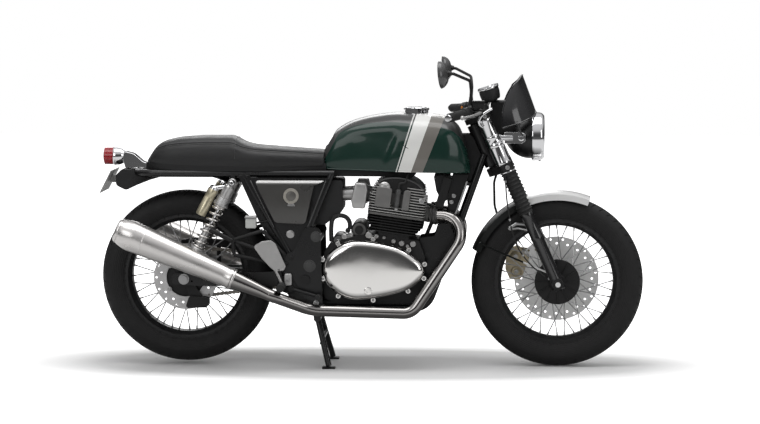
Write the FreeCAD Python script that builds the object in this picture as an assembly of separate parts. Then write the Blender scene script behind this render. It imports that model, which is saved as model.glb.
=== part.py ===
# Cafe racer motorcycle with a parallel-twin engine and wire wheels.
# Millimetres. +X is forward, +Y is the rider's left, +Z is up.
# The origin is on the ground, halfway along the machine, which stands on its centre stand.
import FreeCAD
import Part
import math
import os

Vec = FreeCAD.Vector
ALONG_Y = Vec(0, 1, 0)
ALONG_Z = Vec(0, 0, 1)

# Driving dimensions
wheelbase = 1398.0
front_tyre_radius = 323.0
rear_tyre_radius = 326.0
front_tyre_width = 100.0
rear_tyre_width = 130.0
bead_radius = 229.0
rim_flange_radius = 240.0
rim_inner_radius = 211.0
rear_wheel_lift = 10.0
tyre_facets = 72
rake_angle = 24.2
fork_offset = 43.0
fork_leg_spacing = 196.0
front_disc_radius = 160.0
front_disc_y = 63.0
rear_disc_radius = 120.0
exhaust_pipe_radius = 22.0
handlebar_radius = 11.0
spoke_count = 40
spoke_radius = 2.0

# Axles
front_axle = Vec(wheelbase / 2 + 1.5, 0, front_tyre_radius)
rear_axle = Vec(front_axle.x - wheelbase, 0, rear_tyre_radius + rear_wheel_lift)

# The steering axis and the two directions that the fork is measured along
rake = math.radians(rake_angle)
up_fork = Vec(-math.sin(rake), 0, math.cos(rake))
fore_fork = Vec(math.cos(rake), 0, math.sin(rake))
steering_foot = front_axle - fore_fork * fork_offset
leg_y = fork_leg_spacing / 2

# Levels along the steering axis, measured up from the front axle
lower_yoke_low = 462.0
lower_yoke_high = 490.0
upper_yoke_low = 674.0
upper_yoke_high = 694.0
fork_top = 726.0

# Engine, leaning forward
engine_lean = math.radians(8.0)
engine_up = Vec(math.sin(engine_lean), 0, math.cos(engine_lean))
engine_fore = Vec(math.cos(engine_lean), 0, -math.sin(engine_lean))
barrel_foot = Vec(85, 0, 496)
barrel_height = 78.0
head_height = 86.0
fin_pitch = 10.0
fin_thickness = 3.6
crankcase_half_width = 105.0

# Chain drive
chain_pitch = 15.875
rear_sprocket_teeth = 38
front_sprocket_teeth = 15
chain_y = 88.0
chain_width = 17.0
chain_half_height = 7.0
output_shaft = Vec(-120, 0, 350)

# Frame
swingarm_pivot = Vec(-240, 0, 338)
seat_rail_y = 98.0
seat_rail_z = 731.0
cradle_y = 85.0
cradle_z = 226.0
plate_inner_y = 131.0
plate_thickness = 12.0

# Threaded holes in the swingarm ends, for lifting spools
bobbin_hole = Vec(-668, 0, 328)
bobbin_radius = 4.0
bobbin_depth = 18.0

# Stands
centre_stand_pivot = Vec(-200, 0, 185)
side_stand_pivot = Vec(-20, 125, 190)
side_stand_axis = Vec(0, -0.859, -0.512).normalize()

# Exhaust
silencer_y = 212.0
silencer_joint = Vec(-509, 0, 349)
silencer_tail = Vec(-937, 0, 530)

# Shock absorbers
shock_y = 130.0
shock_top = Vec(-513, 0, 700)
shock_foot = Vec(-672, 0, 400)

# Filler cap and headlamp
cap_centre = Vec(168, 0, 952)
cap_base_height = 14.0
cap_radius = 41.5
headlamp_centre = Vec(603, 0, 867)
headlamp_radius = 91.0


def at(x, z, y=0.0):
    """A point written as it is read from the side: forward, up, then sideways."""
    return Vec(x, y, z)


def fork_point(level, fore=0.0, y=0.0):
    """A point given along the steering axis, forward of it and sideways."""
    point = steering_foot + up_fork * level + fore_fork * fore
    return Vec(point.x, y, point.z)


def engine_point(fore, up, y=0.0):
    """A point given in the leaning frame of the cylinders."""
    point = barrel_foot + engine_fore * fore + engine_up * up
    return Vec(point.x, y, point.z)


def fused(shapes):
    """One solid from overlapping shapes."""
    result = shapes[0]
    if len(shapes) > 1:
        result = result.multiFuse(shapes[1:])
    return result.removeSplitter()


def mirrored(shape):
    """The same shape on the other side of the machine."""
    return shape.mirror(Vec(0, 0, 0), ALONG_Y)


def rod(start, end, radius):
    return Part.makeCylinder(radius, (end - start).Length, start, end - start)


def taper(start, end, start_radius, end_radius):
    return Part.makeCone(start_radius, end_radius, (end - start).Length, start, end - start)


def across(point, low_y, high_y, radius):
    """A cylinder along Y through a point of the side view."""
    return rod(Vec(point.x, low_y, point.z), Vec(point.x, high_y, point.z), radius)


def block(low, high):
    return Part.makeBox(high.x - low.x, high.y - low.y, high.z - low.z, low)


def corner(before, point, after, radius):
    """Start, middle and end of the arc that rounds one corner."""
    back = (before - point).normalize()
    ahead = (after - point).normalize()
    half = back.getAngle(ahead) / 2
    reach = radius / math.tan(half)
    toward = (back + ahead).normalize()
    centre = point + toward * (radius / math.sin(half))
    return point + back * reach, centre - toward * radius, point + ahead * reach


def rounded_path(points, radii):
    """Straight runs joined by tangent arcs, as a bent tube has."""
    edges = []
    last = points[0]
    for index, radius in enumerate(radii):
        start, middle, end = corner(points[index], points[index + 1], points[index + 2], radius)
        edges.append(Part.LineSegment(last, start).toShape())
        edges.append(Part.Arc(start, middle, end).toShape())
        last = end
    edges.append(Part.LineSegment(last, points[-1]).toShape())
    return Part.Wire(edges)


def bent_rod(points, radii, radius):
    path = rounded_path(points, radii)
    circle = Part.Wire(Part.Circle(points[0], points[1] - points[0], radius).toShape())
    return path.makePipe(Part.Face(circle))


def rounded_outline(points, radii):
    """A closed outline whose corners are arcs. A radius of 0 keeps the corner sharp."""
    count = len(points)
    if not isinstance(radii, (list, tuple)):
        radii = [radii] * count
    edges = []
    ends = []
    for index in range(count):
        before = points[index - 1]
        after = points[(index + 1) % count]
        if radii[index] > 0:
            ends.append(corner(before, points[index], after, radii[index]))
        else:
            ends.append((points[index], None, points[index]))
    for index in range(count):
        start, middle, end = ends[index]
        if middle is not None:
            edges.append(Part.Arc(start, middle, end).toShape())
        following = ends[(index + 1) % count][0]
        if end.distanceToPoint(following) > 0.001:
            edges.append(Part.LineSegment(end, following).toShape())
    return Part.Wire(edges)


def plate(points, radii, low_y, high_y):
    """A side-view outline given as (forward, up) pairs, made a plate between two values of Y."""
    outline = rounded_outline([Vec(x, low_y, z) for x, z in points], radii)
    return Part.Face(outline).extrude(Vec(0, high_y - low_y, 0))


def turned(profile, centre, axis):
    """A closed profile turned all the way round an axis."""
    return Part.Face(Part.Wire(profile)).revolve(centre, axis, 360)


def lines(points, closed=True):
    ends = points[1:] + points[:1] if closed else points[1:]
    return [Part.LineSegment(a, b).toShape() for a, b in zip(points, ends)]


def wheel_point(axle, y, radius):
    return Vec(axle.x, y, axle.z + radius)


def facet_ring(section, axle, facets):
    """A ring of flat facets round an axle, from (sideways, radius) pairs whose radius is measured to the flats."""
    half_turn = math.pi / facets
    rings = []
    for y, radius in section:
        corner_radius = radius / math.cos(half_turn)
        ring = []
        for index in range(facets):
            angle = 2 * index * half_turn
            ring.append(axle + Vec(math.cos(angle) * corner_radius, y, math.sin(angle) * corner_radius))
        rings.append(ring)
    faces = []
    for ring, following in zip(rings, rings[1:] + rings[:1]):
        for index in range(facets):
            ahead = (index + 1) % facets
            corners = [ring[index], ring[ahead], following[ahead], following[index]]
            faces.append(Part.Face(Part.makePolygon(corners + corners[:1])))
    shell = Part.makeShell(faces)
    shell.sewShape()
    solid = Part.Solid(shell)
    if solid.Volume < 0:
        solid.reverse()
    return solid


def tyre(axle, outer_radius, width, bead_half_width):
    """Tyre as flat facets: a crown, rounded shoulders, and sidewalls that bulge out from the beads."""
    crown = outer_radius * math.cos(math.pi / tyre_facets)
    height = crown - rim_flange_radius
    half = [(0.14 * width, crown), (0.30 * width, crown - 0.05 * width), (0.42 * width, crown - 0.15 * width),
            (0.50 * width, rim_flange_radius + 0.42 * height), (bead_half_width, rim_flange_radius)]
    profile = [(bead_half_width, bead_radius)] + half[::-1]
    profile += [(-y, radius) for y, radius in profile[::-1]]
    return facet_ring(profile, axle, tyre_facets)


def rim(axle, bead_half_width):
    """Steel rim with a drop centre between two flanges."""
    flange = 5.0
    wide = bead_half_width + flange
    well = bead_half_width - 12.0

    def p(y, radius):
        return wheel_point(axle, y, radius)

    profile = lines([p(-well, rim_inner_radius + 3), p(-wide, bead_radius - 3), p(-wide, rim_flange_radius),
                     p(-bead_half_width, rim_flange_radius), p(-bead_half_width, bead_radius),
                     p(bead_half_width, bead_radius), p(bead_half_width, rim_flange_radius),
                     p(wide, rim_flange_radius), p(wide, bead_radius - 3), p(well, rim_inner_radius + 3)],
                    closed=False)
    profile.append(Part.Arc(p(well, rim_inner_radius + 3), p(0, rim_inner_radius),
                            p(-well, rim_inner_radius + 3)).toShape())
    return turned(profile, axle, ALONG_Y)


def hub(axle, profile_points):
    """A turned hub from (sideways, radius) pairs."""
    return turned(lines([wheel_point(axle, y, radius) for y, radius in profile_points]), axle, ALONG_Y)


def spoke(start, end):
    """One spoke as a six-sided bar."""
    direction = end - start
    side = direction.cross(ALONG_Y).normalize()
    turn = FreeCAD.Rotation(direction, 60)
    corners = []
    for _ in range(6):
        corners.append(start + side * spoke_radius)
        side = turn.multVec(side)
    return Part.Face(Part.makePolygon(corners + corners[:1])).extrude(direction)


def spokes(axle, flanges, lean_degrees):
    """Crossed spokes between the two hub flanges, given as (sideways, radius), and the rim."""
    bars = []
    step = 360.0 / spoke_count
    rim_reach = rim_inner_radius + 4
    for index in range(spoke_count):
        flange_y, flange_radius = flanges[index % 2]
        lean = lean_degrees if (index // 2) % 2 else -lean_degrees
        rim_angle = math.radians(index * step)
        hub_angle = math.radians(index * step + lean)
        hub_end = axle + Vec(math.cos(hub_angle) * flange_radius, flange_y, math.sin(hub_angle) * flange_radius)
        rim_end = axle + Vec(math.cos(rim_angle) * rim_reach, flange_y * 0.2, math.sin(rim_angle) * rim_reach)
        bars.append(spoke(hub_end, rim_end))
    return bars


def disc_ring(axle, inner_radius, outer_radius, low_y, high_y):
    ring = across(axle, low_y, high_y, outer_radius)
    return ring.cut(across(axle, low_y - 1, high_y + 1, inner_radius))


def drilled_disc(axle, inner_radius, outer_radius, low_y, high_y, holes):
    """Brake disc with two staggered rings of holes."""
    hole_radius = 4.5
    disc = disc_ring(axle, inner_radius, outer_radius, low_y, high_y)
    cutters = []
    for index in range(holes):
        angle = 2 * math.pi * index / holes
        reach = outer_radius - (10 if index % 2 else 26)
        centre = axle + Vec(math.cos(angle) * reach, 0, math.sin(angle) * reach)
        cutters.append(across(centre, low_y - 1, high_y + 1, hole_radius))
    return disc.cut(Part.makeCompound(cutters))


def rear_wheel():
    bead_half_width = 45.0
    hub_shape = hub(rear_axle, [(-77, 10.4), (-77, 79), (-70, 79), (-66, 44), (-46, 40), (-46, 60), (-39, 60),
                                (-36, 36), (36, 36), (39, 60), (46, 60), (46, 46), (70, 58), (84, 58), (84, 10.4)])
    wheel = fused([rim(rear_axle, bead_half_width), hub_shape] + spokes(rear_axle, [(-42, 57), (42, 57)], 28))
    sprocket_radius = chain_pitch / (2 * math.sin(math.pi / rear_sprocket_teeth))
    return {
        "rear_tyre": tyre(rear_axle, rear_tyre_radius, rear_tyre_width, bead_half_width),
        "rear_wire_wheel": wheel,
        "rear_brake_disc": drilled_disc(rear_axle, 72, rear_disc_radius, -82, -77, 30),
        "rear_sprocket": toothed_sprocket(rear_axle, sprocket_radius, rear_sprocket_teeth, 84, 91, 10.4),
    }


def toothed_sprocket(centre, pitch_radius, teeth, low_y, high_y, bore):
    """Sprocket whose teeth end just inside the chain's rollers."""
    tip = pitch_radius - chain_half_height - 0.8
    root = tip - 5.0
    points = []
    for index in range(teeth):
        middle = 2 * math.pi * index / teeth
        for shift, radius in ((-0.30, root), (-0.12, tip), (0.12, tip), (0.30, root)):
            angle = middle + shift * 2 * math.pi / teeth
            points.append(Vec(centre.x + math.cos(angle) * radius, low_y, centre.z + math.sin(angle) * radius))
    blank = Part.Face(Part.makePolygon(points + points[:1])).extrude(Vec(0, high_y - low_y, 0))
    return blank.cut(across(centre, low_y - 1, high_y + 1, bore))


def front_wheel():
    bead_half_width = 34.0
    hub_shape = hub(front_axle, [(-52, 9.4), (-52, 30), (-45, 34), (-45, 85), (-38, 85), (-34, 34), (30, 34),
                                 (34, 52), (41, 52), (44, 40), (54, 44), (59, 60), (63, 60), (63, 9.4)])
    wheel = fused([rim(front_axle, bead_half_width), hub_shape] + spokes(front_axle, [(-41.5, 80), (37.5, 50)], 28))
    return {
        "front_tyre": tyre(front_axle, front_tyre_radius, front_tyre_width, bead_half_width),
        "front_wire_wheel": wheel,
        "front_brake_disc": drilled_disc(front_axle, 52, front_disc_radius, front_disc_y, front_disc_y + 5, 40),
    }


def chain_path(distance):
    """The point and heading at a distance along the chain's loop, from the top of the rear sprocket."""
    small = chain_pitch / (2 * math.sin(math.pi / front_sprocket_teeth))
    large = chain_pitch / (2 * math.sin(math.pi / rear_sprocket_teeth))
    between = output_shaft - rear_axle
    span = between.Length
    slope = math.atan2(between.z, between.x)
    spread = math.asin((large - small) / span)
    run = span * math.cos(spread)
    top_angle = slope + math.pi / 2 - spread
    low_angle = slope - math.pi / 2 + spread
    front_arc = small * (math.pi - 2 * spread)
    rear_arc = large * (math.pi + 2 * spread)
    total = 2 * run + front_arc + rear_arc
    distance = distance % total

    def on_circle(centre, radius, angle):
        return Vec(centre.x + math.cos(angle) * radius, 0, centre.z + math.sin(angle) * radius)

    if distance < run:
        start = on_circle(rear_axle, large, top_angle)
        end = on_circle(output_shaft, small, top_angle)
        return start + (end - start) * (distance / run), top_angle, total
    distance -= run
    if distance < front_arc:
        angle = top_angle - distance / small
        return on_circle(output_shaft, small, angle), angle, total
    distance -= front_arc
    if distance < run:
        start = on_circle(output_shaft, small, low_angle)
        end = on_circle(rear_axle, large, low_angle)
        return start + (end - start) * (distance / run), low_angle, total
    distance -= run
    angle = low_angle - distance / large
    return on_circle(rear_axle, large, angle), angle, total


def chain():
    """Roller chain as one closed loop, narrower at the middle of each link."""
    total = chain_path(0)[2]
    links = 2 * round(total / chain_pitch / 2)
    step = total / links
    waist = chain_half_height - 1.7
    outer = []
    inner = []
    for index in range(2 * links):
        point, outward, _ = chain_path(index * step / 2)
        half = waist if index % 2 else chain_half_height
        normal = Vec(math.cos(outward), 0, math.sin(outward))
        centre = Vec(point.x, chain_y - chain_width / 2, point.z)
        outer.append(centre + normal * half)
        inner.append(centre - normal * half)
    width = Vec(0, chain_width, 0)
    whole = Part.Face(Part.makePolygon(outer + outer[:1])).extrude(width)
    return whole.cut(Part.Face(Part.makePolygon(inner + inner[:1])).extrude(width))


def main_frame():
    """Steering head, backbone, twin downtubes, cradle, pivot plates and stand lugs."""
    head_low = lower_yoke_high + 8
    head_high = upper_yoke_low - 8
    head_bore = 18.0
    pieces = [rod(fork_point(head_low), fork_point(head_high), 30)]
    pieces.append(bent_rod([fork_point(560, -8), at(150, 786), at(-165, 736)], [300], 19))
    cross = Vec(-205, 0, cradle_z)
    pieces.append(across(cross, -plate_inner_y - 6, plate_inner_y + 6, 13))
    pieces.append(across(at(-200, 480), -plate_inner_y - 6, plate_inner_y + 6, 13))
    pieces.append(across(at(-165, seat_rail_z), -seat_rail_y, seat_rail_y, 12))
    pieces.append(across(at(300, 812), -50, 50, 8))
    for side in (-1, 1):
        pieces.append(rod(at(-150, seat_rail_z, 60 * side), at(-150, 756, 60 * side), 9))
    for side in (-1, 1):
        downtube = [at(425, 800, 26 * side), at(338, 556, 38 * side), at(212, cradle_z, cradle_y * side),
                    Vec(cross.x, cradle_y * side, cradle_z)]
        pieces.append(bent_rod(downtube, [150, 70], 14))
        pieces.append(pivot_plate(side))
        pieces.append(stand_lug(side))
    pieces.append(side_stand_lug())
    shape = fused(pieces)
    bore = rod(fork_point(head_low - 5), fork_point(head_high + 5), head_bore)
    return shape.cut(bore)


def pivot_plate(side):
    outline = [(-318, 300), (-318, 430), (-285, 446), (-240, 534), (-184, 534), (-176, 240), (-215, 206), (-262, 215)]
    low = plate_inner_y if side > 0 else -plate_inner_y - plate_thickness
    return plate(outline, [20, 20, 20, 20, 20, 20, 20, 20], low, low + plate_thickness)


def stand_lug(side):
    """Lug and bolt that carry one leg of the centre stand."""
    pivot = centre_stand_pivot
    inner = 50.0
    outer = 58.0
    low = inner if side > 0 else -outer
    lug = plate([(pivot.x - 15, pivot.z - 15), (pivot.x + 15, pivot.z - 15), (pivot.x + 12, cradle_z),
                 (pivot.x - 20, cradle_z)], [12, 12, 0, 0], low, low + outer - inner)
    bolt = across(pivot, inner * side, 94 * side, 8)
    head = across(pivot, 90 * side, 96 * side, 13)
    return fused([lug, bolt, head])


def side_stand_lug():
    """Lug and bolt that carry the side stand, under the left cradle tube."""
    pivot = side_stand_pivot
    lug = rod(pivot - side_stand_axis * -6, pivot - side_stand_axis * 6, 14)
    root = pivot + side_stand_axis * 6
    arm = fused([rod(at(0, cradle_z, cradle_y), root, 9), rod(at(-40, cradle_z, cradle_y), root, 9)])
    bolt = rod(pivot, pivot - side_stand_axis * 22, 6)
    head = rod(pivot - side_stand_axis * 18, pivot - side_stand_axis * 24, 10)
    return fused([lug, arm, bolt, head])


def rear_frame():
    """Seat rails bent from one tube, V stays joined by a web on each side, and the shock mounts."""
    front_x = -134.0
    rear_x = -885.0
    loop = [at(front_x, seat_rail_z, -seat_rail_y), at(rear_x, seat_rail_z, -seat_rail_y),
            at(rear_x, seat_rail_z, seat_rail_y), at(front_x, seat_rail_z, seat_rail_y)]
    pieces = [bent_rod(loop, [80, 80], 14)]
    for side in (-1, 1):
        pieces.append(rod(at(-474, seat_rail_z, 104 * side), at(-297, 425, 122 * side), 13))
        pieces.append(rod(at(-144, seat_rail_z, 104 * side), at(-262, 440, 122 * side), 13))
        web_y = 122 if side > 0 else -125
        web = [(-466, 718), (-364, 524), (-320, 428), (-297, 414), (-274, 428), (-230, 506), (-150, 718)]
        pieces.append(plate(web, [8, 0, 20, 20, 20, 0, 8], web_y, web_y + 3))
        pieces.append(across(shock_top, 92 * side, 146 * side, 8))
        pieces.append(across(shock_top, 88 * side, 116 * side, 15))
        pieces.append(rod(at(shock_top.x, seat_rail_z + 2, 101 * side), at(shock_top.x, shock_top.z, 101 * side), 11))
    return fused(pieces)


def swingarm():
    inner = 102.0
    outer = 128.0
    pieces = [across(swingarm_pivot, -outer, outer, 26)]
    pieces.append(block(Vec(-335, -inner - 4, 320), Vec(-308, inner + 4, 358)))
    for side in (-1, 1):
        low = inner if side > 0 else -outer
        arm = plate([(-212, 312), (-212, 366), (-640, 362), (-742, 356), (-742, 316), (-640, 310)],
                    [26, 26, 60, 12, 12, 60], low, low + outer - inner)
        lug_low = inner if side > 0 else -inner - 10
        lug = plate([(-700, 352), (-640, 352), (-656, 412), (-688, 412)], [0, 0, 14, 14], lug_low, lug_low + 10)
        pieces += [arm, lug]
    shape = fused(pieces)
    shape = shape.cut(across(swingarm_pivot, -outer - 1, outer + 1, 10))
    shape = shape.cut(across(rear_axle, -outer - 1, outer + 1, 10))
    for side in (-1, 1):
        shape = shape.cut(across(bobbin_hole, (outer - bobbin_depth) * side, (outer + 1) * side, bobbin_radius))
    return shape


def shock(side):
    """Shock absorber with coil spring, remote gas canister and end eyes."""
    y = shock_y * side
    top = Vec(shock_top.x, y, shock_top.z)
    foot = Vec(shock_foot.x, y, shock_foot.z)
    along = (foot - top).normalize()
    length = (foot - top).Length
    pieces = [across(top, y - 12, y + 12, 15), across(foot, y - 12, y + 12, 15)]
    pieces.append(rod(top, foot, 7))
    pieces.append(rod(top + along * 22, top + along * 92, 21))
    pieces.append(rod(top + along * 88, top + along * 96, 29))
    pieces.append(rod(foot - along * 62, foot - along * 52, 29))
    pieces.append(rod(foot - along * 54, foot - along * 12, 14))
    first = 96.0
    last = length - 62.0
    coils = 7
    core = 20.0
    wire = 4.5
    pitch = (last - first) / coils
    square = Vec(-along.z, 0, along.x)
    spring = [top + along * first, top + along * first + square * core]
    for index in range(coils):
        middle = first + (index + 0.5) * pitch
        for shift, rise in ((-1.0, 0.0), (-0.8, 1.2), (-0.3, 2.0), (0.3, 2.0), (0.8, 1.2), (1.0, 0.0)):
            spring.append(top + along * (middle + shift * wire) + square * (core + rise * wire))
    spring += [top + along * last + square * core, top + along * last]
    pieces.append(turned(lines(spring), top, along))
    canister_shift = Vec(-along.z, 0, along.x) * -50
    if canister_shift.x > 0:
        canister_shift = canister_shift * -1
    canister_top = top + along * 56 + canister_shift
    pieces.append(rod(canister_top, canister_top + along * 108, 19.5))
    pieces.append(rod(canister_top - along * 10, canister_top, 17))
    bridge_low = top + along * 36
    pieces.append(rod(bridge_low, canister_top - along * 4, 9))
    shape = fused(pieces)
    return shape.cut(across(top, y - 20, y + 20, 8)).cut(across(foot, y - 20, y + 20, 8))


def rear_axle_and_spacers():
    """Rear axle with its spacers and nuts."""
    pieces = [across(rear_axle, -138, 138, 10)]
    for side in (-1, 1):
        pieces.append(across(rear_axle, 128 * side, 134 * side, 20))
        pieces.append(across(rear_axle, 134 * side, 144 * side, 14))
        spacer_inner = 86 if side < 0 else 94
        pieces.append(across(rear_axle, spacer_inner * side, 102 * side, 16))
    return fused(pieces)


def pivot_bolts():
    """The swingarm's pivot bolt with its caps and spacers, and the lower shock bolts."""
    pieces = [across(swingarm_pivot, -plate_inner_y - 16, plate_inner_y + 16, 10)]
    for side in (-1, 1):
        pieces.append(across(swingarm_pivot, 143 * side, 153 * side, 17))
        pieces.append(across(swingarm_pivot, 128 * side, 131 * side, 20))
    bolts = [fused(pieces)]
    for side in (-1, 1):
        bolts.append(fused([across(shock_foot, 104 * side, 146 * side, 8), across(shock_foot, 142 * side, 148 * side, 12)]))
    return Part.makeCompound(bolts)


def crankcase():
    """The crankcase and gearbox as one block, narrower where the chain leaves it."""
    outline = [(-172, 262), (-120, 243), (150, 243), (204, 300), (204, 425), (182, 482), (176, 483), (30, 504),
               (-60, 498), (-150, 470), (-172, 440)]
    body = plate(outline, [20, 20, 30, 20, 20, 10, 0, 0, 20, 20, 20], -crankcase_half_width, crankcase_half_width)
    chain_room = block(Vec(-180, 72, 296), Vec(-62, crankcase_half_width + 1, 404))
    body = body.cut(chain_room)
    starter = across(at(-42, 520), -88, 84, 30)
    starter_nose = across(at(-42, 520), -96, -86, 16)
    motor = across(at(-118, 478), -92, 60, 24)
    shaft = across(output_shaft, 60, chain_y + 10, 9)
    sprocket_radius = chain_pitch / (2 * math.sin(math.pi / front_sprocket_teeth))
    sprocket = toothed_sprocket(output_shaft, sprocket_radius, front_sprocket_teeth, chain_y - 4, chain_y + 4, 5)
    return fused([body, starter, starter_nose, motor, shaft, sprocket])


def fin(fore_half, side_half, level, corner_radius):
    """One cooling fin in the leaning frame of the cylinders."""
    outline = [engine_point(f, level, y) for f, y in ((-fore_half, -side_half), (fore_half, -side_half),
                                                     (fore_half, side_half), (-fore_half, side_half))]
    return Part.Face(rounded_outline(outline, corner_radius)).extrude(engine_up * fin_thickness)


def leaning_block(fore_half, side_half, low, high, corner_radius):
    outline = [engine_point(f, low, y) for f, y in ((-fore_half, -side_half), (fore_half, -side_half),
                                                   (fore_half, side_half), (-fore_half, side_half))]
    return Part.Face(rounded_outline(outline, corner_radius)).extrude(engine_up * (high - low))


def cylinder_barrel():
    """Barrel for two cylinders: a core with fins that grow longer towards the head."""
    core = leaning_block(66, 108, 0, barrel_height, 20)
    pieces = [core]
    count = 6
    for index in range(count):
        level = 16 + index * fin_pitch
        reach = 82 + 24 * min(1.0, index / 3.0)
        pieces.append(fin(reach, 128, level, 26))
    return fused(pieces)


def cylinder_head():
    """Head with stacked fins, exhaust stubs in front and inlet stubs behind."""
    low = barrel_height
    pieces = [leaning_block(84, 112, low, low + head_height, 20)]
    pieces.append(leaning_block(106, 134, low, low + 8, 22))
    for index in range(1, 8):
        pieces.append(fin(106, 136, low + 2 + index * fin_pitch, 24))
    for side in (-1, 1):
        port = engine_point(96, low + 24, 62 * side)
        pieces.append(rod(port, at(224, 577, 68 * side), 30))
        inlet = engine_point(-80, low + 57, 48 * side)
        pieces.append(rod(inlet, at(-30, 655, 48 * side), 26))
    shape = fused(pieces)
    for side in (-1, 1):
        well = [engine_point(f, low + u, 114 * side) for f, u in ((-34, 96), (26, 96), (16, 36), (-22, 36))]
        well_face = Part.Face(Part.makePolygon(well + well[:1]))
        shape = shape.cut(well_face.extrude(Vec(0, 30 * side, 0)))
        plug = rod(engine_point(-4, low + 52, 104 * side), engine_point(-4, low + 60, 132 * side), 8)
        dome = rod(engine_point(-62, low + 60, 110 * side), engine_point(-62, low + 60, 139 * side), 20)
        shape = fused([shape, plug, dome])
    return shape


def cam_cover():
    """Arched black cover over the camshafts."""
    foot = barrel_height + head_height
    points = [engine_point(f, foot + u, -122) for f, u in ((-92, 0), (-86, 26), (-52, 50), (0, 58), (52, 50),
                                                          (86, 26), (92, 0))]
    curve = Part.BSplineCurve()
    curve.interpolate(points)
    profile = Part.Wire([curve.toShape(), Part.LineSegment(points[-1], points[0]).toShape()])
    return Part.Face(profile).extrude(Vec(0, 244, 0))


def oval_wire(scale, y):
    """The polished cover's outline: an egg that is blunt at the rear and narrower in front."""
    centre = Vec(18, y, 376)
    reach = [(-192, 2), (-166, 66), (-80, 110), (70, 92), (156, 44), (186, -4), (152, -56), (70, -92), (-80, -112),
             (-164, -68)]
    points = [centre + Vec(x * scale, 0, z * scale) for x, z in reach]
    curve = Part.BSplineCurve()
    curve.interpolate(points, PeriodicFlag=True)
    return Part.Wire(curve.toShape())


def oval_cover():
    """Polished clutch cover on the right: a straight wall, a rounded rim and a nearly flat face."""
    wall = Part.Face(oval_wire(1.0, -crankcase_half_width)).extrude(Vec(0, -40, 0))
    steps = ((1.0, -40), (0.985, -50), (0.95, -58), (0.90, -63), (0.80, -65), (0.50, -66))
    crown = Part.makeLoft([oval_wire(scale, -crankcase_half_width + depth) for scale, depth in steps], True, False)
    plug = across(at(-4, 300), -crankcase_half_width - 58, -crankcase_half_width - 68, 13)
    return fused([wall, crown, plug])


def throttle_bodies():
    """Throttle bodies between the head and the air box, each with its side cover."""
    pieces = []
    for side in (-1, 1):
        pieces.append(rod(at(-30, 655, 48 * side), at(-104, 650, 48 * side), 24))
        outline = [(-55, 700), (-16, 698), (-10, 672), (-20, 604), (-64, 606), (-70, 636)]
        low = 74 if side > 0 else -122
        pieces.append(plate(outline, 8, low, low + 48))
        pieces.append(block(Vec(-58, min(40 * side, 80 * side), 636), Vec(-36, max(40 * side, 80 * side), 664)))
    return Part.makeCompound([fused(pieces[:3]), fused(pieces[3:])])


def air_box():
    """Air box and battery case between the side panels."""
    outline = [(-432, 706), (-104, 706), (-104, 590), (-170, 540), (-340, 540), (-362, 560)]
    return plate(outline, [10, 10, 20, 20, 20, 10], -92, 92)


def oil_cooler():
    """Finned oil cooler behind the downtubes, with its two hoses."""
    low = Vec(243, 0, 612)
    along = (Vec(276, 0, 720) - low).normalize()
    back = Vec(-along.z, 0, along.x) * -30
    pieces = []
    face = [low, low + back, low + back + along * 113, low + along * 113]
    face = [Vec(p.x, -88, p.z) for p in face]
    pieces.append(Part.Face(Part.makePolygon(face + face[:1])).extrude(Vec(0, 176, 0)))
    for side in (-1, 1):
        pieces.append(rod(at(278, 690, 60 * side), at(384, 690, 34 * side), 6))
        pieces.append(rod(low + back * 0.5 + Vec(0, 22 * side, 6), at(192, 455, 24 * side), 7))
    return fused(pieces)


def exhaust_pipe(side):
    """Header from the port, under the engine, to the cone in front of the silencer."""
    along = (silencer_tail - silencer_joint).normalize()
    cone_length = 180.0
    cone_start = Vec(silencer_joint.x, silencer_y, silencer_joint.z) - along * cone_length
    points = [at(224, 577, 68), at(399, 577, 118), at(158, 217, 165), at(-215, 226, 165), cone_start,
              cone_start + along * 60]
    for index, point in enumerate(points):
        points[index] = Vec(point.x, point.y * side, point.z)
    pipe = bent_rod(points, [78, 60, 150, 150], exhaust_pipe_radius)
    joint = Vec(silencer_joint.x, silencer_y * side, silencer_joint.z)
    cone = taper(joint - along * cone_length, joint, exhaust_pipe_radius, 37)
    collar = rod(points[0] + (points[1] - points[0]).normalize() * 4, points[0]
                 + (points[1] - points[0]).normalize() * 14, 30)
    return fused([pipe, cone, collar])


def silencer(side):
    """Tapered silencer with a short tail cone and an open outlet."""
    joint = Vec(silencer_joint.x, silencer_y * side, silencer_joint.z)
    along = (silencer_tail - silencer_joint).normalize()
    square = Vec(-along.z, 0, along.x)
    length = (silencer_tail - silencer_joint).Length
    outlet = 24.0

    def p(distance, radius):
        return joint + along * distance + square * radius

    profile = lines([p(0, 0), p(0, 38), p(6, 38), p(386, 57)], closed=False)
    profile.append(Part.Arc(p(386, 57), p(418, 56.5), p(length - 18, 46)).toShape())
    profile += lines([p(length - 18, 46), p(length, 38), p(length, outlet), p(length - 70, outlet),
                      p(length - 70, 0), p(0, 0)], closed=False)
    body = turned(profile, joint, along)
    hanger = plate([(-560, 400), (-520, 400), (-500, 470), (-524, 470)], 0, 150, 156)
    if side < 0:
        hanger = mirrored(hanger)
    strap = fused([rod(at(-540, 372, silencer_y * side), at(-540, 405, 156 * side), 8), hanger])
    return fused([body, strap])


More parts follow.
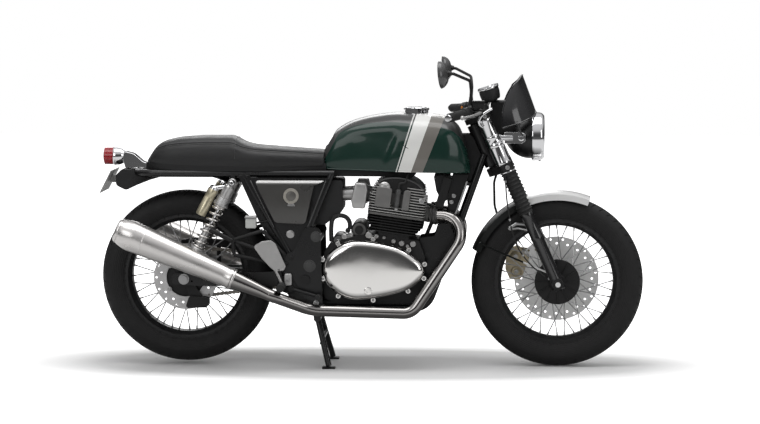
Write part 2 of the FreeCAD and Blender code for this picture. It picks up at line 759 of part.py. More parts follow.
def tank_section(x, low, high, half_width, crown, pinch):
    """One cross-section of the tank: flat underneath, bulged at the sides, crowned on top."""
    height = high - low
    points = [Vec(x, -half_width * pinch, low), Vec(x, -half_width, low + height * 0.45),
              Vec(x, -half_width * 0.86, low + height * 0.80), Vec(x, -half_width * 0.5, high - crown * 0.35),
              Vec(x, 0, high), Vec(x, half_width * 0.5, high - crown * 0.35),
              Vec(x, half_width * 0.86, low + height * 0.80), Vec(x, half_width, low + height * 0.45),
              Vec(x, half_width * pinch, low)]
    curve = Part.BSplineCurve()
    curve.interpolate(points)
    return Part.Wire([curve.toShape(), Part.LineSegment(points[-1], points[0]).toShape()])


def fuel_tank():
    """Tank lofted through cross-sections, with a tunnel for the backbone underneath."""
    stations = [(-164, 748, 836, 84, 14, 0.95), (-128, 746, 893, 96, 20, 0.95), (-60, 745, 930, 108, 24, 0.95),
                (20, 743, 949, 118, 26, 0.95), (100, 741, 958, 132, 28, 0.93), (190, 739, 956, 142, 30, 0.92),
                (270, 738, 947, 140, 32, 0.92), (325, 737, 912, 122, 30, 0.94), (358, 736, 834, 96, 22, 0.97),
                (372, 736, 768, 78, 10, 1.0)]
    body = Part.makeLoft([tank_section(*station) for station in stations], True, False)
    tunnel_profile = [Vec(-180, -46, 700), Vec(-180, 46, 700), Vec(-180, 46, 800), Vec(-180, 26, 822),
                      Vec(-180, -26, 822), Vec(-180, -46, 800)]
    tunnel = Part.Face(Part.makePolygon(tunnel_profile + tunnel_profile[:1])).extrude(Vec(420, 0, 0))
    rise = block(Vec(240, -46, 700), Vec(400, 46, 860))
    filler = Part.makeCylinder(cap_radius, 60, Vec(cap_centre.x, 0, cap_centre.z - 14), ALONG_Z)
    return body.cut([tunnel, rise, filler])


def filler_ring():
    """Raised ring round the filler, with a shallow recess that the lid closes."""
    top = cap_centre.z + cap_base_height
    ring = Part.makeCylinder(cap_radius, cap_base_height + 14, Vec(cap_centre.x, 0, cap_centre.z - 14), ALONG_Z)
    recess = Part.makeCylinder(28, 12, Vec(cap_centre.x, 0, top - 12), ALONG_Z)
    hinge_x = cap_centre.x + cap_radius + 4
    knuckles = []
    for side in (-1, 1):
        low = min(8 * side, 14 * side)
        knuckles.append(block(Vec(cap_centre.x + 39, low, top - 10), Vec(hinge_x, low + 6, top + 3)))
        knuckles.append(rod(Vec(hinge_x, low, top + 3), Vec(hinge_x, low + 6, top + 3), 4))
    pin = rod(Vec(hinge_x, -14, top + 3), Vec(hinge_x, 14, top + 3), 1.8)
    return fused([ring.cut(recess)] + knuckles + [pin])


def fuel_cap():
    """Hinged lid of the filler."""
    top = cap_centre.z + cap_base_height
    low = top + 0.5
    lid = Part.makeCylinder(38, 6, Vec(cap_centre.x, 0, low), ALONG_Z)
    crown = Part.makeCone(30, 24, 4, Vec(cap_centre.x, 0, low + 6), ALONG_Z)
    hinge_x = cap_centre.x + cap_radius + 4
    tongue = block(Vec(cap_centre.x + 30, -6.5, low), Vec(hinge_x, 6.5, low + 5.5))
    barrel = rod(Vec(hinge_x, -6.5, top + 3), Vec(hinge_x, 6.5, top + 3), 3.6)
    bore = rod(Vec(hinge_x, -8, top + 3), Vec(hinge_x, 8, top + 3), 2.1)
    latch = block(Vec(cap_centre.x - 46, -8, low + 1), Vec(cap_centre.x - 36, 8, low + 5))
    return fused([lid, crown, tongue, barrel, latch]).cut(bore)


def seat_section(x, low, high, half_width):
    """One cross-section of the seat: a rounded cushion with a crowned top."""
    points = [Vec(x, -half_width + 8, low), Vec(x, -half_width, low + (high - low) * 0.3),
              Vec(x, -half_width + 4, low + (high - low) * 0.66), Vec(x, -half_width * 0.66, high - 5), Vec(x, 0, high),
              Vec(x, half_width * 0.66, high - 5), Vec(x, half_width - 4, low + (high - low) * 0.66),
              Vec(x, half_width, low + (high - low) * 0.3), Vec(x, half_width - 8, low)]
    curve = Part.BSplineCurve()
    curve.interpolate(points)
    return Part.Wire([curve.toShape(), Part.LineSegment(points[-1], points[0]).toShape()])


def seat():
    """Single-piece seat with the raised rear part of a cafe racer."""
    stations = [(-844, 770, 780, 62), (-826, 764, 810, 86), (-800, 760, 840, 100), (-762, 757, 857, 110),
                (-705, 754, 867, 116), (-610, 752, 871, 120), (-528, 751, 871, 122), (-471, 750, 847, 124),
                (-430, 750, 838, 124), (-350, 750, 832, 118), (-260, 750, 826, 108), (-170, 750, 821, 92)]
    return Part.makeLoft([seat_section(*station) for station in stations], True, False)


def side_panel(side):
    """Side panel held off the webs of the V stays by three posts."""
    outline = [(-426, 709), (-160, 709), (-206, 696), (-240, 546), (-352, 552), (-412, 672)]
    low = 141 if side > 0 else -149
    panel = plate(outline, [8, 6, 16, 14, 14, 14], low, low + 8)
    posts = []
    for x, z in ((-380, 690), (-220, 690), (-300, 560)):
        posts.append(across(at(x, z), 123 * side, 145 * side, 6))
    return fused([panel] + posts)


def rear_mudguard():
    """Undertail that follows the rear wheel, closed above by the seat rails."""
    gap = 394.0
    shell = 3.5
    half_width = 82.0
    start = math.radians(62)
    stop = math.radians(118)

    def p(angle, radius, y=0.0):
        return Vec(rear_axle.x + math.cos(angle) * radius, y, rear_axle.z + math.sin(angle) * radius)

    middle = (start + stop) / 2
    face = [Part.Arc(p(start, gap, -half_width), p(middle, gap, -half_width), p(stop, gap, -half_width)).toShape(),
            Part.LineSegment(p(stop, gap, -half_width), p(stop, gap + shell, -half_width)).toShape(),
            Part.Arc(p(stop, gap + shell, -half_width), p(middle, gap + shell, -half_width),
                     p(start, gap + shell, -half_width)).toShape(),
            Part.LineSegment(p(start, gap + shell, -half_width), p(start, gap, -half_width)).toShape()]
    guard = Part.Face(Part.Wire(face)).extrude(Vec(0, 2 * half_width, 0))
    tail = plate([(-866, 690), (-924, 663), (-962, 682), (-962, 720), (-940, 742), (-900, 740), (-866, 720)],
                 [4, 20, 16, 10, 10, 10, 4], -56, 56)
    return fused([guard, tail])


def tail_lamp():
    """Round red lamp in a chrome shell on its curved bracket."""
    centre = at(-966, 789)
    lamp = rod(centre, centre - Vec(50, 0, 0), 33)
    shell = taper(centre, centre + Vec(34, 0, 0), 34, 20)
    bracket = plate([(-940, 776), (-934, 812), (-899, 800), (-862, 768), (-797, 757), (-797, 747), (-880, 747),
                     (-930, 742)], [4, 12, 30, 40, 2, 2, 10, 10], -26, 26)
    return fused([lamp, shell, bracket])


def number_plate():
    """Blank number plate with its backing bracket."""
    top = at(-972, 738)
    foot = at(-1014, 656)
    along = (foot - top).normalize()
    square = Vec(along.z, 0, -along.x)
    face = [top, foot, foot + square * 3, top + square * 3]
    face = [Vec(p.x, -100, p.z) for p in face]
    sheet = Part.Face(Part.makePolygon(face + face[:1])).extrude(Vec(0, 200, 0))
    arm = block(Vec(-990, -20, 690), Vec(-958, 20, 714))
    return fused([sheet, arm])


def rear_caliper():
    """Rear brake caliper and its torque arm under the right end of the axle."""
    angle = math.radians(-62)
    centre = rear_axle + Vec(math.cos(angle) * 100, 0, math.sin(angle) * 100)
    outer = plate([(centre.x - 46, centre.z - 26), (centre.x + 46, centre.z - 14), (centre.x + 46, centre.z + 18),
                   (centre.x - 30, centre.z + 22)], 10, -112, -88)
    inner = plate([(centre.x - 30, centre.z - 26), (centre.x + 36, centre.z - 24), (centre.x + 36, centre.z - 2),
                   (centre.x - 30, centre.z - 4)], 6, -90, -67)
    slot = across(rear_axle, -87.2, -71.8, rear_disc_radius + 6)
    arm = fused([across(rear_axle, -101, -88, 26), rod(rear_axle + Vec(0, -95, 0), centre + Vec(0, -95, 0), 6),
                 plate([(rear_axle.x - 14, rear_axle.z), (rear_axle.x + 20, rear_axle.z),
                        (centre.x + 26, centre.z + 10), (centre.x - 26, centre.z + 14)], 0, -101, -92)])
    return fused([outer, inner.cut(slot), arm])


def rider_footrest(side):
    """Rider's footrest with its bracket, pedal and heel plate."""
    y = plate_inner_y + plate_thickness
    bracket = plate([(-345, 300), (-345, 340), (-300, 360), (-262, 300), (-300, 284)], 10, y, y + 8)
    peg = rod(at(-325, 318, y + 2), at(-325, 318, y + 112), 13)
    pedal = [rod(at(-292, 306, y + 4), at(-292, 306, y + 26), 11)]
    pedal.append(rod(at(-292, 306, y + 20), at(-190, 278, y + 26), 6))
    pedal.append(rod(at(-190, 278, y + 20), at(-190, 278, y + 58), 8))
    heel_plate = plate([(-431, 466), (-377, 486), (-356, 476), (-312, 398), (-318, 376), (-340, 372), (-362, 384)],
                       [12, 12, 14, 10, 8, 10, 12], y + 14, y + 18)
    posts = [rod(at(-330, 388, y - 4), at(-330, 388, y + 16), 7), rod(at(-330, 388, y + 2), at(-306, 400, y + 2), 7)]
    arm = rod(at(-338, 380, y + 12), at(-330, 336, y + 4), 8)
    shape = fused([bracket, peg, heel_plate, arm] + pedal + posts)
    return mirrored(shape) if side < 0 else shape


def passenger_footrest(side):
    """Cast hanger behind the rider's footrest, carrying the folded passenger footrest and the silencer."""
    y = plate_inner_y + plate_thickness
    bars = [((-318, 432), (-398, 522)), ((-398, 522), (-512, 486)), ((-512, 486), (-506, 430)),
            ((-506, 430), (-318, 392)), ((-512, 486), (-330, 420))]
    pieces = [rod(at(a[0], a[1], y + 4), at(b[0], b[1], y + 4), 7) for a, b in bars]
    pieces.append(rod(at(-318, 400, y - 4), at(-318, 430, y - 4), 8))
    pieces.append(rod(at(-318, 425, y + 4), at(-318, 425, y - 6), 8))
    pieces.append(rod(at(-512, 486, y + 2), at(-512, 486, y + 22), 10))
    pieces.append(rod(at(-512, 486, y + 20), at(-594, 527, y + 27), 9))
    shape = fused(pieces)
    return mirrored(shape) if side < 0 else shape


def chain_guard():
    """Guard over the chain's upper run, bolted to the swingarm."""
    outline = [(-330, 436), (-560, 462), (-690, 470), (-790, 452), (-790, 446), (-690, 464), (-560, 456), (-330, 430)]
    top = plate(outline, 0, 74, 100.5)
    skirt = plate([(-330, 396), (-560, 428), (-690, 448), (-790, 440), (-790, 452), (-690, 470), (-560, 462),
                   (-330, 436)], 0, 98, 100.5)
    tabs = [block(Vec(-400, 98, 345), Vec(-384, 102, 430)), block(Vec(-600, 98, 345), Vec(-584, 102, 440))]
    return fused([top, skirt] + tabs)


def brake_reservoir():
    """Fluid reservoir of the rear brake, on a bracket behind the right stay."""
    pot = block(Vec(-463, -140, 530), Vec(-425, -112, 566))
    lid = block(Vec(-465, -142, 566), Vec(-423, -110, 574))
    bracket = rod(at(-430, 548, -126), at(-376, 556, -119), 4)
    return fused([pot, lid, bracket])


def steering_yokes():
    """Lower yoke with stem, upper yoke, and their fork clamps."""
    pieces = []
    for low, high in ((lower_yoke_low, lower_yoke_high), (upper_yoke_low, upper_yoke_high)):
        outline = []
        for fore, y in ((-30, -22), (-30, 22), (fork_offset - 14, leg_y + 34), (fork_offset + 30, leg_y + 34),
                        (fork_offset + 22, 0), (fork_offset + 30, -leg_y - 34), (fork_offset - 14, -leg_y - 34)):
            outline.append(fork_point(low, fore, y))
        outline_wire = rounded_outline(outline, [20, 20, 24, 24, 60, 24, 24])
        pieces.append(Part.Face(outline_wire).extrude(up_fork * (high - low)))
    pieces.append(rod(fork_point(lower_yoke_low + 4), fork_point(upper_yoke_high + 8), 17))
    pieces.append(rod(fork_point(upper_yoke_high), fork_point(upper_yoke_high + 12), 22))
    shape = fused(pieces)
    for side in (-1, 1):
        shape = shape.cut(rod(fork_point(400, fork_offset, leg_y * side), fork_point(760, fork_offset, leg_y * side),
                              21))
    return shape


def fork_leg(side):
    """Fork leg: inner tube, cover between the yokes, gaiter and slider with its axle foot."""
    def p(level, fore=fork_offset):
        return fork_point(level, fore, leg_y * side)

    pieces = [rod(p(250), p(fork_top), 21)]
    pieces.append(rod(p(lower_yoke_high), p(upper_yoke_low), 27))
    first = 296.0
    last = lower_yoke_low - 4
    folds = 9
    pieces.append(rod(p(first), p(last), 24))
    step = (last - first) / folds
    for index in range(folds):
        middle = first + (index + 0.5) * step
        pieces.append(taper(p(middle - step / 2), p(middle), 24, 29.5))
        pieces.append(taper(p(middle), p(middle + step / 2), 29.5, 24))
    pieces.append(rod(p(-24), p(first), 23.5))
    pieces.append(rod(p(0, fork_offset - 6), p(0, fork_offset + 16), 20))
    pieces.append(rod(p(fork_top - 2), p(fork_top + 6), 17))
    shape = fused(pieces)
    return shape.cut(across(front_axle, leg_y * side - 40, leg_y * side + 40, 9))


def front_axle_bolt():
    pieces = [across(front_axle, -128, 128, 9)]
    for side in (-1, 1):
        pieces.append(across(front_axle, 122 * side, 132 * side, 15))
        spacer_inner = 54 if side < 0 else front_disc_y + 2
        pieces.append(across(front_axle, spacer_inner * side, (leg_y - 24) * side, 15))
    return fused(pieces)


def lamp_point(forward, radius):
    return at(headlamp_centre.x + forward, headlamp_centre.z + radius)


def headlamp():
    """Lamp bucket and rim, turned about the fore-and-aft axis."""
    p = lamp_point
    profile = lines([p(36, 0), p(-98, 0), p(-98, 20)], closed=False)
    profile.append(Part.Arc(p(-98, 20), p(-60, 66), p(0, 82)).toShape())
    profile += lines([p(0, 82), p(0, headlamp_radius), p(26, headlamp_radius)], closed=False)
    profile.append(Part.Arc(p(26, headlamp_radius), p(40, 86), p(46, 76)).toShape())
    profile += lines([p(46, 76), p(36, 72), p(36, 0)], closed=False)
    return turned(profile, headlamp_centre, Vec(1, 0, 0))


def headlamp_lens():
    """Domed glass seated in the rim."""
    p = lamp_point
    profile = lines([p(47, 0), p(36, 0), p(36, 71.8), p(39, 71.8)], closed=False)
    profile.append(Part.Arc(p(39, 71.8), p(45, 42), p(47, 8)).toShape())
    profile += lines([p(47, 8), p(47, 0)], closed=False)
    return turned(profile, headlamp_centre, Vec(1, 0, 0))


def headlamp_brackets():
    """Brackets from the fork covers to the sides of the lamp."""
    pieces = []
    for side in (-1, 1):
        low = min(88 * side, 94 * side)
        ear = plate([(466, 844), (466, 890), (566, 888), (578, 878), (578, 858), (566, 846)], [4, 8, 10, 10, 10, 10],
                    low, low + 6)
        clamp = rod(fork_point(560, fork_offset, leg_y * side), fork_point(606, fork_offset, leg_y * side), 31)
        bolt = across(at(562, 867), 78 * side, 100 * side, 9)
        arm = rod(fork_point(590, fork_offset + 10, leg_y * side), at(520, 867, 92 * side), 10)
        pieces.append(fused([ear, clamp, bolt, arm]))
    return Part.makeCompound(pieces)


def instruments():
    """Two round instruments on a bracket above the upper yoke."""
    pieces = []
    tilt = Vec(-0.30, 0, 0.954)
    for side in (-1, 1):
        foot = at(452, 1004, 46 * side)
        pieces.append(rod(foot, foot + tilt * 50, 37))
        pieces.append(rod(foot + tilt * 44, foot + tilt * 52, 40))
        pieces.append(rod(fork_point(upper_yoke_high - 6, 38, 30 * side), foot + tilt * 8, 7))
    pieces.append(rod(at(452, 1014, -46), at(452, 1014, 46), 12))
    return fused(pieces)


def flyscreen():
    """Small curved screen that wraps the top of the headlamp, on two stays."""
    thickness = 3.5
    rows = [((492, 128, 906), (560, 112, 926), (604, 66, 946), (618, 0, 960)),
            ((494, 112, 978), (545, 98, 990), (582, 58, 1008), (596, 0, 1020)),
            ((530, 74, 1060), (550, 60, 1078), (562, 34, 1094), (566, 0, 1100))]
    grid = []
    for row in rows:
        left = [Vec(x, y, z) for x, y, z in row]
        grid.append(left + [Vec(x, -y, z) for x, y, z in reversed(row[:-1])])
    sheet = Part.BSplineSurface()
    sheet.interpolate(grid)
    shell = sheet.toShape().makeOffsetShape(-thickness, 0.01, fill=True)
    stays = []
    for side in (-1, 1):
        stays.append(rod(at(566, 872, 96 * side), at(544, 930, 114 * side), 4))
    return fused([Part.Solid(shell.Shells[0])] + stays)


def handlebar(side):
    """Clip-on bar: clamp, bar, grip, switch housing, lever and bar end."""
    clamp_foot = fork_point(upper_yoke_high + 2, fork_offset, leg_y * side)
    clamp_top = fork_point(fork_top - 2, fork_offset, leg_y * side)
    root = at(404, 972, (leg_y + 16) * side)
    end = at(296, 955, 370 * side)
    along = (end - root).normalize()
    length = (end - root).Length
    front = Vec(along.y * side, -along.x * side, 0).normalize()
    pieces = [rod(clamp_foot, clamp_top, 31), rod(root - along * 10, root, 16)]
    pieces.append(rod(root, end, handlebar_radius))
    pieces.append(rod(root + along * (length - 132), root + along * (length - 6), 16))
    pieces.append(rod(root + along * (length - 6), root + along * (length + 10), 13))
    pieces.append(rod(root + along * (length - 182), root + along * (length - 136), 21))
    perch = root + along * (length - 205)
    pieces.append(rod(perch, perch + along * 20, 17))
    hinge = perch + along * 10 + front * 42
    pieces.append(rod(perch + along * 10, hinge, 9))
    pieces.append(rod(hinge, root + along * (length - 70) + front * 58, 6))
    pieces.append(rod(root + along * (length - 70) + front * 58, root + along * (length - 8) + front * 50, 6))
    if side < 0:
        pot = perch + along * 2 + front * 26 + Vec(0, 0, 12)
        pieces.append(Part.makeBox(46, 40, 30, pot + Vec(-20, -20, 0)))
    shape = fused(pieces)
    return shape.cut(rod(fork_point(660, fork_offset, leg_y * side), fork_point(750, fork_offset, leg_y * side), 21))


def mirror(side):
    """Round mirror on a stalk from the lever perch."""
    stalk = [at(372, 974, 196 * side), at(376, 1046, 204 * side), at(372, 1084, 232 * side), at(312, 1112, 306 * side),
             at(286, 1112, 322 * side)]
    pieces = [bent_rod(stalk, [20, 24, 14], 5.5)]
    centre = at(272, 1110, 336 * side)
    facing = Vec(-0.95, -0.14 * side, -0.10).normalize()
    pieces.append(rod(centre, centre + facing * 8, 50))
    pieces.append(taper(centre, centre - facing * 22, 50, 30))
    return fused(pieces)


def front_mudguard():
    """Mudguard with rolled sides, on two stays from the fork sliders."""
    inner_radius = 335.0
    shell = 3.5
    half_width = 63.0
    drop = 26.0
    start = 69.0
    sweep = 90.0

    def p(y, radius):
        return Vec(front_axle.x + radius, y, front_axle.z)

    crown = inner_radius + 4
    side_low = inner_radius - drop
    profile = [Part.Arc(p(-half_width + 8, inner_radius - 6), p(0, crown), p(half_width - 8, inner_radius - 6)).toShape()]
    profile += lines([p(half_width - 8, inner_radius - 6), p(half_width - shell, side_low), p(half_width, side_low),
                      p(half_width - 6, inner_radius - 4)], closed=False)
    profile.append(Part.Arc(p(half_width - 6, inner_radius - 4), p(0, crown + shell), p(-half_width + 6,
                                                                                     inner_radius - 4)).toShape())
    profile += lines([p(-half_width + 6, inner_radius - 4), p(-half_width, side_low), p(-half_width + shell, side_low),
                      p(-half_width + 8, inner_radius - 6)], closed=False)
    face = Part.Face(Part.Wire(profile))
    face = face.rotate(front_axle, ALONG_Y, -start)
    guard = face.revolve(front_axle, Vec(0, -1, 0), sweep)
    pieces = [guard]
    for side in (-1, 1):
        outer = leg_y - 22
        pieces.append(rod(at(546, 596, 58 * side), fork_point(296, fork_offset - 8, outer * side), 7))
        pieces.append(rod(at(412, 470, 82 * side), at(690, 352, 98 * side), 3.5))
        pieces.append(rod(at(412, 470, 52 * side), at(412, 470, 86 * side), 5))
        pieces.append(rod(at(546, 596, 48 * side), at(546, 596, 62 * side), 8))
    return fused(pieces)


def front_caliper():
    """Front brake caliper on the left slider."""
    outline = [(510, 430), (556, 452), (596, 398), (566, 322), (524, 318), (506, 360)]
    body = plate(outline, [16, 16, 16, 12, 12, 16], front_disc_y - 10, front_disc_y + 15)
    slot = across(front_axle, front_disc_y - 5.4, front_disc_y + 10.4, front_disc_radius + 6)
    outer_y = front_disc_y + 10.4
    bracket = plate([(548, 442), (592, 404), (560, 330), (590, 330), (668, 372), (652, 434)], 6, outer_y, outer_y + 6)
    arms = [rod(at(640, 420, outer_y + 3), at(646, 420, leg_y), 7), rod(at(660, 380, outer_y + 3), at(664, 380, leg_y), 7)]
    return fused([body.cut(slot), bracket] + arms)


def brake_hose():
    """Brake hose held between the lower yoke and the front caliper."""
    path = [at(478, 742, 58), at(462, 690, 64), at(464, 600, 70), at(488, 520, 78), at(522, 470, 76), at(536, 432, 72)]
    return bent_rod(path, [60, 90, 90, 50], 4.5)


def centre_stand():
    """Centre stand: two pivot sleeves, splayed legs with feet, and a cross bar."""
    pivot = centre_stand_pivot
    pieces = []
    foot_x = -155.0
    for side in (-1, 1):
        sleeve = across(pivot, 59 * side, 84 * side, 14)
        knee = at(pivot.x, pivot.z, 71 * side)
        foot = at(foot_x, 10, 116 * side)
        leg = rod(knee, foot, 11)
        pad = block(Vec(foot_x - 24, min(100 * side, 132 * side), 0), Vec(foot_x + 24, max(100 * side, 132 * side), 7))
        pieces += [sleeve, leg, pad]
    drop = 0.42
    bar = pivot + (at(foot_x, 10) - pivot) * drop
    half = 71 + (116 - 71) * drop
    pieces.append(across(bar, -half, half, 10))
    tread = at(foot_x, 10, 116) + (at(pivot.x, pivot.z, 71) - at(foot_x, 10, 116)) * 0.2
    pieces.append(rod(tread, tread + Vec(-40, 44, 10), 6))
    shape = fused(pieces)
    for side in (-1, 1):
        shape = shape.cut(across(pivot, 56 * side, 92 * side, 8.3))
    floor_cut = block(Vec(-400, -300, -60), Vec(100, 300, 0))
    return shape.cut(floor_cut)


def side_stand():
    """Side stand, folded back along the left cradle tube."""
    head = side_stand_pivot - side_stand_axis * 11.5
    fold = Vec(-1, 0, 0)
    length = 176.0
    eye = rod(side_stand_pivot - side_stand_axis * 6.5, side_stand_pivot - side_stand_axis * 17.5, 14)
    neck = rod(head + fold * 4, head + fold * 26, 5)
    leg = rod(head + fold * 22, head + fold * length, 8)
    tip = head + fold * length
    foot = rod(tip, tip + fold * 7, 16)
    spur_root = head + fold * (length * 0.7)
    spur = rod(spur_root, spur_root + Vec(0, 30, -10), 4.5)
    bore = rod(side_stand_pivot, side_stand_pivot - side_stand_axis * 30, 6.3)
    return fused([eye, neck, leg, foot, spur]).cut(bore)


def main():
    os.makedirs("parts", exist_ok=True)
    for name, shape in build().items():
        shape.exportStep("parts/" + name + ".step")
        print(name, len(shape.Solids), round(shape.Volume / 1000), "cm3", shape.isValid())


def pair(piece):
    """A piece and its twin on the other side, as two solids of one node."""
    return Part.makeCompound([piece(-1), piece(1)])


# Each piece is cut back where it sits on the pieces that carry it.
seats = {
    "main_frame": ["pivot_bolts"],
    "rear_frame": ["main_frame"],
    "swingarm": ["pivot_bolts", "rear_axle"],
    "cylinder_barrel": ["crankcase"],
    "cylinder_head": ["cylinder_barrel"],
    "cam_cover": ["cylinder_head"],
    "throttle_bodies": ["cylinder_head"],
    "air_box": ["throttle_bodies", "rear_frame", "main_frame"],
    "oil_cooler": ["main_frame", "crankcase"],
    "exhaust_pipes": ["cylinder_head"],
    "fuel_tank": ["main_frame"],
    "seat": ["fuel_tank", "main_frame"],
    "side_panels": ["rear_frame"],
    "rear_mudguard": ["rear_frame"],
    "tail_lamp": ["rear_frame", "rear_mudguard"],
    "number_plate": ["rear_mudguard"],
    "rear_brake": ["swingarm", "rear_axle", "rear_frame"],
    "chain_guard": ["swingarm", "pivot_bolts"],
    "rider_footrest_right": ["main_frame", "pivot_bolts"],
    "rider_footrest_left": ["main_frame", "pivot_bolts"],
    "passenger_footrests": ["main_frame", "rear_frame", "rider_footrest_right", "rider_footrest_left"],
    "silencers": ["passenger_footrests"],
    "steering_yokes": ["fork_leg_right", "fork_leg_left"],
    "headlamp_brackets": ["fork_leg_right", "fork_leg_left", "headlamp"],
    "instruments": ["steering_yokes"],
    "flyscreen": ["headlamp_brackets", "headlamp"],
    "handlebar_right": ["fork_leg_right", "steering_yokes"],
    "handlebar_left": ["fork_leg_left", "steering_yokes"],
    "mirrors": ["handlebar_right", "handlebar_left"],
    "front_mudguard": ["fork_leg_right", "fork_leg_left"],
    "front_caliper": ["fork_leg_left"],
    "brake_hose": ["front_caliper", "steering_yokes"],
}


def build():
    nodes = {
        "main_frame": main_frame(),
        "rear_frame": rear_frame(),
        "swingarm": swingarm(),
        "pivot_bolts": pivot_bolts(),
        "rear_axle": rear_axle_and_spacers(),
        "shocks": pair(shock),
        "chain": chain(),
        "chain_guard": chain_guard(),
        "crankcase": crankcase(),
        "cylinder_barrel": cylinder_barrel(),
        "cylinder_head": cylinder_head(),
        "cam_cover": cam_cover(),
        "clutch_cover": oval_cover(),
        "generator_cover": mirrored(oval_cover()),
        "throttle_bodies": throttle_bodies(),
        "air_box": air_box(),
        "oil_cooler": oil_cooler(),
        "exhaust_pipes": pair(exhaust_pipe),
        "silencers": pair(silencer),
        "fuel_tank": fuel_tank(),
        "filler_ring": filler_ring(),
        "fuel_cap": fuel_cap(),
        "seat": seat(),
        "side_panels": pair(side_panel),
        "rear_mudguard": rear_mudguard(),
        "tail_lamp": tail_lamp(),
        "number_plate": number_plate(),
        "rear_brake": Part.makeCompound([rear_caliper(), brake_reservoir()]),
        "rider_footrest_right": rider_footrest(-1),
        "rider_footrest_left": rider_footrest(1),
        "passenger_footrests": pair(passenger_footrest),
        "steering_yokes": steering_yokes(),
        "fork_leg_right": fork_leg(-1),
        "fork_leg_left": fork_leg(1),
        "front_axle": front_axle_bolt(),
        "headlamp": headlamp(),
        "headlamp_lens": headlamp_lens(),
        "headlamp_brackets": headlamp_brackets(),
        "instruments": instruments(),
        "flyscreen": flyscreen(),
        "handlebar_right": handlebar(-1),
        "handlebar_left": handlebar(1),
        "mirrors": pair(mirror),
        "front_mudguard": front_mudguard(),
        "front_caliper": front_caliper(),
        "brake_hose": brake_hose(),
        "centre_stand": centre_stand(),
        "side_stand": side_stand(),
    }
    nodes.update(rear_wheel())
    nodes.update(front_wheel())
    for name, carriers in seats.items():
        nodes[name] = nodes[name].cut([nodes[carrier] for carrier in carriers])
    return nodes


main()
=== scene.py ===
# %% [markdown]
# # A cafe racer motorcycle, dressed for its studio picture
# The solid model arrives as a fixed frame: every node is in metres, +X forward, +Y to the rider's left and
# +Z up. This notebook gives those solids their finishes, and swaps the ones that need finer shapes for new
# pieces. Most pieces take their numbers from the same axles, yokes and joints as the solids. The wiring
# cowl, cable guide, sensor cable, mudguard stays, undertray and headstock gusset have no solid: the picture
# gives their places, and their depths are guessed.

# %% Load the frame
import bpy
import bmesh
import math
from mathutils import Matrix, Vector


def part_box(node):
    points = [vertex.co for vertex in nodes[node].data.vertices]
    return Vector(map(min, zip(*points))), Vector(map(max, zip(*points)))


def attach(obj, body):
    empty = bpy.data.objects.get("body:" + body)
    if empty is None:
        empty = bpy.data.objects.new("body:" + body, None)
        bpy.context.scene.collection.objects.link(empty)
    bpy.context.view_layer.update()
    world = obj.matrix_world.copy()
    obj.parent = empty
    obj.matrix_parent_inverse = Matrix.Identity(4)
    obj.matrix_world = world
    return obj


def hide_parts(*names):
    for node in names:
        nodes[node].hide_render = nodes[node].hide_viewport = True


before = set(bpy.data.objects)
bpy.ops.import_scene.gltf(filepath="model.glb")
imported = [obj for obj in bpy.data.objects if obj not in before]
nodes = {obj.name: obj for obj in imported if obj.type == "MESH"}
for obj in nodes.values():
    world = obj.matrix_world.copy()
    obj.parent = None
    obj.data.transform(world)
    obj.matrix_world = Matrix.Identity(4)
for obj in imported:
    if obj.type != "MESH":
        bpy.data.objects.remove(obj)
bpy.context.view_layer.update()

scene = bpy.context.scene

# %% [markdown]
# ## Camera and studio
# The picture was taken from the machine's right, a little above the tank, with a long lens, so that the two
# wheels are nearly round. The camera stands about 8.5 m away and looks at the middle of the frame. The
# floor is one large pale plane. Cameras see the world behind it white through the Is Camera Ray switch, and
# chrome sees bands of light and dark through Is Glossy Ray, while the lamps stay soft enough for the
# colours to come out as written. The floor's glow and its look in chrome are painted darker under the
# machine: a painted shadow. A short class adds nodes and their links, here and in every finish.

# %% Camera
camera_data = bpy.data.cameras.new("camera")
camera = bpy.data.objects.new("camera", camera_data)
scene.collection.objects.link(camera)
camera.location = (0.4369, -8.5, 1.3965)
look_at = Vector((0.032, 0.0, 0.5795))
camera.rotation_euler = (look_at - camera.location).to_track_quat("-Z", "Y").to_euler()
camera_data.sensor_width = 36.0
camera_data.lens = 107.2
scene.camera = camera
scene.view_settings.view_transform = "Standard"
print("camera distance", round((look_at - camera.location).length, 3))

# %% Node shorthand


class Wiring:
    """Adds nodes to one tree. Numbers and sockets may both be given as inputs."""

    def __init__(self, tree, prefix="ShaderNode"):
        self.tree = tree
        self.prefix = prefix

    def add(self, kind, inputs=None, **settings):
        whole = kind.startswith(("Shader", "Geometry", "Function"))
        made = self.tree.nodes.new(kind if whole else self.prefix + kind)
        for key, value in settings.items():
            setattr(made, key, value)
        for key, value in (inputs or {}).items():
            self.put(made.inputs[key], value)
        return made

    def put(self, socket, value):
        if isinstance(value, bpy.types.NodeSocket):
            self.tree.links.new(value, socket)
        else:
            socket.default_value = value

    def calc(self, operation, first, second=0.0, third=0.0, clamp=False):
        made = self.tree.nodes.new("ShaderNodeMath")
        made.operation = operation
        made.use_clamp = clamp
        for socket, value in zip(made.inputs, (first, second, third)):
            self.put(socket, value)
        return made.outputs[0]


def coloured(level):
    return (*level, 1.0)


def place_nodes(wiring):
    """Object coordinates, whole and split."""
    spot = wiring.add("TexCoord").outputs["Object"]
    parts = wiring.add("SeparateXYZ", {"Vector": spot}).outputs
    return spot, parts["X"], parts["Y"], parts["Z"]


def grey_ramp(wiring, stops):
    """A colour ramp through rising stops of position, red, green and blue."""
    made = wiring.add("ValToRGB")
    elements = made.color_ramp.elements
    for element, stop in ((elements[0], stops[0]), (elements[1], stops[-1])):
        element.position = stop[0]
        element.color = coloured(stop[1:])
    for stop in stops[1:-1]:
        elements.new(stop[0]).color = coloured(stop[1:])
    return made


print("node shorthand ready")

# %% Lamps and world


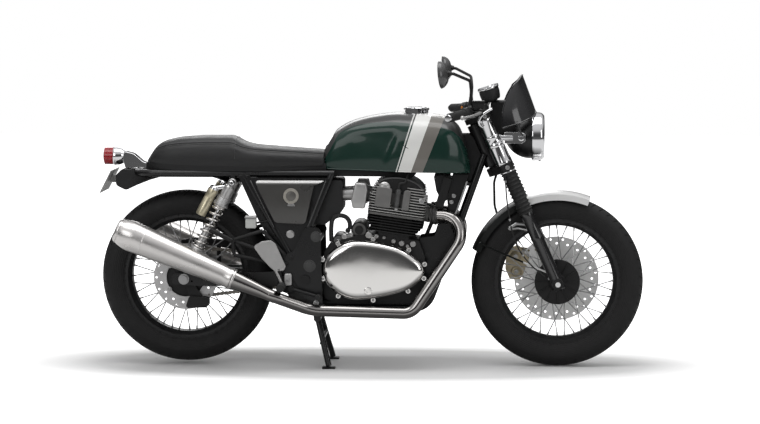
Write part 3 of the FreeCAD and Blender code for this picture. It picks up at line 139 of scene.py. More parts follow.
def area_lamp(name, place, target, width, height, watts):
    data = bpy.data.lights.new(name, "AREA")
    data.shape = "RECTANGLE"
    data.size = width
    data.size_y = height
    data.energy = watts
    lamp = bpy.data.objects.new(name, data)
    lamp.location = place
    lamp.rotation_euler = (Vector(target) - Vector(place)).to_track_quat("-Z", "Y").to_euler()
    scene.collection.objects.link(lamp)


area_lamp("top_softbox", (0.1, -0.4, 3.6), (0.0, 0.0, 0.4), 4.2, 2.0, 78)
area_lamp("side_softbox", (-2.4, -4.6, 2.3), (0.0, 0.0, 0.5), 2.6, 2.2, 40)
area_lamp("front_softbox", (3.6, -3.0, 1.9), (0.2, 0.0, 0.5), 1.6, 2.4, 26)
area_lamp("back_softbox", (-0.6, 4.2, 2.6), (0.0, 0.0, 0.6), 3.0, 1.8, 44)

world = bpy.data.worlds.new("studio")
scene.world = world
world.use_nodes = True
world.node_tree.nodes.clear()
w = Wiring(world.node_tree)
rays = w.add("LightPath").outputs
sky_stops = [(0.3, 0.3, 0.3, 0.3)]
for place, level in ((0.495, 0.08), (0.53, 0.06), (0.6, 0.06), (0.67, 0.14), (0.74, 0.5), (0.8, 0.62)):
    sky_stops.append((place, level, level, level * 1.01))
sky_stops.append((0.9, 0.7, 0.7, 0.71))
bands = grey_ramp(w, sky_stops)
upward = w.add("SeparateXYZ", {"Vector": w.add("TexCoord").outputs["Generated"]}).outputs["Z"]
w.put(bands.inputs["Fac"], w.calc("MULTIPLY_ADD", upward, 0.5, 0.5))
white_sky = w.add("Background", {"Color": (1.0, 1.0, 1.0, 1.0), "Strength": 1.0})
room_sky = w.add("Background", {"Strength": 0.42})
gloss_sky = w.add("Background", {"Color": bands.outputs["Color"], "Strength": 1.0})
shiny = w.calc("MAXIMUM", rays["Is Glossy Ray"], rays["Is Transmission Ray"])
lit_sky = w.add("MixShader", {0: shiny, 1: room_sky.outputs[0], 2: gloss_sky.outputs[0]})
seen_sky = w.add("MixShader", {0: rays["Is Camera Ray"], 1: lit_sky.outputs[0], 2: white_sky.outputs[0]})
w.add("OutputWorld", {"Surface": seen_sky.outputs[0]})

# %% Floor
floor_half = 14.0
floor_mesh = bpy.data.meshes.new("floor")
corners = [(x * floor_half, y * floor_half, 0) for x, y in ((-1, -1), (1, -1), (1, 1), (-1, 1))]
floor_mesh.from_pydata(corners, [], [(0, 1, 2, 3)])
floor = bpy.data.objects.new("floor", floor_mesh)
scene.collection.objects.link(floor)
floor_paint = bpy.data.materials.new("studio floor")
floor_paint.use_nodes = True
floor_paint.node_tree.nodes.clear()
w = Wiring(floor_paint.node_tree)


def floor_level(stretch, stops):
    """A brightness that depends on how far a floor spot lies from the middle: it paints shade under the
    machine.
    """
    spot = w.add("TexCoord").outputs["Object"]
    scaled = w.add("VectorMath", {0: spot, 1: stretch}, operation="MULTIPLY").outputs["Vector"]
    away = w.add("VectorMath", {0: scaled}, operation="LENGTH").outputs["Value"]
    reach = stops[-1][0]
    ramp = grey_ramp(w, [(distance / reach, level, level, level) for distance, level in stops])
    w.put(ramp.inputs["Fac"], w.calc("DIVIDE", away, reach))
    return ramp.outputs["Color"]


rays = w.add("LightPath").outputs
matt = w.add("BsdfDiffuse", {"Color": (0.82, 0.82, 0.82, 1.0)})
# Painted shadow: the floor's glow for the camera is dark under the machine and full away from it.
floor_glow_painted_shadow = floor_level((0.82, 2.6, 0.0), [(0.0, 0.0), (0.85, 0.02), (1.3, 0.75), (4.0, 1.2)])
glow = w.add("Emission", {"Color": floor_glow_painted_shadow, "Strength": rays["Is Camera Ray"]})
# Painted shadow in reflections: chrome sees the floor dark under the machine and bright beyond it.
floor_reflection_painted_shadow = floor_level((0.6, 1.0, 0.0), [(0.0, 0.1), (0.45, 0.16), (0.95, 0.8), (3.2, 0.8), (5.5, 0.1)])
mirrored_floor = w.add("Emission", {"Color": floor_reflection_painted_shadow})
added = w.add("AddShader", {0: matt.outputs[0], 1: glow.outputs[0]})
choice = w.add("MixShader", {0: rays["Is Glossy Ray"], 1: added.outputs[0], 2: mirrored_floor.outputs[0]})
w.add("OutputMaterial", {"Surface": choice.outputs[0]})
floor_mesh.materials.append(floor_paint)
print("floor", 2 * floor_half, "m square")


# %% [markdown]
# ## How a finish is made
# Paint, cast metal, chrome and rubber differ in three things: their colour, how rough they are, and the
# small bumps that break up a reflection. A helper makes all of them from the same few nodes, so that each
# finish below is one line of numbers. Every pattern reads Object coordinates, in metres, so its scale is
# the real one.

# %% One helper for every finish


def shader_of(paint):
    return paint.node_tree.nodes["Principled BSDF"]


def finish(title, colour, rough, metallic=0.0, mottle=0.08, mottle_size=0.06, smear=0.05, grain=0.0,
        grain_size=0.002, streak=None, **sockets):
    """Mottle varies the colour, smear the roughness, grain the surface. A streak stretches all three."""
    paint = bpy.data.materials.new(title)
    paint.use_nodes = True
    w = Wiring(paint.node_tree)
    shader = shader_of(paint)
    spot = place_nodes(w)[0]
    if streak is not None:
        spot = w.add("Mapping", {"Vector": spot, "Scale": streak}).outputs[0]
    cloud = w.add("TexNoise", {"Vector": spot, "Scale": 1.0 / mottle_size, "Detail": 4.0,
        "Roughness": 0.55})
    darker = coloured([max(0.0, c * (1.0 - mottle)) for c in colour])
    lighter = coloured([min(1.0, c * (1.0 + mottle)) for c in colour])
    tone = w.add("Mix", data_type="RGBA")
    w.put(tone.inputs[0], cloud.outputs[0])
    w.put(tone.inputs[6], darker)
    w.put(tone.inputs[7], lighter)
    w.put(shader.inputs["Base Color"], tone.outputs[2])
    spread = w.add("MapRange", {"Value": cloud.outputs[0], "From Min": 0.3, "From Max": 0.7,
        "To Min": max(0.02, rough - smear), "To Max": min(1.0, rough + smear)})
    w.put(shader.inputs["Roughness"], spread.outputs[0])
    shader.inputs["Metallic"].default_value = metallic
    if grain > 0:
        fine = w.add("TexNoise", {"Vector": spot, "Scale": 1.0 / grain_size, "Detail": 3.0})
        bump = w.add("Bump", {"Height": fine.outputs[0], "Strength": grain, "Distance": grain_size * 0.25})
        w.put(shader.inputs["Normal"], bump.outputs[0])
    for name, value in sockets.items():
        shader.inputs[name.replace("_", " ")].default_value = value
    return paint


def recolour(paint, mask_maker, colour, rough=None, metallic=None):
    """Lays a second tone over a finish where the mask is 1."""
    w = Wiring(paint.node_tree)
    shader = shader_of(paint)
    mask = mask_maker(w)
    for name, value in (("Base Color", coloured(colour)), ("Roughness", rough), ("Metallic", metallic)):
        if value is None:
            continue
        socket = shader.inputs[name]
        under = socket.links[0].from_socket if socket.is_linked else None
        if name == "Base Color":
            mix = w.add("Mix", data_type="RGBA")
            ends = (mix.inputs[6], mix.inputs[7], mix.outputs[2])
        else:
            mix = w.add("Mix", data_type="FLOAT")
            ends = (mix.inputs[2], mix.inputs[3], mix.outputs[0])
        w.put(ends[0], under if under is not None else socket.default_value)
        w.put(ends[1], value)
        w.put(mix.inputs[0], mask)
        w.put(socket, ends[2])


print("finish helper ready")


# %% [markdown]
# ## The plain finishes
# Most of a motorcycle is black enamel, coated castings, bright plate or bare alloy. The frame's enamel is
# smooth with a soft gloss, the castings are duller and grained like sand moulding, and chrome is nearly a
# mirror with only a faint haze. Brushed steel gets its streaks by stretching the same noise along the way
# it was brushed.

# %% Plain finishes
frame_enamel = finish("frame enamel", (0.007, 0.007, 0.0075), 0.3, smear=0.08, grain=0.1, grain_size=0.004,
    Coat_Weight=0.15, Coat_Roughness=0.22, Specular_IOR_Level=0.35)
black_coat = finish("black coated casting", (0.0085, 0.0083, 0.0085), 0.5, smear=0.08, grain=0.22,
    grain_size=0.0022, Specular_IOR_Level=0.35)
matt_black = finish("moulded black plastic", (0.0095, 0.0095, 0.01), 0.6, grain=0.25, grain_size=0.0016,
    Specular_IOR_Level=0.4)
soft_rubber = finish("soft rubber", (0.012, 0.012, 0.012), 0.72, grain=0.3, grain_size=0.003)
chrome = finish("chrome plate", (0.78, 0.78, 0.79), 0.07, metallic=1.0, mottle=0.02, mottle_size=0.2,
    smear=0.03)
pipe_chrome = finish("header chrome", (0.33, 0.318, 0.31), 0.17, metallic=1.0, mottle=0.04,
    mottle_size=0.15, grain=0.05, grain_size=0.01)
mirror_alloy = finish("polished alloy", (0.86, 0.845, 0.825), 0.11, metallic=1.0, mottle=0.03,
    mottle_size=0.09, smear=0.03)
cast_alloy = finish("sand-cast alloy", (0.33, 0.33, 0.33), 0.42, metallic=0.9, mottle=0.16, smear=0.1,
    grain=0.5, grain_size=0.0025)
fin_alloy = finish("machined fin edges", (0.165, 0.162, 0.158), 0.42, metallic=0.35, mottle=0.2,
    mottle_size=0.03, grain=0.35)
brushed_steel = finish("brushed silencer steel", (0.72, 0.7, 0.685), 0.3, metallic=0.88, mottle=0.03,
    mottle_size=0.03, smear=0.04, grain=0.04, grain_size=0.0016, streak=(0.12, 1.0, 1.0))
zinc = finish("zinc plated steel", (0.42, 0.42, 0.42), 0.34, metallic=1.0, mottle=0.14, mottle_size=0.02,
    smear=0.1)
rim_steel = finish("rim enamel", (0.011, 0.011, 0.0115), 0.36, Specular_IOR_Level=0.4)
disc_steel = finish("brake disc steel", (0.53, 0.525, 0.525), 0.36, metallic=0.4, mottle=0.1,
    mottle_size=0.015, smear=0.08)
# The front disc sits in shade, so its steel is painted much lighter than the rear disc's: painted light.
front_disc_painted_light = finish("bright disc steel", (0.9, 0.895, 0.89), 0.42, metallic=0.15, mottle_size=0.015,
    smear=0.06)
slider_coat = finish("slider lacquer", (0.012, 0.012, 0.0125), 0.22, mottle=0.04, smear=0.04,
    Coat_Weight=0.6, Coat_Roughness=0.1)
gold = finish("gold anodised alloy", (0.42, 0.36, 0.25), 0.34, metallic=0.7, mottle_size=0.02, grain=0.1)
spring_steel = finish("plated spring", (0.62, 0.6, 0.58), 0.22, metallic=1.0, mottle_size=0.02)
aluminium = finish("bare aluminium", (0.47, 0.465, 0.46), 0.36, metallic=0.72, mottle=0.1, mottle_size=0.02,
    grain=0.12)
reservoir_white = finish("milky reservoir plastic", (0.5, 0.51, 0.49), 0.42, mottle=0.05)
# The blank plate is painted mid grey instead of white: painted shade, as it hangs in shadow under the tail.
plate_painted_shade = finish("bare plate", (0.27, 0.27, 0.265), 0.45, mottle=0.05, mottle_size=0.05)
chain_steel = finish("chain steel", (0.3, 0.28, 0.25), 0.38, metallic=1.0, mottle=0.25, mottle_size=0.01)
print("finishes:", len(bpy.data.materials))

# %% [markdown]
# ## Glass, lenses and the dark screen
# A clear lens shows its reflector through it, so it is real glass with a thin tint. The tail lamp is thick
# red plastic moulded in rings, and the screen is so dark that only its gloss tells it is clear.

# %% Clear and tinted finishes
lamp_glass = finish("lamp glass", (0.96, 0.97, 0.97), 0.03, mottle=0.01, smear=0.01,
    Transmission_Weight=1.0, IOR=1.45)
red_lens = finish("red lens", (0.33, 0.01, 0.018), 0.1, mottle=0.1, mottle_size=0.02, Coat_Weight=0.6)
amber_lens = finish("amber lens", (0.7, 0.22, 0.02), 0.12, mottle_size=0.02, Coat_Weight=0.5)
smoked = finish("smoked screen", (0.01, 0.01, 0.011), 0.1, mottle=0.05, mottle_size=0.1, smear=0.03,
    Coat_Weight=0.5)
dial_face = finish("dial face", (0.012, 0.012, 0.013), 0.4, mottle=0.05)
mirror_glass = finish("mirror glass", (0.86, 0.87, 0.88), 0.02, metallic=1.0, mottle=0.01, smear=0.01)
print("clear and tinted finishes ready")

# %% [markdown]
# ## Tank paint
# The tank is sprayed dark green, with a broad white and grey band that leans forward and a white pinstripe
# behind it. On the real one these are masked off and sprayed before the lacquer. Its top is painted
# gunmetal grey: a painted reflection of the overhead light on the glossy green. Here each edge is a line in
# the side view, worked out from the forward and upward coordinates, so the band wraps over the top by
# itself and stays sharp at any distance.

# %% Tank paint
tank_paint = finish("tank lacquer", (0.0075, 0.029, 0.0215), 0.22, mottle=0.06, mottle_size=0.05,
    smear=0.03, Coat_Weight=0.35, Coat_Roughness=0.05, Specular_IOR_Level=0.25)
band_foot_x = 0.109
band_foot_z = 0.755
band_width = 0.093


def band_share(w):
    """Where a point lies across the band: 0 at its rear edge, 1 at its front edge."""
    x, z = place_nodes(w)[1], place_nodes(w)[3]
    rise = w.calc("SUBTRACT", z, band_foot_z)
    start = w.calc("MULTIPLY_ADD", rise, 0.318, band_foot_x)
    width = w.calc("MULTIPLY_ADD", rise, 0.082, band_width)
    return w.calc("DIVIDE", w.calc("SUBTRACT", x, start), width)


def between(w, value, low, high):
    return w.calc("MULTIPLY", w.calc("GREATER_THAN", value, low), w.calc("LESS_THAN", value, high))


def top_reflection_mask(w):
    """1 above the line where the green stops and the painted reflection on the top starts. The line is a
    curve over the tank's length.
    """
    _, x, _, z = place_nodes(w)
    start, stop = -0.18, 0.4
    low, high = 0.75, 0.95
    along = w.calc("DIVIDE", w.calc("SUBTRACT", x, start), stop - start)
    line = w.add("FloatCurve")
    curve = line.mapping.curves[0]
    corners = ((-0.18, 0.77), (-0.15, 0.822), (-0.137, 0.846), (-0.111, 0.886), (-0.074, 0.904),
        (-0.029, 0.916), (0.038, 0.924), (0.094, 0.925), (0.157, 0.92), (0.23, 0.914), (0.29, 0.9),
        (0.33, 0.872), (0.355, 0.83), (0.4, 0.76))
    points = [((x_at - start) / (stop - start), (z_at - low) / (high - low)) for x_at, z_at in corners]
    curve.points[0].location = points[0]
    curve.points[1].location = points[-1]
    for point in points[1:-1]:
        curve.points.new(*point)
    line.mapping.update()
    w.put(line.inputs["Value"], along)
    edge = w.calc("MULTIPLY_ADD", line.outputs[0], high - low, low)
    return w.calc("GREATER_THAN", z, edge)


# The top is painted gunmetal grey: a painted reflection of the overhead light on the glossy green.
top_reflection_grey = (0.066, 0.067, 0.066)
recolour(tank_paint, top_reflection_mask, top_reflection_grey, rough=0.28, metallic=0.55)
recolour(tank_paint, lambda w: between(w, band_share(w), 0.0, 0.53), (0.74, 0.74, 0.72), rough=0.25,
    metallic=0.0)
recolour(tank_paint, lambda w: between(w, band_share(w), 0.53, 1.0), (0.17, 0.16, 0.145), rough=0.25,
    metallic=0.0)
recolour(tank_paint, lambda w: between(w, band_share(w), -0.1, -0.055), (0.66, 0.66, 0.64), rough=0.25,
    metallic=0.0)
panel_paint = finish("side panel lacquer", (0.066, 0.064, 0.061), 0.3, metallic=0.35, mottle=0.05,
    mottle_size=0.08, smear=0.04, Coat_Weight=0.5, Coat_Roughness=0.12)
# The top edge above z 0.6965 is painted light grey: a painted highlight of the overhead light.
recolour(panel_paint, lambda w: w.calc("MULTIPLY", w.calc("SUBTRACT", place_nodes(w)[3], 0.6965), 130.0,
    clamp=True), (0.5, 0.495, 0.485), rough=0.28, metallic=0.1)
print("tank paint nodes:", len(tank_paint.node_tree.nodes))

# %% [markdown]
# ## Tyre rubber and seat leather
# Tyre rubber is dull, and its colour varies a little at random. Its sidewall has fine moulded rings, which
# follow the radius from the axle: one helper works that out from Object coordinates. The seat cover is a
# fine leather grain, made from cells, with a softer large wrinkle over it.

# %% Tyre rubber and leather


def axle_distance(w, axle_x, axle_z):
    """How far a point lies from an axle."""
    _, x, _, z = place_nodes(w)
    fore = w.calc("SUBTRACT", x, axle_x)
    rise = w.calc("SUBTRACT", z, axle_z)
    return w.calc("SQRT", w.calc("ADD", w.calc("MULTIPLY", fore, fore), w.calc("MULTIPLY", rise, rise)))


def tyre_rubber(title, axle_x, axle_z, wall_radius, width):
    """Dull rubber with fine moulded rings on the sidewall, round the axle."""
    rubber = finish(title, (0.0095, 0.0093, 0.0095), 0.66, mottle=0.18, mottle_size=0.05, smear=0.08,
        Specular_IOR_Level=0.35)
    w = Wiring(rubber.node_tree)
    shader = shader_of(rubber)
    radius = axle_distance(w, axle_x, axle_z)
    rings = w.calc("SINE", w.calc("MULTIPLY", radius, 2 * math.pi / 0.0065))
    on_wall = w.calc("LESS_THAN", radius, wall_radius - 0.3 * width)
    bump = w.add("Bump", {"Height": w.calc("MULTIPLY", rings, on_wall), "Strength": 0.5,
        "Distance": 0.0006})
    w.put(shader.inputs["Normal"], bump.outputs[0])
    return rubber


leather = finish("seat leather", (0.013, 0.013, 0.0135), 0.46, mottle=0.14, mottle_size=0.05, smear=0.07,
    Sheen_Weight=0.06, Specular_IOR_Level=0.4)
w = Wiring(leather.node_tree)
spot = place_nodes(w)[0]
cells = w.add("TexVoronoi", {"Vector": spot, "Scale": 420.0}, feature="DISTANCE_TO_EDGE")
wrinkle = w.add("TexNoise", {"Vector": spot, "Scale": 30.0, "Detail": 3.0})
height = w.calc("MULTIPLY_ADD", wrinkle.outputs[0], 1.2, w.calc("MINIMUM", cells.outputs[0], 0.18))
leather_bump = w.add("Bump", {"Height": height, "Strength": 0.32, "Distance": 0.0011})
w.put(shader_of(leather).inputs["Normal"], leather_bump.outputs[0])
print("leather ready")

# %% [markdown]
# ## Three ways to make a shape
# Round things are turned: a profile of distances and radii goes round an axis. Tubes are a circle swept
# along a path whose corners are arcs. Flat castings and plates are an outline given thickness, with a small
# bevel that catches the light. These three helpers make most of the pieces, and each returns a mesh object
# at the origin.

# %% Mesh helpers


def make_piece(name, verts, faces, paint, sharp=35.0):
    """A mesh object with outward faces, smooth except at edges sharper than the angle in degrees."""
    mesh = bpy.data.meshes.new(name)
    mesh.from_pydata([tuple(v) for v in verts], [], faces)
    shell = bmesh.new()
    shell.from_mesh(mesh)
    bmesh.ops.remove_doubles(shell, verts=shell.verts, dist=1e-6)
    bmesh.ops.recalc_face_normals(shell, faces=shell.faces)
    shell.to_mesh(mesh)
    shell.free()
    mesh.polygons.foreach_set("use_smooth", [True] * len(mesh.polygons))
    mesh.set_sharp_from_angle(angle=math.radians(sharp))
    mesh.materials.append(paint)
    piece = bpy.data.objects.new(name, mesh)
    scene.collection.objects.link(piece)
    return piece


def square_to(axis):
    """Two unit directions at right angles to an axis and to each other."""
    axis = Vector(axis).normalized()
    side = axis.cross(Vector((0, 1, 0)) if abs(axis.y) < 0.9 else Vector((1, 0, 0))).normalized()
    return side, axis.cross(side).normalized()


def turned_spot(centre, side, other, turn, radius, rise=None):
    """A point at an angle round a centre, on a circle, or on an ellipse where a second radius is given."""
    return centre + side * (radius * math.cos(turn)) + other * ((rise or radius) * math.sin(turn))


def ring_quads(rows, count):
    """Quads between closed rings of points that follow one another in a list."""
    starts = range(0, (rows - 1) * count, count)
    return [(a + i, a + (i + 1) % count, a + count + (i + 1) % count,
        a + count + i) for a in starts for i in range(count)]


def lathe(name, profile, centre, axis, paint, steps=64, sharp=35.0):
    """Turns (distance, radius) pairs round an axis through a centre. A radius of 0 closes an end."""
    axis = Vector(axis).normalized()
    side, other = square_to(axis)
    verts = []
    faces = []
    rings = []
    for distance, radius in profile:
        middle = Vector(centre) + axis * distance
        if radius <= 0:
            rings.append([len(verts)])
            verts.append(middle)
            continue
        rings.append(list(range(len(verts), len(verts) + steps)))
        for index in range(steps):
            verts.append(turned_spot(middle, side, other, 2 * math.pi * index / steps, radius))
    for first, second in zip(rings, rings[1:]):
        for index in range(steps):
            following = (index + 1) % steps
            if len(first) == 1 and len(second) == 1:
                continue
            if len(first) == 1:
                faces.append((first[0], second[index], second[following]))
            elif len(second) == 1:
                faces.append((first[index], second[0], first[following]))
            else:
                faces.append((first[index], second[index], second[following], first[following]))
    return make_piece(name, verts, faces, paint, sharp)


def arc_points(start, middle, end, count):
    """Points on the circle through three (distance, radius) pairs, ends included."""
    ax, ay = start
    bx, by = middle
    cx, cy = end
    d = 2 * (ax * (by - cy) + bx * (cy - ay) + cx * (ay - by))
    a_square, b_square, c_square = (x ** 2 + y ** 2 for x, y in (start, middle, end))
    ux = (a_square * (by - cy) + b_square * (cy - ay) + c_square * (ay - by)) / d
    uy = (a_square * (cx - bx) + b_square * (ax - cx) + c_square * (bx - ax)) / d
    radius = math.hypot(ax - ux, ay - uy)
    first = math.atan2(ay - uy, ax - ux)
    mid = (math.atan2(by - uy, bx - ux) - first) % (2 * math.pi)
    last = (math.atan2(cy - uy, cx - ux) - first) % (2 * math.pi)
    if mid > last:
        last -= 2 * math.pi
    return [(ux + radius * math.cos(first + last * i / count),
        uy + radius * math.sin(first + last * i / count)) for i in range(count + 1)]


def bend(points, radii, steps=10):
    """A tube's path: straight runs joined by arcs."""
    points = [Vector(p) for p in points]
    path = [points[0]]
    for before, point, after, radius in zip(points, points[1:], points[2:], radii):
        back = (before - point).normalized()
        ahead = (after - point).normalized()
        half = back.angle(ahead) / 2
        centre = point + (back + ahead).normalized() * (radius / math.sin(half))
        start = point + back * (radius / math.tan(half)) - centre
        end = point + ahead * (radius / math.tan(half)) - centre
        sweep = math.pi - 2 * half
        square = (end - start * math.cos(sweep)) / math.sin(sweep)
        for index in range(steps + 1):
            turn = sweep * index / steps
            path.append(centre + start * math.cos(turn) + square * math.sin(turn))
    path.append(points[-1])
    return path


def tube(name, path, radius, paint, steps=20):
    """Sweeps a circle along a path, turning it as little as possible."""
    path = [Vector(p) for p in path]
    verts = []
    heading = (path[1] - path[0]).normalized()
    side = square_to(heading)[0]
    for index, point in enumerate(path):
        before = path[max(0, index - 1)]
        after = path[min(len(path) - 1, index + 1)]
        new_heading = (after - before).normalized()
        side = heading.rotation_difference(new_heading) @ side
        heading = new_heading
        other = heading.cross(side)
        for step in range(steps):
            verts.append(turned_spot(point, side, other, 2 * math.pi * step / steps, radius))
    last = (len(path) - 1) * steps
    faces = ring_quads(len(path), steps) + [tuple(range(steps)), tuple(range(last, last + steps))]
    return make_piece(name, verts, faces, paint)


def round_outline(points, radii, steps=6):
    """A closed 2-D outline with rounded corners."""
    count = len(points)
    if not isinstance(radii, (list, tuple)):
        radii = [radii] * count
    outline = []
    for index in range(count):
        point = Vector(points[index])
        back = Vector(points[index - 1]) - point
        ahead = Vector(points[(index + 1) % count]) - point
        radius = radii[index]
        if radius <= 0:
            outline.append(point)
            continue
        half = back.angle(ahead) / 2
        reach = min(radius / math.tan(half), back.length * 0.49, ahead.length * 0.49)
        start = point + back.normalized() * reach
        end = point + ahead.normalized() * reach
        for step in range(steps + 1):
            t = step / steps
            outline.append(start * (1 - t) ** 2 + point * (2 * t * (1 - t)) + end * t ** 2)
    return outline


def slab(name, outline, low_y, high_y, paint, bevel=0.0015, sharp=35.0):
    """An (x, z) outline made a plate between two values of Y, with a bevelled edge."""
    count = len(outline)
    verts = [(p[0], low_y, p[1]) for p in outline] + [(p[0], high_y, p[1]) for p in outline]
    faces = [tuple(range(count)), tuple(range(count, 2 * count))]
    faces += [(i, (i + 1) % count, (i + 1) % count + count, i + count) for i in range(count)]
    piece = make_piece(name, verts, faces, paint, sharp)
    if bevel > 0:
        chamfer = piece.modifiers.new("edge", "BEVEL")
        chamfer.width = bevel
        chamfer.segments = 2
        chamfer.limit_method = "ANGLE"
        chamfer.angle_limit = math.radians(50)
        settle(piece)
    return piece


def side_slab(name, outline, side, near, far, paint, bevel=0.0015):
    """A plate on one side of the machine, between two distances from its middle."""
    low_y, high_y = sorted((near * side, far * side))
    return slab(name, outline, low_y, high_y, paint, bevel)


def settle(piece):
    """Applies a piece's modifiers to its mesh."""
    shown = piece.evaluated_get(bpy.context.evaluated_depsgraph_get())
    mesh = bpy.data.meshes.new_from_object(shown)
    piece.modifiers.clear()
    old = piece.data
    piece.data = mesh
    bpy.data.meshes.remove(old)


def mirrored(piece, name):
    """The same piece on the other side of the machine, with its faces turned back outwards."""
    mesh = piece.data.copy()
    for vert in mesh.vertices:
        vert.co.y = -vert.co.y
    mesh.flip_normals()
    twin = bpy.data.objects.new(name, mesh)
    scene.collection.objects.link(twin)
    return twin


def joined(name, pieces):
    """Makes one piece of several that share a body."""
    mesh = bpy.data.meshes.new(name)
    shell = bmesh.new()
    paints = []
    for piece in pieces:
        before = len(shell.faces)
        shell.from_mesh(piece.data)
        shell.faces.ensure_lookup_table()
        slots = []
        for paint in piece.data.materials:
            if paint not in paints:
                paints.append(paint)
            slots.append(paints.index(paint))
        for face in shell.faces[before:]:
            face.material_index = slots[min(face.material_index, len(slots) - 1)]
    shell.to_mesh(mesh)
    shell.free()
    for paint in paints:
        mesh.materials.append(paint)
    whole = bpy.data.objects.new(name, mesh)
    scene.collection.objects.link(whole)
    for piece in pieces:
        old = piece.data
        bpy.data.objects.remove(piece)
        bpy.data.meshes.remove(old)
    return whole


def fit(piece, body, slot, *replaced):
    """Hangs a finished piece on its body and says which solids it stands for."""
    piece.name = piece.name.replace(" ", "_")
    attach(piece, body)
    if replaced:
        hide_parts(*replaced)


def only(side, chosen, node):
    """The node that a pair of pieces stands for, named by one of the two."""
    return (node,) if side == chosen else ()


print("mesh helpers ready")

# %% [markdown]
# ## Datums
# The axles, the steering axis, the engine's lean and the shock absorbers' ends come from the solids.
# Written once here in metres, they place every new piece. A point is given as it is read from the side:
# forward, up, sideways.

# %% Datums
front_axle = Vector((0.7005, 0.0, 0.323))
rear_axle = Vector((-0.6975, 0.0, 0.336))
rake = math.radians(24.2)
up_fork = Vector((-math.sin(rake), 0.0, math.cos(rake)))
fore_fork = Vector((math.cos(rake), 0.0, math.sin(rake)))
fork_offset = 0.043
leg_y = 0.098
steering_foot = front_axle - fore_fork * fork_offset
lean = math.radians(8.0)
engine_up = Vector((math.sin(lean), 0.0, math.cos(lean)))
engine_fore = Vector((math.cos(lean), 0.0, -math.sin(lean)))
barrel_foot = Vector((0.085, 0.0, 0.496))
SIDES = (-1, 1)
SIDE_NAMES = {-1: "right", 1: "left"}


def at(x, z, y=0.0):
    return Vector((x, y, z))


def fork_point(level, fore=0.0, y=0.0):
    point = steering_foot + up_fork * level + fore_fork * fore
    return Vector((point.x, y, point.z))


def engine_point(fore, up, y=0.0):
    point = barrel_foot + engine_fore * fore + engine_up * up
    return Vector((point.x, y, point.z))


print("wheelbase", round((front_axle - rear_axle).x, 4))

# %% [markdown]
# ## The solids that stay
# Many solids already have the real shape, so they only need their edges and a finish. Their triangles come
# loose, which would show every facet. A Weld modifier joins them and an Edge Split modifier keeps the true
# corners sharp, so curved faces shade smoothly and the mesh itself isn't touched.

# %% Dress the solids


def dress(node, paint, corner=32.0):
    solid = nodes[node]
    mesh = solid.data
    mesh.polygons.foreach_set("use_smooth", [True] * len(mesh.polygons))
    mesh.materials.clear()
    mesh.materials.append(paint)
    weld = solid.modifiers.new("weld", "WELD")
    weld.merge_threshold = 2e-6
    keep = solid.modifiers.new("corners", "EDGE_SPLIT")
    keep.split_angle = math.radians(corner)
    keep.use_edge_sharp = False


dressed = [
    (frame_enamel, ["main_frame", "rear_frame", "swingarm", "handlebar_right", "handlebar_left",
        "centre_stand", "side_stand"]),
    (zinc, ["pivot_bolts", "rear_axle", "rear_sprocket"]),
    (matt_black, ["chain_guard", "air_box", "rear_mudguard", "instruments", "mirrors"]),
    (cast_alloy, ["crankcase"]),
    (black_coat, ["cylinder_barrel", "cam_cover", "oil_cooler", "rear_brake", "rider_footrest_right",
        "rider_footrest_left", "passenger_footrests", "steering_yokes", "front_axle", "fork_leg_right",
        "fork_leg_left", "headlamp"]),
    (fin_alloy, ["cylinder_head"]),
    (mirror_alloy, ["clutch_cover", "generator_cover"]),
    (aluminium, ["throttle_bodies"]),
    (chrome, ["filler_ring", "headlamp_brackets", "front_mudguard", "fuel_cap"]),
    (panel_paint, ["side_panels"]),
    (plate_painted_shade, ["number_plate"]),
    (smoked, ["flyscreen"]),
    (gold, ["front_caliper"]),
    (soft_rubber, ["brake_hose", "front_tyre", "rear_tyre"]),
    (front_disc_painted_light, ["front_brake_disc"]),
    (disc_steel, ["rear_brake_disc"]),
    (pipe_chrome, ["exhaust_pipes"]),
    (brushed_steel, ["silencers"]),
    (tank_paint, ["fuel_tank"]),
    (leather, ["seat"]),
    (spring_steel, ["shocks"]),
    (chain_steel, ["chain"]),
    (red_lens, ["tail_lamp"]),
    (lamp_glass, ["headlamp_lens"]),
    (rim_steel, ["front_wire_wheel", "rear_wire_wheel"]),
]
for paint, names in dressed:
    for node in names:
        dress(node, paint)
print("dressed", sum(len(names) for _, names in dressed), "of", len(nodes))

# %% [markdown]
# ## Copies round an axle
# Spokes, bolts, hub ribs and dial marks repeat round an axle. Geometry Nodes does it: a line of points on
# one spot, one copy on each, and a turn that grows with the index. The unit is made once, where the first
# copy sits.

# %% Copies round an axle


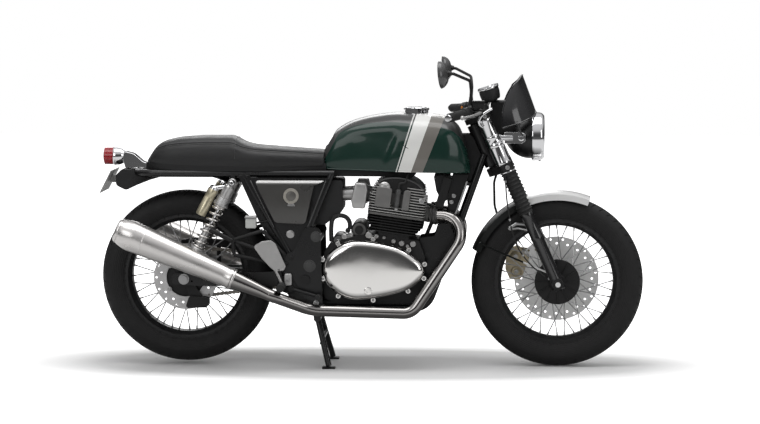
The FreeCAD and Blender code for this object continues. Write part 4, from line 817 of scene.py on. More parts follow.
def ring_of(name, unit, count, centre, axis, paint):
    """Copies a unit piece evenly round an axis through a centre, and takes the unit away."""
    centre = Vector(centre)
    axis = Vector(axis).normalized()
    unit.data.transform(Matrix.Translation(-centre))
    tree = bpy.data.node_groups.new(name + " copies", "GeometryNodeTree")
    tree.interface.new_socket("Geometry", in_out="OUTPUT", socket_type="NodeSocketGeometry")
    w = Wiring(tree, "GeometryNode")
    source = w.add("ObjectInfo", {"Object": unit})
    line = w.add("MeshLine", {"Count": count, "Offset": (0.0, 0.0, 0.0)})
    index = w.add("InputIndex").outputs[0]
    turn = w.calc("MULTIPLY", index, 2 * math.pi / count)
    spin = w.add("FunctionNodeAxisAngleToRotation", {"Axis": tuple(axis), "Angle": turn})
    copies = w.add("InstanceOnPoints", {"Points": line.outputs[0], "Instance": source.outputs["Geometry"],
        "Rotation": spin.outputs[0]})
    real = w.add("RealizeInstances", {"Geometry": copies.outputs[0]})
    moved = w.add("Transform", {"Geometry": real.outputs[0], "Translation": tuple(centre)})
    painted = w.add("SetMaterial", {"Geometry": moved.outputs[0], "Material": paint})
    out = tree.nodes.new("NodeGroupOutput")
    w.put(out.inputs[0], painted.outputs[0])
    holder = make_piece(name, [(0, 0, 0), (0.001, 0, 0), (0, 0.001, 0)], [(0, 1, 2)], paint)
    maker = holder.modifiers.new("copies", "NODES")
    maker.node_group = tree
    settle(holder)
    spare = unit.data
    bpy.data.objects.remove(unit)
    bpy.data.meshes.remove(spare)
    return holder


Y_AXIS = (0.0, 1.0, 0.0)
print("ring helper ready")

# %% [markdown]
# ## Tyres
# A road tyre's crown is an arc, its shoulders turn over into the sidewalls, and slanted grooves lead water
# out from the middle. The mesh is laid so that its columns follow the slant. A groove is then three columns
# set deeper, with sharp sides and no jagged edges, which a bump alone would not show against the light.

# %% Tyres
groove_depth = 0.0045
bead_seat_radius = 0.2405


def tyre(name, axle, outer, width, grooves, rubber):
    crown = arc_points((-0.4 * width, outer - 0.145 * width), (0.0, outer),
        (0.4 * width, outer - 0.145 * width), 20)
    flange = bead_seat_radius
    wall_top = (0.492 * width, outer - 0.3 * width)
    wall_mid = (0.5 * width, flange + 0.44 * (outer - flange))
    wall_low = (0.44 * width, flange + 0.01)
    bead = (0.37 * width, flange - 0.004)
    right = [bead, wall_low, wall_mid, wall_top]
    profile = [(-y, r) for y, r in right] + crown + list(reversed(right))
    fractions = (0.0, 0.015, 0.055, 0.1, 0.115, 0.4, 0.7)
    grooved = (1, 2, 3)
    columns = grooves * len(fractions)
    verts = []
    for y, radius in profile:
        side = abs(y) / width
        slant = min(side, 0.4) * 1.5 * (2 * math.pi / grooves) + (math.pi / grooves if y > 0 else 0.0)
        on_crown = 0.07 < side < 0.385
        for groove in range(grooves):
            for step, fraction in enumerate(fractions):
                turn = 2 * math.pi * (groove + fraction) / grooves + slant
                deep = groove_depth if on_crown and step in grooved else 0.0
                if 0.045 < side < 0.065:
                    deep = groove_depth * 0.7
                verts.append((axle.x + (radius - deep) * math.cos(turn), y,
                    axle.z + (radius - deep) * math.sin(turn)))
    last = (len(profile) - 1) * columns
    faces = ring_quads(len(profile), columns)
    faces += [(c, (c + 1) % columns, last + (c + 1) % columns, last + c) for c in range(columns)]
    return make_piece(name, verts, faces, rubber, sharp=28.0)


rear_rubber = tyre_rubber("rear tyre rubber", rear_axle.x, rear_axle.z, 0.326, 0.13)
front_rubber = tyre_rubber("front tyre rubber", front_axle.x, front_axle.z, 0.318, 0.1)
rear_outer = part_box("rear_tyre")[1][2] - rear_axle.z
front_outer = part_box("front_tyre")[1][2] - front_axle.z
rear_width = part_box("rear_tyre")[1][1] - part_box("rear_tyre")[0][1]
front_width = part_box("front_tyre")[1][1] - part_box("front_tyre")[0][1]
fit(tyre("rear tyre tread", rear_axle, rear_outer, rear_width, 54, rear_rubber), "rear_wheel", "tyre",
    "rear_tyre")
fit(tyre("front tyre tread", front_axle, front_outer, front_width, 58, front_rubber), "front_wheel", "tyre",
    "front_tyre")
print("tyre radii", round(rear_outer, 4), round(front_outer, 4), "widths", round(rear_width, 4),
    round(front_width, 4))

# %% [markdown]
# ## Wire wheels
# A spoked wheel is a rolled steel rim with a well in its middle, a turned hub with two flanges, and spokes
# that leave each flange forwards and backwards by turns so that they cross. Four spokes make a set, and ten
# sets go round. Each spoke ends in a nipple in the rim and a bent head on the flange.

# %% Rims, hubs and spokes
rim_bead, rim_flange, rim_inner = 0.229, 0.24, 0.211
spoke_set_count = 10
spoke_swing = 28.0
spoke_radius = 0.002
nipple_radius = 0.2135


def rim(name, axle, half, paint):
    """The rim's section, from one edge over the outside to the other, and back along the inside."""
    bead, flange, inner = rim_bead, rim_flange, rim_inner
    lip = flange - 0.0035
    section = [(-half, lip)]
    section += arc_points((-half, lip), (-half + 0.0022, flange), (-half + 0.0052, lip), 6)
    section += [(-half + 0.006, bead), (-half + 0.018, bead - 0.001), (-half + 0.022, inner + 0.005)]
    section += [(half - 0.022, inner + 0.005), (half - 0.018, bead - 0.001), (half - 0.006, bead)]
    section += arc_points((half - 0.0052, lip), (half - 0.0022, flange), (half, lip), 6)
    section += [(half - 0.0015, bead - 0.004), (half - 0.009, bead - 0.007), (half - 0.02, inner + 0.001)]
    section += arc_points((half - 0.022, inner), (0.0, inner - 0.002), (-half + 0.022, inner), 8)
    section += [(-half + 0.02, inner + 0.001), (-half + 0.009, bead - 0.007),
        (-half + 0.0015, bead - 0.004)]
    section.append(section[0])
    return lathe(name, section, axle, Y_AXIS, paint, steps=144, sharp=40.0)


def spoke_point(axle, radius, angle, y):
    return Vector((axle.x + radius * math.cos(angle), y, axle.z + radius * math.sin(angle)))


def spoke_sets(name, axle, flanges, paint):
    """Four spokes: from each flange one leaning forwards and one leaning back."""
    parts = []
    swing = math.radians(spoke_swing)
    step = 2 * math.pi / (4 * spoke_set_count)
    for order, (flange_y, flange_radius) in enumerate(flanges):
        for lean_way in SIDES:
            start_angle = (2 * order + (lean_way + 1) / 2) * step
            foot = spoke_point(axle, flange_radius, start_angle, flange_y)
            tip = spoke_point(axle, nipple_radius, start_angle + lean_way * swing, 0.2 * flange_y)
            out = (tip - foot).normalized()
            parts.append(tube("wire", [foot, tip], spoke_radius, paint, steps=8))
            parts.append(lathe("head", [(-0.001, 0), (-0.001, 0.0034), (0.003, 0.0034), (0.006, 0)], foot,
                out, paint, steps=8))
            nipple = [(0.0, 0.0), (0.0, 0.0028), (0.014, 0.0034), (0.018, 0.0)]
            parts.append(lathe("nipple", nipple, tip - out * 0.016, out, paint, steps=8))
    return ring_of(name, joined("set", parts), spoke_set_count, axle, Y_AXIS, paint)


rear_half = 0.045
front_half = 0.034
spoke_steel = finish("spoke steel", (0.32, 0.32, 0.322), 0.3, metallic=0.6, mottle=0.06, smear=0.06)
fit(rim("rear rim", rear_axle, rear_half, rim_steel), "rear_wheel", "steel", "rear_wire_wheel")
fit(rim("front rim", front_axle, front_half, rim_steel), "front_wheel", "steel", "front_wire_wheel")
fit(spoke_sets("rear spokes", rear_axle, [(-0.042, 0.057), (0.042, 0.057)], spoke_steel), "rear_wheel",
    "steel")
fit(spoke_sets("front spokes", front_axle, [(-0.0415, 0.08), (0.0375, 0.05)], spoke_steel), "front_wheel",
    "steel")

rear_hub_profile = [(-0.077, 0.0104), (-0.077, 0.074), (-0.074, 0.079), (-0.07, 0.079), (-0.066, 0.044),
    (-0.047, 0.04), (-0.046, 0.06), (-0.039, 0.06), (-0.036, 0.038), (0.0, 0.034), (0.036, 0.038),
    (0.039, 0.06), (0.046, 0.06), (0.046, 0.046), (0.07, 0.058), (0.084, 0.058), (0.084, 0.0104),
    (-0.077, 0.0104)]
front_hub_profile = [(-0.052, 0.0094), (-0.052, 0.028), (-0.05, 0.03), (-0.046, 0.034), (-0.045, 0.083),
    (-0.043, 0.085), (-0.038, 0.085), (-0.034, 0.034), (0.0, 0.03), (0.03, 0.034), (0.034, 0.052),
    (0.041, 0.052), (0.044, 0.04), (0.054, 0.044), (0.059, 0.06), (0.063, 0.06), (0.063, 0.0094),
    (-0.052, 0.0094)]
fit(lathe("rear hub shell", rear_hub_profile, at(rear_axle.x, rear_axle.z), Y_AXIS, black_coat, steps=72),
    "rear_wheel", "steel")
fit(lathe("front hub shell", front_hub_profile, at(front_axle.x, front_axle.z), Y_AXIS, black_coat,
    steps=72), "front_wheel", "steel")


def hub_ribs(name, axle, y, way, inner, outer, count, wheel):
    """Ribs that stiffen a hub's face."""
    unit = slab("rib", [(axle.x + inner, axle.z - 0.0022), (axle.x + outer, axle.z - 0.0022),
        (axle.x + outer, axle.z + 0.0022), (axle.x + inner, axle.z + 0.0022)], min(y, y + way * 0.006),
        max(y, y + way * 0.006), black_coat, bevel=0.0008)
    fit(ring_of(name, unit, count, axle, Y_AXIS, black_coat), wheel, "steel")


def bolt(name, centre, axis, across, height, paint, sides=6, washer=1.35):
    """A hexagon head on a round washer."""
    head = lathe(name, [(height * 0.2, 0), (height * 0.2, across / 2), (height * 0.9, across / 2),
        (height, across * 0.42), (height, 0)], centre, axis, paint, steps=sides, sharp=20.0)
    seat = lathe(name + " washer", [(-0.0004, 0), (-0.0004, across / 2 * washer),
        (height * 0.2, across / 2 * washer), (height * 0.24, across / 2 * (washer - 0.1)),
        (height * 0.24, 0)], centre, axis, paint, steps=24)
    return joined(name, [head, seat])


def bolt_ring(name, axle, radius, y, way, count, across, wheel):
    spot = spoke_point(axle, radius, 0.0, y)
    unit = bolt("bolt", spot, (0, way, 0), across, across * 0.45, zinc)
    fit(ring_of(name, unit, count, axle, Y_AXIS, zinc), wheel, "steel")


hub_ribs("front hub ribs", front_axle, -0.0452, -1, 0.036, 0.08, 12, "front_wheel")
bolt_ring("front disc bolts", front_axle, 0.05, 0.0682, 1, 5, 0.01, "front_wheel")
bolt_ring("rear disc bolts", rear_axle, 0.074, -0.0822, -1, 5, 0.012, "rear_wheel")
bolt_ring("rear sprocket bolts", rear_axle, 0.062, 0.0925, 1, 6, 0.014, "rear_wheel")
print("wheels done")

# %% [markdown]
# ## Fuel tank
# A long tank is pressed in two halves and welded along its spine. Its sections go from a narrow rounded
# nose to a wide shoulder, and it narrows again where the knees go. Sections given at eleven places along
# the machine are joined by smooth curves both ways, and the knee recess is pressed in behind a soft crease.

# %% Smooth curves through given points


def cubic(t, gap, start, start_slope, end, end_slope):
    """The cubic with given values and slopes at both ends of a gap, at a share t of it."""
    a = 2 * t ** 3 - 3 * t ** 2 + 1
    b = t ** 3 - 2 * t ** 2 + t
    c = -2 * t ** 3 + 3 * t ** 2
    d = t ** 3 - t ** 2
    return a * start + b * gap * start_slope + c * end + d * gap * end_slope


def smooth(values, places, at_place):
    """A smooth curve through values given at rising places."""
    if at_place <= places[0]:
        return values[0]
    if at_place >= places[-1]:
        return values[-1]
    k = max(i for i in range(len(places)) if places[i] <= at_place)
    k = min(k, len(places) - 2)

    def slope(i):
        if i == 0:
            return (values[1] - values[0]) / (places[1] - places[0])
        if i == len(places) - 1:
            return (values[-1] - values[-2]) / (places[-1] - places[-2])
        before = (values[i] - values[i - 1]) / (places[i] - places[i - 1])
        after = (values[i + 1] - values[i]) / (places[i + 1] - places[i])
        if before * after <= 0:
            return 0.0
        return 2 * before * after / (before + after)

    gap = places[k + 1] - places[k]
    return cubic((at_place - places[k]) / gap, gap, values[k], slope(k), values[k + 1], slope(k + 1))


def section_at(stations, x):
    """The values that rows of stations give at a place. Each row starts with its own place."""
    places = [row[0] for row in stations]
    return [smooth([row[i] for row in stations], places, x) for i in range(1, len(stations[0]))]


def through(points, steps):
    """A smooth open curve through 2-D points, as evenly numbered points."""
    lengths = [0.0]
    for p, q in zip(points, points[1:]):
        lengths.append(lengths[-1] + math.hypot(q[0] - p[0], q[1] - p[1]))
    result = []
    for index in range(steps + 1):
        place = lengths[-1] * index / steps
        result.append(tuple(catmull(points, lengths, place, axis) for axis in (0, 1)))
    return result


def catmull(points, lengths, place, axis):
    k = max(i for i in range(len(lengths) - 1) if lengths[i] <= place + 1e-12)
    gap = lengths[k + 1] - lengths[k]

    def slope(i):
        low, high = max(0, i - 1), min(len(points) - 1, i + 1)
        return (points[high][axis] - points[low][axis]) / (lengths[high] - lengths[low])

    t = (place - lengths[k]) / gap
    return cubic(t, gap, points[k][axis], slope(k), points[k + 1][axis], slope(k + 1))


def skin(name, rings, paint, sharp=50.0):
    """Joins rings of points into a closed skin with flat ends."""
    count = len(rings[0])
    verts = [p for ring in rings for p in ring]
    ends = [tuple(range(count)), tuple(range(len(verts) - count, len(verts)))]
    return make_piece(name, verts, ring_quads(len(rings), count) + ends, paint, sharp)


print("curve helpers ready")


# %% Tank skin
tank_stations = ((-0.164, 0.748, 0.836, 0.084, 0.014, 0.95), (-0.146, 0.747, 0.866, 0.091, 0.017, 0.95),
    (-0.128, 0.746, 0.893, 0.096, 0.02, 0.95), (-0.06, 0.745, 0.93, 0.108, 0.024, 0.95),
    (0.02, 0.743, 0.949, 0.118, 0.026, 0.95), (0.1, 0.741, 0.958, 0.132, 0.028, 0.93),
    (0.19, 0.739, 0.956, 0.142, 0.03, 0.92), (0.27, 0.738, 0.947, 0.14, 0.032, 0.92),
    (0.325, 0.737, 0.912, 0.122, 0.03, 0.94), (0.358, 0.736, 0.834, 0.096, 0.022, 0.97),
    (0.372, 0.736, 0.768, 0.078, 0.01, 1.0),)
tank_x = [row[0] for row in tank_stations]


def soft_step(value, low, high):
    t = min(1.0, max(0.0, (value - low) / (high - low)))
    return t * t * (3 - 2 * t)


def knee_press(x, z):
    """How far the side is pressed in for the knees: behind one crease and below the shoulder."""
    crease_x = 0.068 + (z - 0.767) * 0.406
    behind = 1.0 - soft_step(x, crease_x - 0.03, crease_x + 0.004)
    tail = soft_step(x, -0.15, -0.04)
    under = 1.0 - soft_step(z, 0.862, 0.912)
    return 0.008 * behind * tail * under


def tank_ring(x, steps=22):
    low, high, half, crown, pinch = section_at(tank_stations, x)
    height = high - low
    outline = [(half * pinch, low), (half * 1.005, low + 0.2 * height), (half, low + 0.45 * height),
        (half * 0.975, low + 0.64 * height), (half * 0.86, low + 0.82 * height),
        (half * 0.5, high - 0.3 * crown), (0.0, high)]
    right = [(y - knee_press(x, z), z) for y, z in through(outline, steps)]
    ring = [Vector((x, y, z)) for y, z in right]
    return ring + [Vector((x, -y, z)) for y, z in reversed(right[:-1])]


tank_rings = []
tank_steps = 84
for index in range(tank_steps + 1):
    t = index / tank_steps
    eased = 0.5 - 0.5 * math.cos(math.pi * t) * (0.55 + 0.45 * abs(math.cos(math.pi * t)))
    tank_rings.append(tank_ring(tank_x[0] + (tank_x[-1] - tank_x[0]) * eased))
tank_end = [Vector((tank_x[0] - 0.007, p.y * 0.9, 0.748 + (p.z - 0.748) * 0.93)) for p in tank_rings[0]]
tank_skin = skin("tank skin", [tank_end] + tank_rings, tank_paint, sharp=60.0)
edge = tank_skin.modifiers.new("rolled edge", "BEVEL")
edge.width = 0.004
edge.segments = 3
edge.limit_method = "ANGLE"
edge.angle_limit = math.radians(55)
settle(tank_skin)
tank_skin.data.set_sharp_from_angle(angle=math.radians(60))
fit(tank_skin, "chassis", "tank_paint", "fuel_tank")
seam_path = [ring[0] + Vector((0, 0.0005, 0.002)) for ring in tank_rings[2:-1:3]]
seam = tube("tank seam left", seam_path, 0.0022, tank_paint, steps=10)
fit(joined("tank seams", [mirrored(seam, "seam"), seam]), "chassis", "tank_paint")
print("tank faces", len(tank_skin.data.polygons))

# %% [markdown]
# ## Badges, filler ring and lid
# The tank and the side panels each carry one plain round badge: a black ring round a silver face, with
# nothing on it. The filler is a ring with a screwed flange, and the lid has a dished top, a bevelled rim
# and a lock cover.

# %% Badges and lid
badge_black = finish("badge enamel", (0.012, 0.012, 0.013), 0.22, Coat_Weight=0.6)
badge_silver = finish("badge silver", (0.5, 0.5, 0.5), 0.24, metallic=1.0, mottle=0.03, smear=0.03)
badge_dark = finish("badge recess", (0.16, 0.155, 0.145), 0.34, metallic=0.7, mottle=0.05)


def badge(name, x, z, y, tilt_in, radius, ring_paint, face_paint):
    """A plain domed disc with a raised rim, facing sideways and a little up."""
    face = Vector((0.02, y / abs(y), tilt_in)).normalized()
    centre = at(x, z, y)
    rim_profile = [(-0.006, 0), (-0.006, radius), (0.0018, radius), (0.003, radius - 0.0008),
        (0.003, radius * 0.92), (0.0022, radius * 0.9), (0.0022, radius * 0.72), (0.003, radius * 0.7),
        (0.003, radius * 0.66), (0.0018, radius * 0.65), (0.0018, 0)]
    plate_profile = [(0.0005, 0), (0.0005, radius * 0.66), (0.0022, radius * 0.64), (0.0036, radius * 0.35),
        (0.0042, 0)]
    ring = lathe(name + " ring", rim_profile, centre, face, ring_paint)
    disc = lathe(name + " face", plate_profile, centre, face, face_paint)
    return joined(name, [ring, disc])


right_badge = badge("tank badge right", 0.15, 0.857, -0.1275, 0.3, 0.031, badge_black, badge_silver)
left_badge = mirrored(right_badge, "tank badge left")
fit(joined("tank badges", [right_badge, left_badge]), "chassis", "chrome")

cap_centre = Vector((0.168, 0.0, 0.952))
base_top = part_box("filler_ring")[1][2]
lid_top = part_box("fuel_cap")[1][2]
lid_high = lid_top - cap_centre.z
lid_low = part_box("fuel_cap")[0][2] - cap_centre.z
lid_profile = [(lid_low + 0.0002, 0), (lid_low + 0.0002, 0.0365), (lid_low + 0.0022, 0.038),
    (lid_high - 0.003, 0.038), (lid_high - 0.0008, 0.0362), (lid_high, 0.0335), (lid_high, 0.03),
    (lid_high - 0.0022, 0.0275), (lid_high - 0.003, 0.012), (lid_high - 0.0018, 0.011),
    (lid_high - 0.0005, 0.0095), (lid_high - 0.0005, 0)]
lid = lathe("lid disc", lid_profile, cap_centre, (0, 0, 1), chrome, steps=72)
lock = slab("lock cover", round_outline([(0.158, 0.0), (0.178, 0.0), (0.178, 0.004), (0.158, 0.004)],
    0.0015), -0.005, 0.005, black_coat, bevel=0.0008)
lock.data.transform(Matrix.Translation((0.0, 0.0, cap_centre.z + lid_high - 0.004)))
fit(joined("filler lid", [lid, lock]), "fuel_cap", "chrome")


def cap_screw(angle, radius):
    spot = cap_centre + Vector((radius * math.cos(angle), radius * math.sin(angle),
        base_top - cap_centre.z))
    return bolt("screw", spot, (0, 0, 1), 0.0055, 0.0022, zinc, sides=12, washer=1.1)


fit(ring_of("filler ring screws", cap_screw(0.4, 0.0398), 6, cap_centre, (0, 0, 1), zinc), "chassis",
    "steel")
print("lid top", round(lid_top, 4), "ring top", round(base_top, 4))

# %% [markdown]
# ## Exhaust
# Each header pipe leaves the head on a ribbed clamp, bends down in front of the engine and runs back under
# it. The cone and the long silencer are rolled and welded: the shell swells slowly, then turns in at its
# tail to a deep outlet. Headers are plated, silencers are brushed.

# %% Exhaust pipes and silencers
pipe_route = [at(0.224, 0.577, -0.068), at(0.399, 0.577, -0.118), at(0.158, 0.217, -0.165),
    at(-0.215, 0.226, -0.165)]
joint = at(-0.509, 0.349, -0.212)
tail_end = at(-0.937, 0.53, -0.212)
silencer_along = (tail_end - joint).normalized()
silencer_length = (tail_end - joint).length
cone_start = joint - silencer_along * 0.18


clamp_metal = finish("port clamp", (0.075, 0.073, 0.072), 0.36, metallic=0.6, mottle=0.15, mottle_size=0.02)


def header(side):
    points = [Vector((p.x, p.y * -side, p.z)) for p in pipe_route]
    start = Vector((cone_start.x, cone_start.y * -side, cone_start.z))
    ahead = start + silencer_along * 0.06
    path = bend(points + [start, ahead], [0.078, 0.06, 0.15, 0.15], steps=18)
    pipe = tube("pipe", path, 0.022, pipe_chrome, steps=36)
    cone = [(0.0, 0.0222), (0.004, 0.0232), (0.03, 0.0235), (0.034, 0.0225), (0.06, 0.025), (0.172, 0.0362),
        (0.18, 0.037), (0.18, 0.03)]
    funnel = lathe("cone", cone, start, silencer_along, pipe_chrome, steps=48)
    out = (points[1] - points[0]).normalized()
    clamp = [(0.004, 0.022), (0.004, 0.036), (0.008, 0.0375), (0.012, 0.036), (0.0125, 0.031),
        (0.017, 0.031), (0.0175, 0.036), (0.0215, 0.0375), (0.0255, 0.036), (0.026, 0.03), (0.03, 0.026),
        (0.03, 0.022)]
    flange = lathe("clamp", clamp, points[0], out, clamp_metal, steps=48)
    return joined("header " + SIDE_NAMES[side], [pipe, funnel, flange])


def silencer(side):
    start = Vector((joint.x, joint.y * -side, joint.z))
    length = silencer_length
    shell = [(0.0, 0.0375), (0.0015, 0.0392), (0.01, 0.0392), (0.012, 0.0382)]
    swell = [(0.012 + (0.386 - 0.012) * i / 16, 0.0382 + (0.0575 - 0.0382) * i / 16) for i in range(1, 16)]
    turn_in = arc_points((0.386, 0.0574), (0.424, 0.0545), (length - 0.014, 0.0455), 12)
    mouth = arc_points((length - 0.012, 0.0448), (length - 0.003, 0.041), (length, 0.0345), 6)
    inside = [(length - 0.001, 0.03), (length - 0.004, 0.0262), (length - 0.012, 0.024),
        (length - 0.07, 0.024), (length - 0.07, 0.0)]
    body = lathe("shell", shell + swell + turn_in + mouth + inside, start, silencer_along, brushed_steel,
        steps=80, sharp=40.0)
    baffle = lathe("baffle", [(length - 0.068, 0.0), (length - 0.068, 0.0238)], start, silencer_along,
        black_coat, steps=40)
    band = lathe("band", [(0.352, 0.0552), (0.352, 0.0562), (0.353, 0.0566), (0.356, 0.0567),
        (0.357, 0.0563), (0.357, 0.0552)], start, silencer_along, brushed_steel)
    weld_profile = [(-0.0155, 0.044), (-0.0148, 0.0468), (-0.0132, 0.0472), (-0.0118, 0.0464),
        (-0.0112, 0.044)]
    weld_ring = lathe("weld", weld_profile, start + silencer_along * length, silencer_along, brushed_steel)
    collar = lathe("collar", [(-0.01, 0.036), (-0.01, 0.0388), (-0.008, 0.04), (-0.004, 0.0404),
        (-0.002, 0.0398), (-0.002, 0.036)], start, silencer_along, brushed_steel)
    return joined("silencer " + SIDE_NAMES[side], [body, baffle, band, weld_ring, collar])


for side in SIDES:
    fit(header(side), "chassis", "chrome", *only(side, -1, "exhaust_pipes"))
    fit(silencer(side), "chassis", "stainless", *only(side, -1, "silencers"))
print("silencer length", round(silencer_length, 3))

# %% [markdown]
# ## Headlamp
# A spun steel bucket holds a parabolic reflector, and a chrome rim clips the glass over it. The glass is
# moulded with upright flutes. Everything is turned about one fore-and-aft axis, and the reflector is a true
# bowl behind real glass, so it catches the room as a lamp does.

# %% Headlamp
X_AXIS = (1.0, 0.0, 0.0)
lamp_centre = at(0.603, 0.867)
bucket_profile = [(-0.098, 0.0), (-0.098, 0.02)]
bucket_profile += arc_points((-0.098, 0.02), (-0.06, 0.066), (0.0, 0.082), 16)
bucket_profile += [(0.004, 0.0835), (0.006, 0.088), (0.002, 0.088), (0.002, 0.0), (-0.098, 0.0)]
fit(lathe("headlamp bucket", bucket_profile, lamp_centre, X_AXIS, frame_enamel, steps=96), "steering",
    "black_casting", "headlamp")
ring_profile = [(0.0, 0.0835), (0.0, 0.0905), (0.002, 0.0912), (0.01, 0.0912), (0.014, 0.0905),
    (0.024, 0.0905)]
ring_profile += arc_points((0.026, 0.09), (0.039, 0.0855), (0.0455, 0.0765), 10)
ring_profile += [(0.0445, 0.0735), (0.038, 0.0722), (0.034, 0.0735), (0.004, 0.083), (0.0, 0.0835)]
fit(lathe("headlamp rim", ring_profile, lamp_centre, X_AXIS, chrome, steps=96), "steering", "chrome")
bowl = [(0.0375 - 0.052 * (1 - (r / 0.072) ** 2), r) for r in (0.072, 0.066, 0.058, 0.05, 0.042, 0.034,
    0.026, 0.018)]
bowl += [(bowl[-1][0] - 0.004, 0.016), (bowl[-1][0] - 0.006, 0.0)]
reflector = lathe("reflector", bowl, lamp_centre, X_AXIS, mirror_glass, steps=72)
bulb = lathe("bulb", [(-0.016, 0.0075), (0.008, 0.0075), (0.014, 0.006), (0.018, 0.0)], lamp_centre, X_AXIS,
    reservoir_white, steps=24)
fit(joined("headlamp reflector", [reflector, bulb]), "steering", "chrome")
glass_front = arc_points((0.0385, 0.0718), (0.0445, 0.042), (0.047, 0.004), 14)
glass_back = [(x - 0.0022, r * 0.99) for x, r in reversed(glass_front)]
lens = lathe("headlamp glass",
    [(0.0472, 0.0)] + list(reversed(glass_front)) + list(reversed(glass_back)) + [(0.0448, 0.0)],
    lamp_centre, X_AXIS, lamp_glass, steps=96)
fit(lens, "steering", "lamp_glass", "headlamp_lens")
flutes = Wiring(lamp_glass.node_tree)
lens_y = place_nodes(flutes)[2]
ripple = flutes.calc("SINE", flutes.calc("MULTIPLY", lens_y, 2 * math.pi / 0.0085))
flute_bump = flutes.add("Bump", {"Height": ripple, "Strength": 0.35, "Distance": 0.0012})
flutes.put(shader_of(lamp_glass).inputs["Normal"], flute_bump.outputs[0])
rim_screw = bolt("rim screw", lamp_centre + Vector((0.03, 0.0, -0.0905)), (0, 0, -1), 0.007, 0.003, zinc,
    sides=16)
fit(rim_screw, "steering", "steel")
print("headlamp done")

# %% [markdown]
# ## Screen edge
# The dark screen is moulded with a bead along its rim, which catches a thin line of light. The bead follows
# the same few points that shape the screen.

# %% Screen edge
screen_rows = (((0.492, 0.128, 0.906), (0.56, 0.112, 0.926), (0.604, 0.066, 0.946), (0.618, 0.0, 0.96)),
    ((0.53, 0.074, 1.06), (0.55, 0.06, 1.078), (0.562, 0.034, 1.094), (0.566, 0.0, 1.1)),)
screen_side = ((0.492, 0.128, 0.906), (0.494, 0.112, 0.978), (0.53, 0.074, 1.06))


def curve_3d(points, steps):
    """A smooth curve through points in space."""
    points = [Vector(p) for p in points]
    lengths = [0.0]
    for p, q in zip(points, points[1:]):
        lengths.append(lengths[-1] + (q - p).length)
    places = [lengths[-1] * i / steps for i in range(steps + 1)]
    return [Vector([catmull(points, lengths, place, axis) for axis in range(3)]) for place in places]


trim_parts = []
for row in screen_rows:
    both = list(row) + [(x, -y, z) for x, y, z in reversed(row[:-1])]
    trim_parts.append(tube("trim", curve_3d(both, 48), 0.0026, smoked, steps=10))
for side in SIDES:
    trim_parts.append(tube("trim", curve_3d([(x, y * side, z) for x, y, z in screen_side], 24), 0.0026,
        smoked, steps=10))
fit(joined("screen bead", trim_parts), "steering", "smoked_screen")
print("lamp and screen done")

# %% [markdown]
# ## Instruments
# Two round instruments sit side by side and lean back to the rider. Each is a black cup with a bright
# bezel, a dial with plain marks and no figures, a needle, and a clear glass. The marks are one small bar
# copied round the dial.

# %% Instruments
dial_tilt = Vector((-0.3, 0.0, 0.954)).normalized()
mark_white = finish("dial marks", (0.62, 0.62, 0.6), 0.5)
clear_cover = finish("clear cover", (0.92, 0.93, 0.93), 0.03, mottle=0.01, smear=0.01,
    Transmission_Weight=1.0, IOR=1.2)


def instrument(side):
    foot = at(0.452, 1.004, 0.046 * side)
    across_dial, up_dial = square_to(dial_tilt)
    name = SIDE_NAMES[side]
    cup_profile = [(0.0, 0.0), (0.0, 0.028), (0.004, 0.0335)]
    cup_profile += arc_points((0.004, 0.0335), (0.014, 0.0362), (0.04, 0.037), 6)
    cup_profile += [(0.044, 0.037), (0.044, 0.0392), (0.0465, 0.0392), (0.0465, 0.0)]
    cup = lathe("cup", cup_profile, foot, dial_tilt, matt_black, steps=72)
    bezel_profile = [(0.044, 0.0392), (0.0455, 0.04), (0.05, 0.04), (0.052, 0.0388), (0.052, 0.0364),
        (0.0495, 0.0356), (0.0468, 0.0352)]
    bezel = lathe("bezel", bezel_profile, foot, dial_tilt, chrome, steps=72)
    face = lathe("face", [(0.0474, 0.0356), (0.0476, 0.03), (0.0474, 0.0)], foot, dial_tilt, dial_face)
    spot = foot + dial_tilt * 0.0478
    bar = make_piece("mark", [spot + across_dial * r + up_dial * w for r, w in ((0.0262, -0.0005),
        (0.033, -0.0005), (0.033, 0.0005), (0.0262, 0.0005))], [(0, 1, 2, 3)], mark_white)
    marks = ring_of("marks", bar, 24, foot, dial_tilt, mark_white)
    point = tube("needle", [spot + dial_tilt * 0.001 - across_dial * 0.006,
        spot + dial_tilt * 0.001 + (across_dial + up_dial * 0.9).normalized() * 0.027], 0.0008, red_lens,
        steps=8)
    boss = lathe("boss", [(0.0476, 0.0045), (0.05, 0.004), (0.0504, 0.0)], foot, dial_tilt, matt_black,
        steps=24)
    fit(joined("instrument " + name, [cup, bezel, face, marks, point, boss]), "steering", "matt_plastic",
        *only(side, 1, "instruments"))
    glass = lathe("instrument glass " + name, [(0.0502, 0.0358), (0.0508, 0.03), (0.0512, 0.0)], foot,
        dial_tilt, clear_cover, steps=48)
    wall = glass.modifiers.new("wall", "SOLIDIFY")
    wall.thickness = 0.001
    settle(glass)
    fit(glass, "steering", "lamp_glass")


for side in SIDES:
    instrument(side)
plate_outline = round_outline([(0.42, 1.0), (0.47, 1.016), (0.474, 1.008), (0.424, 0.992)], 0.002)
bracket_plate = slab("instrument plate", plate_outline, -0.06, 0.06, frame_enamel, bevel=0.001)
posts = [tube("post", [fork_point(0.688, 0.038, 0.03 * side), at(0.445, 1.006, 0.04 * side)], 0.0065,
    zinc) for side in SIDES]
fit(joined("instrument bracket", [bracket_plate] + posts), "steering", "black_casting")
print("instruments done")

# %% [markdown]
# ## Clip-on bars
# Each bar clamps round its fork tube under the cap. It carries a ribbed rubber grip with a flange, a chrome
# bar end, a split switch housing, and a lever on a perch. The right one has the front brake's reservoir. A
# lever is a flat tapered blade that ends in a ball, so it is swept with a squashed circle.

# %% Bars, grips and levers


